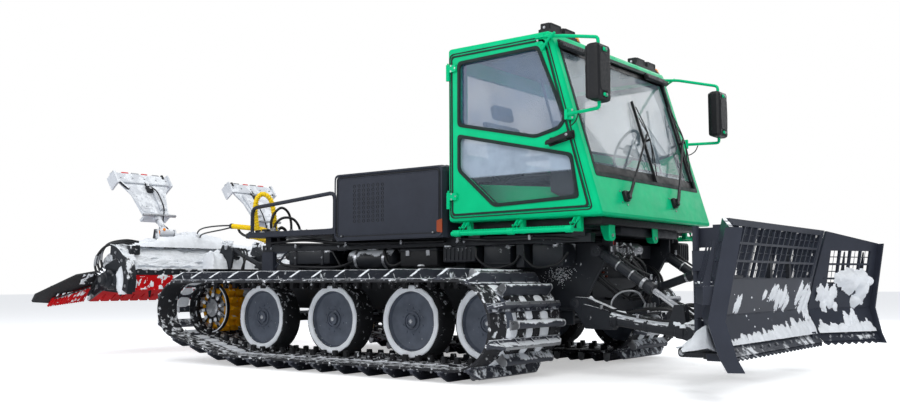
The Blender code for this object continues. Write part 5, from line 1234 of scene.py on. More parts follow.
def lamps(maker, side):
    """Two square work lamps with lens grids in a finned housing, and an amber marker beside them."""
    y0 = side * 0.78
    for shift in (-0.115, 0.115):
        low = (1.942, y0 + shift - 0.092, 2.828)
        maker.box(low, (2.030, y0 + shift + 0.092, 2.904), BLACK_PLASTIC, 0.008, 2)
        for k in range(6):
            x = 1.934 + k * 0.006
            maker.box((x - 0.014, y0 + shift - 0.080, 2.836 + k * 0.011),
                      (x + 0.02, y0 + shift + 0.080, 2.841 + k * 0.011),
                      BLACK_STEEL, 0.001)
        maker.slab([rounded_box(0.086, 0.034, 0.012), hole(rounded_box(0.074, 0.025, 0.01))], "x", 0, 0.010,
                   BLACK_PLASTIC, matrix=Matrix.Translation((2.028, y0 + shift, 2.868)))
        maker.box((2.028, y0 + shift - 0.073, 2.844), (2.0315, y0 + shift + 0.073, 2.892), LENS, 0)
        for k in range(4):
            for row in (-0.012, 0.012):
                maker.rod((2.031, y0 + shift - 0.054 + k * 0.036, 2.868 + row),
                          (2.0335, y0 + shift - 0.054 + k * 0.036, 2.868 + row), 0.010,
                          CHROME, 16, end_radius=0.007)
        for end in (-1, 1):
            maker.rod((1.985, y0 + shift + end * 0.092, 2.866), (1.985, y0 + shift + end * 0.102, 2.866),
                      0.012, STEEL, 6)
    maker.box((1.955, y0 - 0.215, 2.8125), (2.030, y0 + 0.215, 2.826), BLACK_STEEL, 0.003)
    edge = y0 + 0.245
    maker.box((1.960, edge - 0.045, 2.8125), (2.040, edge + 0.045, 2.832), BLACK_PLASTIC, 0.004)
    maker.box((1.962, edge - 0.042, 2.832), (2.038, edge + 0.042, 2.868), AMBER, 0.010, 2)
    maker.pipe([(1.955, y0 - 0.12, 2.85), (1.91, y0 - 0.10, 2.84), (1.88, y0 - 0.04, 2.822),
                (1.80, y0, 2.818)], 0.005, HOSE, 7, 5)
    maker.box((1.76, y0 - 0.03, 2.8125), (1.82, y0 + 0.03, 2.826), BLACK_PLASTIC, 0.005)
    brow = RAKED @ Matrix.Translation((0, y0, 0))
    maker.box((0.004, -0.205, 1.475), (0.030, 0.205, 1.505), BLACK_STEEL, 0.004, 1, brow)
    maker.box((0.004, -0.225, 1.440), (0.046, 0.225, 1.480), BLACK_PLASTIC, 0.006, 1, brow)
    for k in range(14):
        maker.box((0.044, -0.21 + k * 0.0315, 1.444), (0.049, -0.19 + k * 0.0315, 1.476), BLACK_STEEL, 0, 1,
                  brow)


alone(lambda maker: lamps(maker, -1), "roof_lamps_right", "chassis")
alone(lambda maker: lamps(maker, 1), "roof_lamps_left", "chassis")


def cab_hangers(maker):
    """The step's pierced hangers and its gripping teeth."""
    for x in (1.22, 1.7575, 2.295):
        for low, high, head in ((x - 0.004, x + 0.004, [(-0.985, 1.291), (-0.985, 1.262), (-1.075, 1.258)]),
                                (x + 0.034, x + 0.042,
                                 [(-1.062, 1.291), (-1.062, 1.268), (-1.082, 1.262)])):
            maker.slab([rounded([(-1.232, 1.172), (-1.190, 1.170), (-1.082, 1.288)] + head, 0.012),
                        hole(ring((-1.178, 1.205), 0.011, 12)), hole(ring((-1.145, 1.236), 0.009, 12))],
                       "x", low, high, GREEN)
        maker.rod((x - 0.012, -1.20, 1.185), (x + 0.050, -1.20, 1.185), 0.027, GREEN, 18, bevel=0.003)
    count = 46
    for k in range(count):
        x = 1.20 + (2.315 - 1.20) * k / (count - 1)
        maker.slab([[(x - 0.008, 1.202), (x + 0.008, 1.202), (x + 0.003, 1.214), (x - 0.003, 1.214)]], "y",
                   -1.214, -1.186, GREEN)


both(cab_hangers, "cab_hangers", "chassis")


def cab_feet(maker):
    """The two bent green feet under the cab's front, bolted to the nose."""
    for y in (-0.735, 0.05):
        maker.slab([rounded([(2.310, 1.291), (2.310, 1.200), (2.345, 1.112), (2.425, 1.104), (2.440, 1.150),
                             (2.440, 1.291)], 0.02)], "y",
                   y + 0.045, y + 0.055, GREEN, 0.002)
        maker.slab([rounded([(y - 0.045, 1.291), (y - 0.045, 1.140), (y - 0.020, 1.108), (y + 0.030, 1.108),
                             (y + 0.055, 1.125),
                             (y + 0.055, 1.291)], 0.015)], "x", 2.430, 2.440, GREEN, 0.002)
        maker.rod((2.438, y, 1.15), (2.450, y, 1.15), 0.014, STEEL, 6)
        maker.box((2.30, y - 0.05, 1.255), (2.44, y + 0.06, 1.2915), GREEN, 0.004)


alone(cab_feet, "cab_feet", "chassis")

for side in SIDES:
    dress("step_" + side, GREEN)


def cab_inside(maker):
    """Linings, floor mat, steering wheel and column, screen on its post, levers, switches and pedals."""
    maker.box((1.12, -0.99, 2.735), (2.04, 0.99, 2.755), GREY_LINING, 0.008)
    for y in (-0.5, 0.5):
        maker.box((1.25, y - 0.22, 2.712), (1.85, y + 0.22, 2.736), GREY_LINING, 0.012, 2)
        maker.rod((1.95, y, 2.700), (1.95, y, 2.736), 0.045, BLACK_PLASTIC, 24, bevel=0.006)
    maker.box((1.094, -0.99, 1.36), (1.112, 0.99, 1.86), GREY_LINING, 0.006)
    maker.box((1.10, -1.00, 1.3435), (2.26, 1.00, 1.352), RUBBER, 0.002)
    for side in (-1, 1):
        maker.box((1.094, side * 0.93 - 0.04, 1.88), (1.118, side * 0.93 + 0.04, 2.73), GREY_LINING, 0.006)
        maker.pipe([(2.10, side * 0.985, 1.70), (2.06, side * 0.955, 1.95), (1.98, side * 0.955, 2.25),
                    (1.94, side * 0.985, 2.45)], 0.012,
                   BLACK_PLASTIC, 10, 5)
    for side in (-1, 1):
        maker.slab([[(1.219, 1.372), (2.34, 1.372), (2.300, 1.530), (2.142, 1.543), (1.219, 1.628)]], "y",
                   side * 0.83 - 0.025,
                   side * 0.83 + 0.025, GREEN, 0.008)
        maker.pipe([(1.205, side * 0.83, 1.635), (1.70, side * 0.83, 1.590), (2.142, side * 0.83, 1.550),
                    (2.31, side * 0.83, 1.536)], 0.019,
                   BLACK_PLASTIC, 10, 3)
    wheel_at = turned((1.945, 0.52, 2.02), radians(-62))
    angles = [2 * pi * k / 40 for k in range(41)]
    line = [wheel_at @ Vector((0.19 * cos(a), 0.19 * sin(a), 0)) for a in angles]
    maker.pipe(line, 0.014, BLACK_PLASTIC, 10, 0, False)
    for angle in (0.5, 2.6, 4.71):
        maker.pipe([wheel_at @ Vector((0, 0, -0.02)),
                    wheel_at @ Vector((0.10 * cos(angle), 0.10 * sin(angle), -0.022)),
                    wheel_at @ Vector((0.185 * cos(angle), 0.185 * sin(angle), 0))], 0.011, BLACK_PLASTIC,
                    8, 3)
    maker.lathe([(0.0, 0.012), (0.045, 0.010), (0.052, -0.02), (0.035, -0.05), (0.024, -0.36),
                 (0.0, -0.36)], wheel_at.translation,
                wheel_at.to_3x3() @ Vector((0, 0, 1)), BLACK_PLASTIC, 24)
    maker.box((2.03, 0.30, 1.715), (2.28, 0.74, 1.765), BLACK_PLASTIC, 0.02, 2)
    for y, z in ((0.42, 1.76), (0.52, 1.772), (0.62, 1.76)):
        maker.rod((2.10, y, z), (2.095, y, z + 0.018), 0.040, BLACK_PLASTIC, 24, bevel=0.004)
        maker.rod((2.095, y, z + 0.016), (2.094, y, z + 0.021), 0.033, MIRROR_FACE, 24)
    maker.pipe([(1.63, -0.02, 1.352), (1.62, -0.02, 1.65), (1.60, -0.03, 1.93)], 0.018, BLACK_PLASTIC, 12,
               4)
    screen = turned((1.60, -0.04, 2.08), radians(14), "Z")
    maker.slab([rounded_box(0.13, 0.155, 0.035, 5)], "x", -0.018, 0.018, BLACK_PLASTIC,
               0.006, screen)
    maker.slab([rounded_box(0.105, 0.125, 0.02)], "x", -0.0195, -0.0175, DARK_PRINT_AND_SHADE,
               matrix=screen)
    maker.box((1.42, -0.115, 1.352), (1.98, 0.115, 1.66), BLACK_PLASTIC, 0.02, 2)
    maker.box((1.44, -0.10, 1.655), (1.80, 0.10, 1.675), GREY_LINING, 0.008, 2)
    for k in range(6):
        maker.box((1.47 + 0.045 * k, -0.075, 1.674), (1.498 + 0.045 * k, -0.048, 1.684), BLACK_PLASTIC,
                  0.003)
        maker.box((1.47 + 0.045 * k, 0.050, 1.674), (1.498 + 0.045 * k, 0.077, 1.684),
                  RED_CAP if k == 2 else BLACK_PLASTIC, 0.003)
    stick = [(1.84, 0.0, 1.66), (1.85, 0.0, 1.72), (1.835, 0.0, 1.80)]
    maker.lathe([(0.045, 0), (0.040, 0.012), (0.028, 0.02), (0.032, 0.032), (0.020, 0.042), (0.022, 0.054),
                 (0.013, 0.064)], stick[0],
                (0, 0, 1), BLACK_PLASTIC, 20)
    maker.pipe(stick, 0.022, BLACK_PLASTIC, 12, 5,
               radii=[0.010] * 5 + [0.019, 0.023, 0.025, 0.024, 0.020, 0.012])
    pedals = turned((2.20, 0, 1.43), radians(35))
    for y in (0.42, 0.60):
        plate = rounded([(y - 0.035, -0.06), (y + 0.035, -0.06), (y + 0.035, 0.06), (y - 0.035, 0.06)],
                        0.01)
        maker.slab([plate], "x", 0, 0.012, BLACK_STEEL, 0.002, pedals)
        for k in range(5):
            maker.box((-0.003, y - 0.028, -0.045 + 0.021 * k), (0.0, y + 0.028, -0.039 + 0.021 * k), RUBBER,
                      0, 1, pedals)
        maker.pipe([(2.215, y, 1.40), (2.27, y, 1.36)], 0.010, STEEL, 8)


alone(cab_inside, "cab_interior", "chassis")

# ---------------------------------------------------------------- engine cover, deck and under them

def cover_side(maker):
    """Pressed side panel with an inset crease, rows of vent holes, and latches; crease and vent holes are
    near-black painted shade.
    """
    y = -1.04
    rear, front, low, high = -0.363, 0.963, 1.1703, 1.815
    outline = [(rear + 0.012, low + 0.012), (front - 0.012, low + 0.012), (front - 0.012, high - 0.012),
               (rear + 0.012, high - 0.012)]
    band(maker, outline, 0.002, 0.012, y - 0.0035, y + 0.002, SLATE, 0.055)
    # painted shade: a near-black band fills the inset crease
    band(maker, outline, -0.026, 0.033, y - 0.0015, y + 0.002, DARK_PRINT_AND_SHADE, 0.045)
    band(maker, outline, -0.040, 0.047, y - 0.0030, y + 0.002, SLATE, 0.04)
    # painted shade: each vent hole is a near-black dish that stands for the shade inside it
    rows, columns = 9, 7
    for row in range(rows):
        for column in range(columns):
            x = -0.095 + column * 0.0585
            z = 1.352 + row * 0.041
            maker.lathe([(0.0, 0.0022), (0.0115, 0.0022), (0.0125, -0.0012), (0.0150, -0.0016),
                         (0.0162, 0.0006)], (x, y - 0.001, z),
                        (0, 1, 0), DARK_PRINT_AND_SHADE, 12)
    maker.slab([rounded([(front - 0.072, low + 0.050), (front - 0.010, low + 0.040),
                         (front - 0.010, low + 0.165), (front - 0.072, low + 0.150)],
                        0.01)], "y", y - 0.0050, y + 0.002, ORANGE, 0.001)
    for x in (rear + 0.11, front - 0.11):
        maker.box((x - 0.020, y - 0.008, low + 0.035), (x + 0.020, y + 0.001, low + 0.060), BLACK_STEEL,
                  0.003)
        maker.rod((x, y - 0.006, low + 0.047), (x, y - 0.014, low + 0.047), 0.008, STEEL, 6)


both(cover_side, "cover_side", "chassis")


def cab_floor(maker):
    """Insulated under-floor, cross pipes and a heater duct that close the gap below the cab."""
    maker.box((1.07, -0.94, 1.232), (2.46, 0.94, 1.291), BLACK_PLASTIC, 0.012, 2)
    for k in range(5):
        maker.box((1.16 + k * 0.27, -0.95, 1.205), (1.21 + k * 0.27, 0.95, 1.236), BLACK_STEEL, 0.004)
    for y in (-0.62, -0.18, 0.30, 0.70):
        maker.pipe([(1.06, y, 1.175), (1.50, y + 0.02, 1.190), (1.95, y - 0.02, 1.180), (2.36, y, 1.195)],
                   0.020, HOSE, 10, 8)
    maker.box((2.05, -0.50, 1.16), (2.40, 0.60, 1.235), BLACK_STEEL, 0.012, 2)


alone(cab_floor, "cab_floor", "chassis")


def cover_top(maker):
    """Raised centre panel with slots, its bolts and a low exhaust cowl; the slots and the cowl's louvres
    are near-black strips of painted shade.
    """
    maker.box((-0.30, -0.90, 1.815), (0.90, 0.90, 1.820), SLATE, 0.003)
    # painted shade: near-black strips stand for the shade in the slots
    for k in range(14):
        for y in (0.25, -0.75):
            maker.box((-0.15 + k * 0.045, y, 1.819), (-0.125 + k * 0.045, y + 0.5, 1.8225), DARK_PRINT_AND_SHADE,
                      0.001)
    for x in (-0.27, 0.30, 0.87):
        for y in (-0.87, -0.30, 0.30, 0.87):
            maker.bolt((x, y, 1.8195), (0, 0, 1), 0.009, STEEL)
    maker.box((-0.3665, -0.92, 1.20), (-0.3625, 0.92, 1.78), SLATE, 0.001)
    # painted shade: near-black strips stand for the shade between the louvres
    for k in range(11):
        maker.box((-0.3705, -0.80, 1.26 + k * 0.045), (-0.3655, 0.80, 1.282 + k * 0.045), DARK_PRINT_AND_SHADE, 0.001)


alone(cover_top, "cover_top", "chassis")


def deck_dress(maker):
    """Folded edge, chequered plate strips and bolts of the load deck, and welded rail feet."""
    for z in (1.2462, 1.2935):
        maker.box((-1.657, -0.9915, z), (-0.394, -0.9885, z + 0.006), SLATE, 0.001)
    for x in (-1.60, -1.20, -0.80, -0.46):
        maker.bolt((x, -0.975, 1.3005), (0, 0, 1), 0.008, STEEL)
    for x in (-1.635, -0.42):
        maker.rod((x, -0.96, 1.300), (x, -0.96, 1.312), 0.030, SLATE, 20, bevel=0.003)
    dice = random.Random(3)
    for i in range(26):
        for j in range(20):
            x, y = -1.62 + i * 0.047, -0.945 + j * 0.047
            turn = turned((x, y, 1.3003), radians(45 if (i + j) % 2 else -45), "Z")
            maker.box((-0.014, -0.004, -0.001), (0.014, 0.004, 0.0018), SLATE, 0.0012, 1, turn)
    for x in (-1.45, -0.95, -0.55):
        lump(maker, Matrix.Translation((x + dice.uniform(-0.05, 0.05), -0.955, 1.302)),
             (dice.uniform(0.02, 0.05), 0.010), -0.002,
             0.004, dice)


both(deck_dress, "deck_dress", "chassis")


def side_gear(maker):
    """Between track and cover: boxes, brackets, air tank, lines and hoses, all on the beams."""
    maker.slab([[(-1.585, 1.100), (-1.415, 1.100), (-1.415, 0.890), (-1.455, 0.862), (-1.545, 0.862),
                 (-1.585, 0.890)]], "y", -0.86, -0.80,
               SLATE, 0.004)
    maker.slab([[(-1.43, 1.100), (-1.43, 0.900), (-1.215, 1.100)],
                [(-1.408, 1.080), (-1.408, 0.945), (-1.265, 1.080)]], "y", -0.838, -0.828,
               SLATE)
    maker.slab([[(-1.565, 1.100), (-1.565, 0.900), (-1.60, 1.100)]], "y", -0.838, -0.828, SLATE)
    maker.box((-1.20, -0.835, 0.965), (-0.62, -0.55, 1.098), BLACK_STEEL_SNOW, 0.012, 2)
    for x in (-1.10, -0.72):
        maker.box((x - 0.018, -0.842, 0.955), (x + 0.018, -0.545, 1.105), BLACK_STEEL, 0.003)
        maker.bolt((x, -0.842, 1.03), (0, -1, 0), 0.009, STEEL)
    maker.lathe([(0.0, -0.31), (0.06, -0.305), (0.088, -0.28), (0.092, -0.25), (0.092, 0.25), (0.088, 0.28),
                 (0.06, 0.305), (0.0, 0.31)],
                (-0.12, -0.72, 1.002), (1, 0, 0), BLACK_STEEL_SNOW, 32)
    for x in (-0.30, 0.06):
        maker.lathe([(0.0925, -0.016), (0.0965, -0.016), (0.0965, 0.016), (0.0925, 0.016)],
                    (x, -0.72, 1.002), (1, 0, 0), STEEL, 32)
        maker.box((x - 0.014, -0.735, 1.085), (x + 0.014, -0.705, 1.102), STEEL, 0.002)
    maker.box((0.30, -0.845, 0.925), (0.74, -0.56, 1.098), BLACK_PLASTIC, 0.016, 2)
    maker.box((0.295, -0.850, 1.062), (0.745, -0.555, 1.088), BLACK_STEEL, 0.006)
    for x in (0.40, 0.64):
        maker.box((x - 0.022, -0.856, 1.020), (x + 0.022, -0.845, 1.072), STEEL, 0.003)
    maker.box((0.80, -0.84, 0.955), (1.16, -0.62, 1.098), BLACK_STEEL, 0.008)
    for k in range(7):
        maker.box((0.83 + k * 0.045, -0.847, 0.975), (0.845 + k * 0.045, -0.838, 1.080), BLACK_STEEL_SNOW,
                  0.002)
    maker.box((1.22, -0.80, 0.895), (1.50, -0.55, 1.098), BLACK_STEEL_SNOW, 0.012, 2)
    maker.box((1.215, -0.806, 0.930), (1.505, -0.60, 0.950), BLACK_STEEL, 0.003)
    maker.box((1.58, -0.83, 0.900), (1.66, -0.62, 1.098), BLACK_STEEL, 0.004)
    maker.box((1.72, -0.80, 0.905), (2.02, -0.58, 1.098), BLACK_STEEL_SNOW, 0.012, 2)
    lines = (((-1.44, -0.86, 1.190), (-0.95, -0.87, 1.205), (-0.40, -0.87, 1.160), (0.20, -0.87, 1.150),
              (0.85, -0.87, 1.145)),
             ((-1.40, -0.845, 1.180), (-0.90, -0.85, 1.165), (-0.30, -0.85, 1.145), (0.30, -0.85, 1.140)),
             ((-1.38, -0.83, 1.010), (-1.26, -0.82, 0.955), (-0.90, -0.86, 0.935), (-0.50, -0.86, 0.930),
              (-0.32, -0.80, 0.985)),
             ((-0.58, -0.83, 1.085), (-0.50, -0.84, 0.99), (-0.46, -0.83, 0.94), (-0.35, -0.82, 0.975)),
             ((0.10, -0.84, 1.080), (0.16, -0.85, 0.96), (0.24, -0.85, 0.935), (0.31, -0.83, 0.965)),
             ((1.17, -0.84, 1.070), (1.20, -0.86, 0.98), (1.35, -0.86, 0.90), (1.55, -0.85, 0.93),
              (1.62, -0.84, 1.00)),
             ((1.05, -0.86, 1.155), (1.45, -0.87, 1.135), (1.90, -0.86, 1.140), (2.20, -0.82, 1.120)),
             ((1.66, -0.83, 1.030), (1.70, -0.86, 0.96), (1.80, -0.85, 0.90), (1.98, -0.82, 0.93),
              (2.06, -0.78, 1.02)))
    for number, points in enumerate(lines):
        maker.pipe(points, 0.011 if number % 2 else 0.015, HOSE, 10, 8)
    for x in (-1.05, -0.35, 0.35, 1.00, 1.75):
        maker.box((x - 0.012, -0.893, 1.128), (x + 0.012, -0.850, 1.170), STEEL, 0.003)
        maker.bolt((x, -0.893, 1.150), (0, -1, 0), 0.007, STEEL)
    for x in (-1.50, -0.45, 1.00, 1.90):
        maker.box((x - 0.060, -0.842, 1.088), (x + 0.060, -0.800, 1.102), BLACK_STEEL, 0.003)
        for dx in (-0.04, 0.04):
            maker.bolt((x + dx, -0.842, 1.135), (0, -1, 0), 0.010, STEEL)
    dice = random.Random(5)
    for x, y, z, a in ((-0.95, -0.70, 1.0985, 0.07), (-0.15, -0.72, 1.094, 0.06),
                       (0.56, -0.848, 0.93, 0.03), (0.86, -0.84, 1.096, 0.03)):
        lump(maker, Matrix.Translation((x, y, z)), (a, 0.03), -0.003, 0.010, dice)


both(side_gear, "side_gear", "chassis")


def frame_fill(maker):
    """Belly pan, pump drive and tanks between the frame rails, which close the view through the machine."""
    maker.box((-1.90, -0.395, 0.875), (-1.06, 0.395, 0.985), BLACK_STEEL_SNOW, 0.012, 2)
    maker.box((-0.84, -0.395, 0.870), (-0.30, 0.395, 1.085), BLACK_STEEL, 0.014, 2)
    for k in range(9):
        maker.box((-0.80 + 0.055 * k, -0.402, 0.90), (-0.780 + 0.055 * k, 0.402, 1.06), BLACK_STEEL_SNOW,
                  0.003)
    maker.box((1.04, -0.38, 0.880), (1.80, 0.38, 1.085), BLACK_STEEL, 0.016, 2)
    maker.box((1.39, -0.40, 0.890), (1.52, -0.20, 1.088), ORANGE, 0.012, 2)
    maker.box((1.39, 0.20, 0.890), (1.52, 0.40, 1.088), ORANGE, 0.012, 2)
    maker.box((2.035, 0.70, 0.955), (2.365, 0.93, 1.134), BLACK_PLASTIC, 0.016, 2)
    for k in range(5):
        maker.box((2.362, 0.715 + k * 0.043, 0.975), (2.372, 0.735 + k * 0.043, 1.115), BLACK_STEEL, 0.003)
    maker.lathe([(0.0, 0), (0.034, 0.0), (0.036, 0.018), (0.030, 0.026), (0.0, 0.028)], (2.28, 0.80, 1.134),
                (0, 0, 1), BLACK_PLASTIC, 24)
    maker.box((2.04, 0.70, 1.095), (2.30, 0.75, 1.170), BLACK_STEEL, 0.004)
    maker.lathe([(0.0, -0.30), (0.07, -0.29), (0.085, -0.26), (0.085, 0.26), (0.07, 0.29), (0.0, 0.30)],
                (0.20, 0.0, 0.96), (1, 0, 0),
                BLACK_STEEL_SNOW, 32)


alone(frame_fill, "frame_fill", "chassis")


def spiral(maker, points, radius, material, pitch):
    """A hose in a spiral guard: the tube with a rounded strip wound round it."""
    line = curve_through(points, 10)
    maker.pipe(line, radius * 0.86, material, 10)
    lengths = [0.0]
    for a, b in zip(line, line[1:]):
        lengths.append(lengths[-1] + (b - a).length)
    turns = lengths[-1] / pitch
    wound = []
    count = max(8, int(turns * 9))
    normal = (line[1] - line[0]).orthogonal().normalized()
    index = 0
    for k in range(count + 1):
        s = lengths[-1] * k / count
        while index < len(line) - 2 and lengths[index + 1] < s:
            index += 1
        share = (s - lengths[index]) / max(1e-9, lengths[index + 1] - lengths[index])
        ahead = (line[index + 1] - line[index]).normalized()
        normal = (normal - ahead * normal.dot(ahead)).normalized()
        side = ahead.cross(normal)
        angle = 2 * pi * turns * k / count
        wound.append(line[index].lerp(line[index + 1],
                                      share) + (normal * cos(angle) + side * sin(angle)) * radius * 0.86)
    maker.pipe(wound, radius * 0.24, material, 5)


def deck_hoses(maker):
    """Black hoses rising behind the deck rail in bends, each clipped to the deck at both ends."""
    for points, radius in ((((-1.500, -0.800, 1.300), (-1.505, -0.808, 1.400), (-1.500, -0.770, 1.505),
                             (-1.500, -0.670, 1.572),
                             (-1.500, -0.575, 1.530), (-1.500, -0.532, 1.430), (-1.500, -0.525, 1.300)),
                             0.014),
                           (((-1.440, -0.825, 1.300), (-1.440, -0.800, 1.395), (-1.440, -0.700, 1.460),
                             (-1.440, -0.565, 1.458),
                             (-1.440, -0.478, 1.390), (-1.440, -0.450, 1.300)), 0.014),
                           (((-1.585, -0.640, 1.300), (-1.580, -0.630, 1.350), (-1.570, -0.600, 1.372),
                             (-1.560, -0.570, 1.350),
                             (-1.555, -0.560, 1.300)), 0.012)):
        maker.pipe(points, radius, HOSE, 10, 8)
        for end in (points[0], points[-1]):
            maker.lathe([(0.0, -0.002), (radius * 1.9, 0.0), (radius * 1.9, 0.012), (radius * 1.45, 0.016),
                         (radius * 1.45, 0.045), (radius, 0.050)],
                        (end[0], end[1], 1.300), (0, 0, 1), STEEL, 14)
    maker.box((-1.545, -0.860, 1.2998), (-1.395, -0.765, 1.316), BLACK_STEEL, 0.004)
    maker.box((-1.545, -0.560, 1.2998), (-1.395, -0.415, 1.312), BLACK_STEEL, 0.004)


alone(deck_hoses, "deck_hoses", "chassis")

# ---------------------------------------------------------------- nose, push frame and hydraulics

# base pin and rod's eye of each cylinder
LIFT_PINS = ((2.251, -0.62, 1.030), (2.960, -0.62, 0.560))
PITCH_PINS = ((2.46, 0, 0.715), (2.975, 0, 0.890))
REAR_PINS = ((-1.60, 0, 1.16), (-2.46, 0, 1.03))


def along_line(start, end, distance):
    """The point at a distance from start towards end."""
    start, end = Vector(start), Vector(end)
    return start + (end - start).normalized() * distance


def fitting(maker, at, way, size, material=STEEL):
    """A hose's end: hexagon, ferrule and the start of the hose."""
    at, way = Vector(at), Vector(way).normalized()
    maker.rod(at - way * 0.006, at + way * size * 1.2, size * 1.25, material, 6, bevel=0.001)
    maker.rod(at + way * size, at + way * size * 3.8, size * 1.02, material, 14, bevel=0.001)


def nose_trim(maker):
    """Pin heads with keeper plates, rolled front edge, stiffener and frost on the nose plate's side."""
    y = -0.564
    for x, z, radius in ((2.300, 1.145, 0.016), (2.251, 1.030, 0.028), (2.037, 0.598, 0.036)):
        maker.lathe([(0.0, 0.016), (radius * 0.6, 0.015), (radius * 0.9, 0.010), (radius, 0.0)], (x, y, z),
                    (0, -1, 0), STEEL, 24)
        maker.slab([rounded([(x - radius * 1.1, z - radius * 2.0), (x + radius * 1.1, z - radius * 2.0),
                             (x + radius * 1.1, z - radius * 0.8),
                             (x - radius * 1.1, z - radius * 0.8)], 0.005)], "y", y - 0.008, y + 0.0005,
                             BLACK_STEEL, 0.002)
    edge = [(2.097, 0.640), (2.302, 0.990), (2.337, 1.095)]
    maker.pipe([(x - 0.004, y + 0.004, z) for x, z in edge], 0.012, BLACK_STEEL, 8)
    maker.slab([[(1.74, 0.56), (2.05, 0.545), (2.05, 0.560), (1.74, 0.575)]], "y", y - 0.006, y + 0.001,
               BLACK_STEEL)
    maker.box((1.72, -0.60, 0.535), (2.04, -0.535, 0.560), BLACK_STEEL, 0.004)
    maker.box((1.76, -0.574, 0.42), (1.98, -0.545, 0.56), BLACK_STEEL_SNOW, 0.005)
    maker.slab([rounded([(2.255, 1.03), (2.345, 1.03), (2.345, 1.17), (2.255, 1.17)], 0.02)], "y",
               y + 0.001, y + 0.028, BLACK_STEEL, 0.004)
    dice = random.Random(9)
    for _ in range(260):
        x, z = dice.gauss(1.85, 0.070), dice.gauss(0.845, 0.040)
        if not (1.60 < x < 2.02 and 0.72 < z < 0.97):
            continue
        lump(maker, turned((x, y, z), radians(90), "X"),
             (dice.uniform(0.0015, 0.0045), dice.uniform(0.0015, 0.004)),
             -0.001, 0.0018, dice, rough=0.0008, sides=6)


both(nose_trim, "nose_trim", "chassis")


def barrel_trim(maker):
    """End cap, gland, ports with fittings, clamps, hose and steel line on the lift cylinder's barrel."""
    base, eye_at = LIFT_PINS
    way = (Vector(eye_at) - Vector(base)).normalized()
    for a, b, radius, material in ((0.055, 0.075, 0.0455, BLACK_STEEL), (0.50, 0.512, 0.0445, BLACK_STEEL),
                                   (0.520, 0.566, 0.047, BLACK_STEEL),
                                   (0.466, 0.494, 0.0475, STEEL)):
        maker.rod(along_line(base, eye_at, a), along_line(base, eye_at, b), radius, material, 32,
                  bevel=0.002)
    maker.rod(along_line(base, eye_at, 0.5645), along_line(base, eye_at, 0.572), 0.038, STEEL, 32)
    upward = way.cross(Vector((0, 1, 0))).normalized()
    ports = []
    for distance in (0.10, 0.515):
        at = along_line(base, eye_at, distance) + upward * 0.040
        maker.rod(at, at + upward * 0.022, 0.015, BLACK_STEEL, 14)
        fitting(maker, at + upward * 0.022, upward + way * -0.6, 0.010)
        ports.append(at + upward * 0.045 - way * 0.02)
    maker.pipe([ports[1], along_line(base, eye_at, 0.40) + upward * 0.066,
                along_line(base, eye_at, 0.24) + upward * 0.060,
                along_line(base, eye_at, 0.13) + upward * 0.075 + Vector((0, 0.02, 0))], 0.0095, HOSE, 10,
                8)
    for distance in (0.22, 0.36):
        at = along_line(base, eye_at, distance)
        maker.rod(at - way * 0.006, at + way * 0.006, 0.0455, STEEL, 32)
    for distance in (0.07, 0.30):
        maker.rod(along_line(base, eye_at, distance) + Vector((0, -0.03, -0.03)),
                  along_line(base, eye_at, distance + 0.05) + Vector((0, -0.03, -0.03)), 0.006, BLACK_STEEL,
                  8)


def arm_trim(maker):
    """The push arm's pin boss, side plate, tube collars, clipped hose and the snow on top."""
    y = -0.62
    maker.lathe([(0.0, 0.012), (0.030, 0.011), (0.042, 0.004), (0.044, -0.004)], (2.037, y - 0.035, 0.598),
                (0, -1, 0), BLACK_STEEL, 28)
    maker.slab([rounded([(2.10, 0.435), (2.36, 0.400), (2.36, 0.545), (2.12, 0.600)], 0.02, 4)], "y",
               y - 0.040, y - 0.034, BLACK_STEEL_SNOW,
               0.002)
    start, end = (2.36, y, 0.475), (3.02, y, 0.38)
    maker.rod(along_line(start, end, 0.02), along_line(start, end, 0.065), 0.060, BLACK_STEEL_SNOW, 28,
              bevel=0.006)
    maker.rod(along_line(start, end, 0.30), along_line(start, end, 0.33), 0.0495, BLACK_STEEL, 28,
              bevel=0.002)
    maker.rod(along_line(start, end, 0.57), along_line(start, end, 0.64), 0.054, BLACK_STEEL, 28,
              bevel=0.004)

    def on_tube(a, b, out):
        at = along_line(start, end, a)
        return at + Vector((0, sin(b) * (0.0465 + out), cos(b) * (0.0465 + out)))

    snow_field(maker, on_tube, (0.02, 0.62), (-0.9, 0.9), 0.012,
               lambda a, b: 0.016 * (1 - abs(b)) + 0.018 * rough_noise(a, b * 0.1, 12.0, 11.0)
               + (0.02 if a < 0.12 else 0.0))
    snow_field(maker, lambda a, b, out: Vector((a, y + b, 0.655 - (a - 2.16) * 0.53 + out)), (2.16, 2.40),
               (-0.036, 0.036), 0.009,
               lambda a, b: 0.004 + 0.022 * rough_noise(a, b, 14.0, 12.0) + 0.05 * max(0.0, a - 2.27))
    maker.pipe([(2.16, y - 0.030, 0.625), (2.30, y - 0.040, 0.575), (2.50, y - 0.050, 0.520),
                (2.78, y - 0.048, 0.478), (2.93, y - 0.030, 0.47)],
               0.010, HOSE, 10, 8)
    for x, z in ((2.30, 0.575), (2.62, 0.505)):
        maker.box((x - 0.012, y - 0.062, z - 0.018), (x + 0.012, y - 0.028, z + 0.014), STEEL, 0.003)
    dice = random.Random(4)
    for k in range(5):
        lump(maker, Matrix.Translation((2.93 + 0.02 * k, y + dice.uniform(-0.03, 0.03), 0.455 - 0.008 * k)),
             (0.03, 0.03), -0.01, 0.018, dice)


both(barrel_trim, "lift_barrel_trim", "lift_barrel")
both(arm_trim, "push_arm_trim", "push_frame")


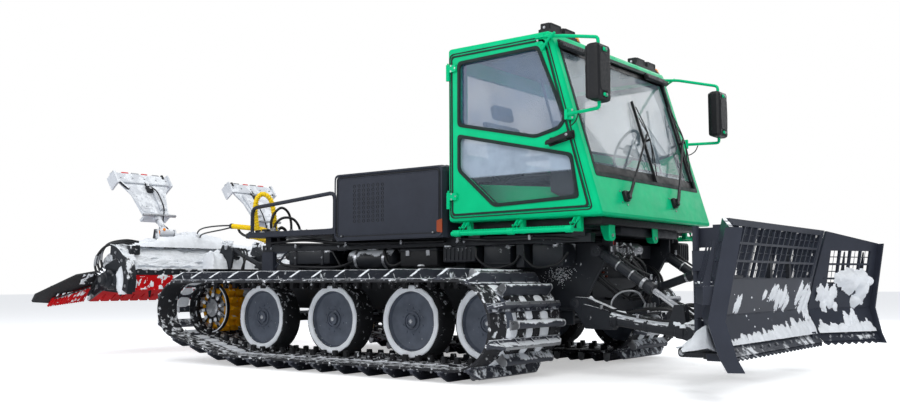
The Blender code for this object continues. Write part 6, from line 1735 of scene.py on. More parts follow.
def pitch_trim(maker):
    """The centre cylinder's gland, end cap, ports and short hoses."""
    base, eye_at = PITCH_PINS
    way = (Vector(eye_at) - Vector(base)).normalized()
    for a, b, radius, material in ((0.050, 0.066, 0.039, BLACK_STEEL), (0.325, 0.362, 0.0405, BLACK_STEEL),
                                   (0.290, 0.312, 0.0395, STEEL)):
        maker.rod(along_line(base, eye_at, a), along_line(base, eye_at, b), radius, material, 32,
                  bevel=0.002)
    for distance in (0.09, 0.315):
        at = along_line(base, eye_at, distance) + Vector((0, 0.034, 0))
        maker.rod(at, at + Vector((0, 0.018, 0)), 0.013, BLACK_STEEL, 14)
        fitting(maker, at + Vector((0, 0.016, 0)), -way + Vector((0, 0.5, 0)), 0.009)
    first = along_line(base, eye_at, 0.280) + Vector((0, 0.068, 0))
    maker.pipe([first, along_line(base, eye_at, 0.22) + Vector((0, 0.074, 0)),
                along_line(base, eye_at, 0.12) + Vector((0, 0.062, 0)),
                along_line(base, eye_at, 0.06) + Vector((0, 0.052, -0.01))], 0.009, HOSE, 10, 8)


alone(pitch_trim, "pitch_barrel_trim", "pitch_barrel")


def nose_gear(maker):
    """Valve block with its spools, fittings and cap between the nose plates, and the plate behind."""
    maker.box((2.06, -0.500, 0.965), (2.24, -0.10, 1.125), BLACK_STEEL, 0.008)
    maker.box((2.235, -0.46, 0.985), (2.300, -0.14, 1.085), STEEL, 0.008, 2)
    for k in range(5):
        y = -0.425 + k * 0.062
        maker.box((2.296, y - 0.020, 0.992), (2.330, y + 0.020, 1.078), STEEL, 0.005)
        maker.rod((2.313, y, 1.076), (2.313, y, 1.106), 0.014, BLACK_PLASTIC if k % 2 else CHROME, 14,
                  bevel=0.002)
        fitting(maker, (2.328, y, 1.018), (1, 0, -0.5), 0.010, CHROME)
        fitting(maker, (2.328, y, 1.050), (1, 0, 0.2), 0.009)
    maker.rod((2.295, -0.475, 1.085), (2.295, -0.475, 1.120), 0.020, RED_CAP, 18, bevel=0.003)
    maker.rod((2.295, -0.475, 1.05), (2.295, -0.475, 1.085), 0.014, STEEL, 12)
    maker.box((2.02, 0.05, 0.985), (2.20, 0.46, 1.105), BLACK_STEEL, 0.008)
    maker.lathe([(0.0, -0.10), (0.05, -0.095), (0.056, -0.08), (0.056, 0.08), (0.05, 0.095), (0.0, 0.10)],
                (2.26, -0.02, 1.055), (0, 1, 0),
                STEEL, 28)
    for y in (-0.09, 0.05):
        maker.box((2.215, y - 0.010, 0.985), (2.305, y + 0.010, 1.010), BLACK_STEEL, 0.002)
    maker.box((1.98, -0.53, 0.665), (2.03, 0.53, 1.00), BLACK_STEEL, 0.006)
    maker.box((2.025, -0.53, 0.70), (2.055, 0.53, 0.745), BLACK_STEEL_SNOW, 0.004)
    for k in range(9):
        maker.bolt((2.031, -0.48 + k * 0.12, 0.96), (1, 0, 0), 0.011, STEEL)
    for row in range(4):
        for k in range(6):
            y = -0.40 + k * 0.06
            maker.rod((2.028, y, 0.79 + row * 0.035), (2.050, y, 0.79 + row * 0.035), 0.009,
                      ORANGE if (k + row) % 3 == 0 else STEEL, 8)


def nose_hoses(maker):
    """Hoses from the valve block down to the push frame."""
    hoses = (((2.36, -0.425, 1.000), (2.42, -0.42, 0.93), (2.46, -0.38, 0.82), (2.44, -0.32, 0.72),
              (2.36, -0.28, 0.66)),
             ((2.36, -0.363, 1.000), (2.45, -0.36, 0.92), (2.51, -0.30, 0.80), (2.50, -0.20, 0.70),
              (2.42, -0.12, 0.64)),
             ((2.36, -0.301, 1.000), (2.44, -0.26, 0.90), (2.47, -0.20, 0.80), (2.42, -0.16, 0.72),
              (2.30, -0.14, 0.68)),
             ((2.36, -0.239, 1.000), (2.43, -0.22, 0.95), (2.46, -0.20, 0.88), (2.42, -0.18, 0.79),
              (2.33, -0.15, 0.72), (2.22, -0.12, 0.70)),
             ((2.06, -0.52, 0.93), (2.16, -0.50, 0.86), (2.26, -0.47, 0.77), (2.34, -0.40, 0.68),
              (2.36, -0.30, 0.63)),
             ((2.06, -0.49, 0.90), (2.13, -0.46, 0.82), (2.21, -0.42, 0.74), (2.25, -0.34, 0.67),
              (2.18, -0.26, 0.63), (2.06, -0.22, 0.64)),
             ((2.05, 0.30, 0.95), (2.20, 0.32, 0.93), (2.34, 0.28, 0.84), (2.38, 0.20, 0.74),
              (2.30, 0.12, 0.66), (2.05, 0.10, 0.63)),
             ((2.05, 0.42, 0.93), (2.22, 0.44, 0.90), (2.32, 0.42, 0.80), (2.32, 0.36, 0.70),
              (2.20, 0.30, 0.63), (2.05, 0.28, 0.61)))
    for points in hoses:
        maker.pipe(points, 0.0125, HOSE, 10, 8)
    for points in (((2.345, -0.425, 1.06), (2.40, -0.44, 1.08), (2.43, -0.47, 1.03), (2.41, -0.50, 0.96),
                    (2.32, -0.52, 0.92)),
                   ((2.345, -0.363, 1.06), (2.40, -0.37, 1.075), (2.44, -0.38, 1.02), (2.42, -0.42, 0.93),
                    (2.33, -0.47, 0.88))):
        maker.pipe(points, 0.0095, BELT, 10, 8)


alone(nose_gear, "nose_gear", "chassis")
hung = alone(nose_hoses, "nose_hoses", None)
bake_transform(hung)


def push_hoses(maker):
    """Hoses laid over the push frame, clamped to its tubes, and a manifold at the foot of the tower."""
    maker.box((2.44, -0.40, 0.505), (2.56, -0.16, 0.565), BLACK_STEEL, 0.008)
    for k in range(4):
        fitting(maker, (2.53, -0.375 + k * 0.06, 0.565), (0.3, 0, 1), 0.010)
        fitting(maker, (2.55, -0.375 + k * 0.06, 0.535), (1, 0, 0.1), 0.010, CHROME)
    for points, radius, material in (
            (((2.58, -0.375, 0.54), (2.68, -0.40, 0.56), (2.80, -0.36, 0.55), (2.90, -0.28, 0.50),
              (2.96, -0.22, 0.47)), 0.0115, HOSE),
            (((2.58, -0.315, 0.54), (2.70, -0.34, 0.60), (2.82, -0.32, 0.60), (2.92, -0.26, 0.53),
              (2.97, -0.20, 0.47)), 0.0115, HOSE),
            (((2.58, -0.255, 0.54), (2.68, -0.22, 0.57), (2.80, -0.18, 0.54), (2.90, -0.20, 0.48)), 0.0115,
             HOSE),
            (((2.54, -0.375, 0.60), (2.50, -0.43, 0.69), (2.41, -0.50, 0.70), (2.335, -0.53, 0.645),
              (2.32, -0.545, 0.56), (2.38, -0.55, 0.50)), 0.0085,
             STEEL),
            (((2.54, -0.315, 0.60), (2.56, -0.30, 0.68), (2.50, -0.22, 0.72), (2.42, -0.12, 0.66),
              (2.46, -0.06, 0.58)), 0.0115, HOSE),
            (((2.54, 0.05, 0.52), (2.66, 0.10, 0.57), (2.78, 0.20, 0.55), (2.90, 0.30, 0.48),
              (2.98, 0.36, 0.44)), 0.0115, HOSE),
            (((2.54, 0.15, 0.52), (2.66, 0.22, 0.58), (2.80, 0.34, 0.55), (2.90, 0.44, 0.47),
              (2.99, 0.50, 0.44)), 0.0115, HOSE),
            (((2.46, -0.55, 0.53), (2.58, -0.52, 0.55), (2.72, -0.48, 0.56), (2.86, -0.44, 0.53),
              (2.97, -0.40, 0.46)), 0.0115, HOSE)):
        maker.pipe(points, radius, material, 10, 8)
    for y in (-0.45, -0.30, 0.30, 0.48):
        maker.rod((2.985, y - 0.012, 0.395), (2.985, y + 0.012, 0.395), 0.072, STEEL, 24)
    maker.box((2.93, -0.30, 0.415), (3.03, -0.18, 0.475), BLACK_STEEL, 0.008)
    maker.box((2.42, -0.02, 0.44), (2.56, 0.24, 0.525), BLACK_STEEL_SNOW, 0.008)
    snow_field(maker, flat_at(0.445), (2.93, 3.06), (-0.55, 0.55), 0.014,
               lambda a, b: 0.016 * (1 - abs(a - 2.99) / 0.07) + 0.022 * rough_noise(a, b, 18.0, 8.0))
    snow_field(maker, lambda a, b, out: Vector((2.49 + a, b, 0.500 + out)), (-0.035, 0.035), (-0.56, 0.56),
               0.012,
               lambda a, b: 0.008 + 0.022 * rough_noise(a, b, 22.0, 8.0))


alone(push_hoses, "push_hoses", "push_frame")


def carrier_trim(maker):
    """Bolts, weld blocks, grease lines and snow on the blade carrier."""
    for z in (0.36, 0.50, 0.64):
        for y in (-0.125, 0.125):
            maker.bolt((3.099, y, z), (-1, 0, 0), 0.012, STEEL)
    maker.box((3.085, -0.165, 0.56), (3.175, 0.165, 0.585), BLACK_STEEL, 0.004)
    maker.pipe([(3.095, -0.10, 0.74), (3.05, -0.14, 0.68), (3.03, -0.16, 0.58), (3.06, -0.17, 0.50)], 0.009,
               HOSE, 10, 8)
    maker.pipe([(3.095, 0.10, 0.74), (3.04, 0.14, 0.70), (3.02, 0.17, 0.60), (3.05, 0.17, 0.50)], 0.009,
               HOSE, 10, 8)
    snow_field(maker, flat_at(0.586), (3.09, 3.17), (-0.16, 0.16), 0.012,
               lambda a, b: 0.010 + 0.024 * rough_noise(a, b, 27.0, 10.0))


alone(carrier_trim, "carrier_trim", "carrier")

# ---------------------------------------------------------------- blade and wings

BLADE_X = 3.555
BLADE_PROFILE = ((0.0, 1.22), (-0.113, 0.80), (-0.178, 0.53), (-0.10, 0.30), (-0.04, 0.21))
WING_AXIS = (3.317, -1.147)
WING_TURN = radians(27)
WING_FRAME = turned((*WING_AXIS, 0), WING_TURN, "Z")
MESH_PITCH = 0.129
MESH_HOLE = 0.111


def blade_front(z):
    """How far ahead the blade's face lies at a height."""
    for (x0, z0), (x1, z1) in zip(BLADE_PROFILE, BLADE_PROFILE[1:]):
        if z >= z1:
            break
    return BLADE_X + x0 + (x1 - x0) * (z - z0) / (z1 - z0)


def wing_place(y, z, out=0.0):
    """A point on the right wing's face: y in the wing laid straight, z its height."""
    ahead = blade_front(z) - WING_AXIS[0]
    gap = max(0.0, ahead * sin(radians(15)) - 0.026) / cos(radians(15))
    x = ahead * cos(WING_TURN) - gap * sin(WING_TURN) + out
    dy = y - WING_AXIS[1]
    return Vector((WING_AXIS[0] + x * cos(WING_TURN) - dy * sin(WING_TURN),
                   WING_AXIS[1] + x * sin(WING_TURN) + dy * cos(WING_TURN), z))


def blade_place(y, z, out=0.0):
    """A point on the blade's face."""
    return Vector((blade_front(z) + out, y, z))


def mesh_bars(maker, place, holes, material):
    """A finer wire between the bars of each hole, up and across."""
    for y0, z0 in holes:
        middle_y, middle_z = y0 + MESH_HOLE / 2, z0 + MESH_HOLE / 2
        maker.pipe([place(middle_y, z0 - 0.004, -0.012), place(middle_y, z0 + MESH_HOLE + 0.004, -0.012)],
                   0.0026, material, 6)
        maker.pipe([place(y0 - 0.004, middle_z, -0.012), place(y0 + MESH_HOLE + 0.004, middle_z, -0.012)],
                   0.0045, material, 6)


def blade_dress(maker):
    """Fine mesh, edge bolts, weld lines, and snow on the face and above the cutting edge."""
    mesh_bars(maker, blade_place,
              [(-1.023 + c * MESH_PITCH, 0.807 + r * MESH_PITCH) for c in range(16) for r in range(3)],
              SLATE)
    for y in [-1.02 + k * 0.17 for k in range(13)]:
        at = blade_place(y, 0.285, 0.016)
        maker.bolt(at, (0.8, 0, 0.5), 0.011, STEEL, 0.45)
    for z in (0.80, 0.53, 0.30):
        maker.pipe([blade_place(-1.10, z, 0.001), blade_place(1.10, z, 0.001)], 0.0035, SLATE, 6)
    for y in (-1.045, 1.045):
        maker.pipe([blade_place(y, 1.19, 0.001), blade_place(y, 0.82, 0.001)], 0.003, SLATE, 6)
    for y in (-0.055, 0.40):
        maker.slab([[(0.0, 0.80), (0.0, 1.165), (-0.012, 1.165), (-0.030, 0.80)]], "y", y - 0.028,
                   y + 0.028, BLACK_STEEL, 0,
                   Matrix.Translation((3.475, 0, 0)))
    maker.pipe([(3.50, -0.98, 0.815), (3.45, -0.62, 0.815)], 0.009, BLACK_STEEL, 6)
    snow_field(maker, blade_place, (-1.10, 1.10), (0.318, 0.56), 0.011, foot_height(11.0, 0.05))
    spots = ((-0.60, 0.60, 0.06, 0.06), (-0.06, 0.668, 0.016, 0.040), (0.16, 0.68, 0.08, 0.07),
             (0.28, 0.63, 0.06, 0.09), (0.40, 0.64, 0.05, 0.09), (0.50, 0.60, 0.04, 0.07),
             (0.80, 0.66, 0.05, 0.10), (0.93, 0.62, 0.06, 0.12),
             (1.03, 0.60, 0.05, 0.13), (1.04, 0.48, 0.05, 0.10), (-0.85, 0.64, 0.04, 0.05))
    snow_field(maker, blade_place, (-1.10, 1.10), (0.44, 0.80), 0.009,
               streaks(spots, 3.0, 0.35, 26.0, 0.62, 0.020))
    dice = random.Random(17)
    for k in range(16):
        y, z = dice.uniform(-1.05, 1.05), dice.uniform(0.42, 0.70)
        size = dice.uniform(0.003, 0.009)
        lump(maker, turned(blade_place(y, z), radians(90)), (size, size * dice.uniform(0.6, 1.3)),
             -0.002, 0.003, dice, sides=7)
    for y in (-0.90, -0.45, 0.0, 0.45, 0.90):
        lump(maker, Matrix.Translation((3.36, y + 0.12, 0.8005)), (0.030, 0.09), -0.004, 0.02, dice)
    snow_field(maker, flat_at(0.460), (3.17, 3.36), (-1.08, 1.08), 0.02,
               lambda a, b: 0.018 + 0.03 * rough_noise(a, b, 9.0, 6.0) if abs(b) > 0.80 else 0.0)
    for side in (-1, 1):
        y = side * 1.0
        maker.box((3.335, y - 0.055, 0.215), (3.475, y + 0.055, 0.335), SLATE, 0.005)
        maker.box((3.300, y - 0.030, 0.225), (3.345, y + 0.030, 0.315), BLACK_STEEL, 0.004)
        maker.slab([rounded([(3.105, 0.232), (3.31, 0.232), (3.31, 0.300), (3.105, 0.300)], 0.03, 5)], "y",
                   y - 0.022, y + 0.022,
                   BLACK_STEEL, 0.003)
        for way in (-1, 1):
            maker.rod((3.138, y + way * 0.022, 0.266), (3.138, y + way * 0.034, 0.266), 0.022, STEEL, 18,
                      bevel=0.003)
        snow_field(maker, flat_at(0.298), (3.12, 3.40), (y - 0.10, y + 0.10), 0.012,
                   lambda a, b: max(0.0, (a - 3.12) * 0.75 * (1 - ((b - y) / 0.115) ** 2)
                                    + 0.018 * rough_noise(a, b, 4.0, 10.0)))


def foot_height(seed, extra):
    """Snow lying above the cutting edge: ragged at its top, thick at the bend."""
    def height(a, b):
        top = 0.385 + extra * max(-1.0, min(1.0, a)) + 0.065 * rough_noise(a, 0.0, seed, 9.0)
        top += 0.03 * rough_noise(a, b, seed, 26.0)
        if b > top:
            return 0.0
        return min(0.035, 0.016 + 0.25 * (top - b)) * (0.75 + 0.35 * rough_noise(a, b, seed + 2, 16.0))
    return height


def inside(point, outline):
    """Whether a point lies in a convex outline."""
    turns = []
    for a, b in zip(outline, outline[1:] + outline[:1]):
        turns.append((b[0] - a[0]) * (point[1] - a[1]) - (b[1] - a[1]) * (point[0] - a[0]))
    return all(t >= -1e-9 for t in turns) or all(t <= 1e-9 for t in turns)


def wing_holes():
    """(y, z) of each hole's low outer corner in the wing laid straight."""
    inner, outer = -1.2879, -1.9479
    window = [(inner - 0.05, 0.676), (inner - 0.05, 1.178), (outer + 0.05, 1.078), (outer + 0.05, 0.805),
              (outer + 0.25, 0.676)]
    holes = []
    for row in range(4):
        for column in range(4):
            y0, z0 = outer + 0.05 + 0.031 + column * MESH_PITCH, 0.678 + row * MESH_PITCH
            if all(inside((y, z), window) for y in (y0, y0 + MESH_HOLE) for z in (z0, z0 + MESH_HOLE)):
                holes.append((y0, z0))
    return holes


def wing_base(maker):
    """Fine mesh, edge bolts, gusset ribs on the back and the outer edge's fold."""
    mesh_bars(maker, wing_place, wing_holes(), SLATE)
    for k in range(5):
        maker.bolt(wing_place(-1.34 - k * 0.135, 0.285, 0.016),
                   wing_place(-1.5, 0.5, 0.5) - wing_place(-1.5, 0.5, 0.0), 0.011, STEEL, 0.45)
    for z in (0.80, 0.53, 0.30):
        maker.pipe([wing_place(-1.32 if z > 0.7 else -1.26, z, 0.001), wing_place(-1.93, z, 0.001)], 0.0035,
                   SLATE, 6)
    for y in (-0.22, -0.50, -0.74):
        maker.slab([[(-0.018, 0.66), (-0.018, 0.76), (0.055, 1.04), (0.062, 1.04), (0.02, 0.66)]], "y",
                   y - 0.006, y + 0.006, SLATE, 0, WING_FRAME)
    maker.box((-0.030, -0.74, 0.745), (-0.010, -0.10, 0.765), SLATE, 0.003, 1, WING_FRAME)


def wing_snow_far(maker):
    """The far wing's big lump, its patches and the snow along its foot."""
    spots = ((-1.58, 0.80, 0.12, 0.08), (-1.70, 0.76, 0.15, 0.11), (-1.80, 0.68, 0.08, 0.12),
             (-1.85, 0.77, 0.05, 0.06), (-1.73, 0.60, 0.05, 0.07))
    snow_field(maker, wing_place, (-1.93, -1.28), (0.48, 1.02), 0.010,
               streaks(spots, 8.0, 0.0, 9.0, 0.42, 0.075))
    spots = ((-1.32, 0.66, 0.09, 0.08), (-1.42, 0.60, 0.08, 0.07), (-1.46, 0.67, 0.04, 0.07),
             (-1.36, 0.55, 0.05, 0.05), (-1.50, 0.55, 0.03, 0.05),
             (-1.62, 0.42, 0.035, 0.08), (-1.72, 0.44, 0.035, 0.07), (-1.69, 0.40, 0.03, 0.05))
    snow_field(maker, wing_place, (-1.92, -1.25), (0.34, 0.80), 0.010,
               streaks(spots, 5.0, 0.15, 24.0, 0.55, 0.022))
    snow_field(maker, wing_place, (-1.935, -1.225), (0.318, 0.56), 0.010, foot_height(21.0, -0.005))


def wing_snow_near(maker):
    """The near wing's thinner snow, mostly on the beam behind it."""
    snow_field(maker, wing_place, (-1.935, -1.225), (0.318, 0.50), 0.010, foot_height(31.0, 0.0))
    spots = ((-1.45, 0.62, 0.06, 0.09), (-1.70, 0.55, 0.05, 0.09), (-1.60, 0.70, 0.04, 0.06))
    snow_field(maker, wing_place, (-1.92, -1.25), (0.40, 0.80), 0.011,
               streaks(spots, 15.0, 0.2, 22.0, 0.55, 0.02))
    snow_field(maker, lambda a, b, out: WING_FRAME @ Vector((a, b, 0.7505 + out)), (-0.022, 0.045),
               (-0.72, -0.12), 0.012,
               lambda a, b: 0.014 + 0.03 * rough_noise(a, b, 6.0, 8.0))
    maker.box((-0.13, -0.36, 0.296), (0.100, -0.11, 0.304), BLACK_STEEL, 0.002, 1, WING_FRAME)
    snow_field(maker, lambda a, b, out: WING_FRAME @ Vector((a, b, 0.304 + out)), (-0.13, 0.105),
               (-0.355, -0.115), 0.010,
               lambda a, b: max(0.0,
                                min(0.200, 0.20 - 2.9 * (a - 0.035),
                                    0.010 + 1.10 * (a + 0.13) + 0.02 * rough_noise(a, b, 8.0, 14.0))
                                * (1 - ((b + 0.235) / 0.130) ** 2)))


alone(blade_dress, "blade_dress", "blade")
for word, snow_on in (("right", wing_snow_near), ("left", wing_snow_far)):
    alone(lambda maker: (wing_base(maker), snow_on(maker)), "wing_dress_" + word, "wing_" + word,
          word == "left")


# ---------------------------------------------------------------- tiller, rear lift and track setters

TILLER = (-3.33, 0.82)
TILLER_Y = 1.45
BEAM_Z = 1.190
# (y, height) along the top of the snow on the beam
HEAP = ((-1.37, 1.19), (-1.25, 1.215), (-1.157, 1.26), (-1.02, 1.29), (-0.92, 1.335), (-0.74, 1.34),
        (-0.62, 1.37), (-0.545, 1.385), (-0.327, 1.37),
        (-0.10, 1.32), (0.13, 1.25), (0.37, 1.215), (0.55, 1.25), (0.72, 1.31), (0.96, 1.31), (1.06, 1.25),
        (1.37, 1.19))


def heap_top(y):
    """How high the snow lies on the tiller's beam."""
    for (y0, z0), (y1, z1) in zip(HEAP, HEAP[1:]):
        if y <= y1:
            return z0 + (z1 - z0) * max(0.0, (y - y0) / (y1 - y0))
    return HEAP[-1][1]


def tiller_snow(maker):
    """Packed snow on the hood, the beam and the hitch, bare in places."""

    def on_hood(a, b, out):
        return Vector((TILLER[0] + (0.28 + out) * cos(a), b, TILLER[1] + (0.28 + out) * sin(a)))

    def hood_height(a, b):
        bare = rough_noise(a * 0.8, b * 0.35, 31.0, 7.0) - (0.50 if a > 0.75 else 0.28)
        if bare > 0 or (a < 0.42 and rough_noise(a, b, 33.0, 5.0) > 0.05):
            return 0.0
        share = max(0.0, (a - 0.10) / 1.25)
        return (0.008 + 0.105 * share ** 1.3 + 0.020 * rough_noise(a, b, 35.0, 5.0)
                + 0.008 * rough_noise(a, b, 36.0, 20.0))

    snow_field(maker, on_hood, (0.10, 1.62), (-1.405, 1.405), 0.017, hood_height)

    def beam_height(a, b):
        across = (a + 3.295) / 0.185
        if abs(across) >= 1:
            return 0.0
        ear = min(1.0, max(0.0, 0.20 - abs(abs(b) - 0.84)) / 0.05) * min(1.0, max(0.0, (-3.215 - a) / 0.03))
        top = (heap_top(b) - BEAM_Z) * (1 - 0.72 * ear)
        thick = top + 0.030 * rough_noise(a, b, 37.0, 5.0) + 0.012 * rough_noise(a, b, 38.0, 18.0)
        return thick * (1 - across * across) ** 0.6

    snow_field(maker, flat_at(BEAM_Z), (-3.48, -3.11), (-1.36, 1.36), 0.017, beam_height)

    def hitch_height(a, b):
        edge = min(1.0, (0.47 - abs(b)) / 0.06, (a + 3.12) / 0.04, (-2.87 - a) / 0.05)
        if edge <= 0:
            return 0.0
        uneven = 0.07 * rough_noise(a, b, 41.0, 6.0)
        return edge ** 0.7 * (0.25 - 0.75 * (a + 3.12) + uneven + 0.02 * rough_noise(a, b, 42.0, 19.0))

    snow_field(maker, flat_at(0.945), (-3.12, -2.87), (-0.47, 0.47), 0.015, hitch_height)
    dice = random.Random(23)
    for _ in range(46):
        y = dice.uniform(-1.30, 0.40)
        z = heap_top(y) - (0.10 if abs(abs(y) - 0.84) < 0.15 else 0.03)
        lump(maker, Matrix.Translation((dice.uniform(-3.38, -3.18), y, z)),
             (dice.uniform(0.015, 0.05), dice.uniform(0.015, 0.05)), -0.02,
             dice.uniform(0.006, 0.030), dice, rough=0.010, sides=9)


alone(tiller_snow, "tiller_snow", "rear_lift")


def tiller_end(maker):
    """Forked bracket, drive motor with its hoses, hinge bolts and the red rubber apron of one side."""
    x0, z0 = TILLER
    for outer, inner, first, last, low, high, edge in ((0.385, 0.275, -24, 86, -1.530, -1.452, 0.010),
                                                       (0.395, 0.372, -20, 84, -1.545, -1.440, 0.003)):
        span = (18, radians(first), radians(last))
        arc = ring(TILLER, outer, *span) + list(reversed(ring(TILLER, inner, *span)))
        maker.slab([arc], "y", low, high, BLACK_STEEL_SNOW, edge)
    for angle in (-12, 14, 40, 66):
        maker.bolt((x0 + 0.325 * cos(radians(angle)), -1.530, z0 + 0.325 * sin(radians(angle))), (0, -1, 0),
                   0.014, STEEL)
    maker.slab([rounded([(x0 - 0.19, z0 - 0.10), (x0 + 0.27, z0 - 0.13), (x0 + 0.29, z0 + 0.08),
                         (x0 + 0.06, z0 + 0.24), (x0 - 0.17, z0 + 0.16)],
                        0.05, 5)], "y", -1.478, -1.4505, BLACK_STEEL_SNOW, 0.006)
    maker.lathe([(0.0, 0.158), (0.035, 0.158), (0.060, 0.150), (0.066, 0.120), (0.082, 0.115),
                 (0.086, 0.060), (0.110, 0.052), (0.112, 0.024),
                 (0.112, 0.0)], (x0, -1.476, z0), (0, -1, 0), BLACK_STEEL, 36)
    maker.lathe([(0.0, 0.0), (0.030, 0.0), (0.034, -0.006)], (x0, -1.6345, z0), (0, -1, 0), ENGINE, 24)
    for k in range(6):
        angle = radians(30 + 60 * k)
        maker.bolt((x0 + 0.098 * cos(angle), -1.527, z0 + 0.098 * sin(angle)), (0, -1, 0), 0.010, STEEL)
    lines = (((-3.06, -1.42, 1.205), (-3.18, -1.49, 1.225), (-3.36, -1.545, 1.190), (-3.49, -1.565, 1.090),
              (-3.525, -1.570, 0.985),
              (-3.49, -1.570, 0.905), (-3.405, -1.565, 0.865)),
             ((-3.08, -1.38, 1.225), (-3.20, -1.45, 1.240), (-3.37, -1.515, 1.205), (-3.49, -1.535, 1.115),
              (-3.52, -1.540, 1.010),
              (-3.47, -1.545, 0.925), (-3.395, -1.545, 0.890)),
             ((-3.07, -1.33, 1.235), (-3.20, -1.41, 1.255), (-3.38, -1.485, 1.225), (-3.485, -1.505, 1.145),
              (-3.505, -1.510, 1.050),
              (-3.46, -1.520, 0.960), (-3.385, -1.525, 0.915)))
    for points in lines:
        maker.pipe(points, 0.0135, HOSE, 10, 8)
        way = Vector(points[-2]) - Vector(points[-1])
        fitting(maker, Vector(points[-1]), way, 0.0155, CHROME)
        line = curve_through(points, 8)
        maker.pipe(line[24:34], 0.0165, STEEL, 10)
    maker.box((-3.11, -1.455, 1.09), (-3.03, -1.33, 1.200), BLACK_STEEL_SNOW, 0.010)
    snow_field(maker, lambda a, b, out: Vector((a, -1.479 - out, b)), (x0 + 0.06, x0 + 0.30),
               (z0 - 0.16, z0 + 0.20), 0.013,
               lambda a, b: 0.030 * (1 - (hypot((a - x0 - 0.17) / 0.10, (b - z0 + 0.01) / 0.17)) ** 2)
               + 0.014 * rough_noise(a, b, 43.0, 11.0))
    snow_field(maker,
               lambda a, b, out: Vector((x0 + (0.386 + out) * cos(a), b, z0 + (0.386 + out) * sin(a))),
               (0.55, 1.48), (-1.535, -1.41),
               0.013, lambda a, b: 0.016 + 0.030 * rough_noise(a, b, 44.0, 7.0))
    # rubber apron below the hood's front edge, of ribbed lengths with a torn foot
    dice = random.Random(29)
    y, foot = -1.415, []
    while y < -0.44:
        foot.append((y, 0.700 + dice.uniform(-0.010, 0.014)))
        foot.append((y + 0.010, 0.712 + dice.uniform(-0.010, 0.010)))
        y += 0.022
    maker.slab([foot + [(-0.435, 0.700), (-0.435, 0.885), (-1.415, 0.885)]], "x", -3.046, -3.036, RED)
    for k in range(9):
        y = -1.36 + 0.112 * k
        maker.box((-3.040, y - 0.008, 0.725), (-3.028, y + 0.008, 0.860), RED, 0.003)
    maker.box((-3.056, -1.42, 0.872), (-3.026, -0.435, 0.945), BLACK_STEEL_SNOW, 0.006)
    for k in range(9):
        maker.bolt((-3.026, -1.36 + 0.112 * k, 0.905), (1, 0, 0), 0.010, STEEL)
    snow_field(maker, lambda a, b, out: Vector((-3.034 + out, a, b)), (-1.41, -0.44), (0.715, 0.955), 0.012,
               lambda a, b: 0.024 * rough_noise(a, b, 47.0, 11.0) - 0.003 + (0.012 if b > 0.92 else 0.0))


both(tiller_end, "tiller_end", "rear_lift")


def comb_trim(maker):
    """Clamp bar, bolts and ribs on the rear comb."""
    top, low = Vector((-3.61, 0, 0.86)), Vector((-3.86, 0, 0.575))
    along = (low - top).normalized()
    out = Vector((along.z, 0, -along.x))
    frame_at = Matrix(((along.x, 0, out.x, top.x), (0, 1, 0, 0), (along.z, 0, out.z, top.z), (0, 0, 0, 1)))
    maker.box((0.010, -1.40, 0.012), (0.050, 1.40, 0.024), BLACK_STEEL_SNOW, 0.003, 1, frame_at)
    for k in range(23):
        y = -1.36 + k * 0.1236
        maker.rod(frame_at @ Vector((0.03, y, 0.024)), frame_at @ Vector((0.03, y, 0.034)), 0.010, STEEL, 6)
        for shift in (-0.03, 0.03):
            maker.box((0.055, y + shift - 0.006, 0.010), (0.33, y + shift + 0.006, 0.021), RED, 0.003, 1,
                      frame_at)


alone(comb_trim, "comb_trim", "rear_lift")

FLAP_RAKE = atan2(0.285, 0.25)


def flap_trim(maker):
    """Red comb along the side flap's foot, its clamp strip and bolts, and stiffening ribs on the back."""
    way = Vector((cos(FLAP_RAKE), 0, sin(FLAP_RAKE)))
    hinge = Matrix.Translation((-3.84, -TILLER_Y - 0.022, 0.62))
    flap = hinge @ Matrix.Rotation(radians(9), 4,
                                   way) @ hinge.inverted() @ Matrix.Translation((-3.84, 0, 0.62)) \
        @ Matrix.Rotation(-FLAP_RAKE, 4, "Y")
    inner = 1.496
    teeth, y = [], -inner - 0.015
    while y > -inner - 0.47:
        teeth += [(-0.030, y), (-0.030, y - 0.016), (-0.014, y - 0.020), (-0.014, y - 0.026)]
        y -= 0.030
    outline = teeth + [(-0.010, -inner - 0.485), (0.085, -inner - 0.470), (0.195, -inner - 0.015)]
    maker.slab([outline], "z", -0.026, -0.0125, RED, 0, flap)
    maker.slab([[(0.080, -inner - 0.455), (0.100, -inner - 0.452), (0.208, -inner - 0.02),
                 (0.186, -inner - 0.02)]], "z", -0.034, -0.024,
               BLACK_PLASTIC, 0.002, flap)
    for k in range(8):
        share = (k + 0.5) / 8
        at = flap @ Vector((0.197 - 0.105 * share, -inner - 0.02 - 0.43 * share, -0.034))
        maker.rod(at, at + (flap.to_3x3() @ Vector((0, 0, -0.010))), 0.009, STEEL, 6)
    for k in range(11):
        y = -inner - 0.05 - 0.040 * k
        maker.box((-0.012, y - 0.005, -0.034), (0.165 - 0.0095 * k, y + 0.005, -0.025), RED, 0.002, 1, flap)
    for y in (0.10, 0.24, 0.38, 0.52):
        maker.box((0.035 + 0.06 * (y > 0.45), -inner - y - 0.008, 0.0115),
                  (0.34 - 0.25 * max(0.0, y - 0.1), -inner - y + 0.008, 0.030),
                  BLACK_PLASTIC, 0.003, 1, flap)
    snow_field(maker, lambda a, b, out: flap @ Vector((a, b, -0.0265 - out)), (-0.02, 0.15),
               (-inner - 0.44, -inner - 0.03), 0.012,
               lambda a, b: 0.020 * rough_noise(a, b, 51.0, 14.0) - 0.004)
    snow_field(maker, lambda a, b, out: flap @ Vector((a, b, -0.0125 - out)), (0.24, 0.39),
               (-inner - 0.20, -inner - 0.02), 0.012,
               lambda a, b: 0.026 * rough_noise(a, b, 53.0, 12.0) - 0.002)


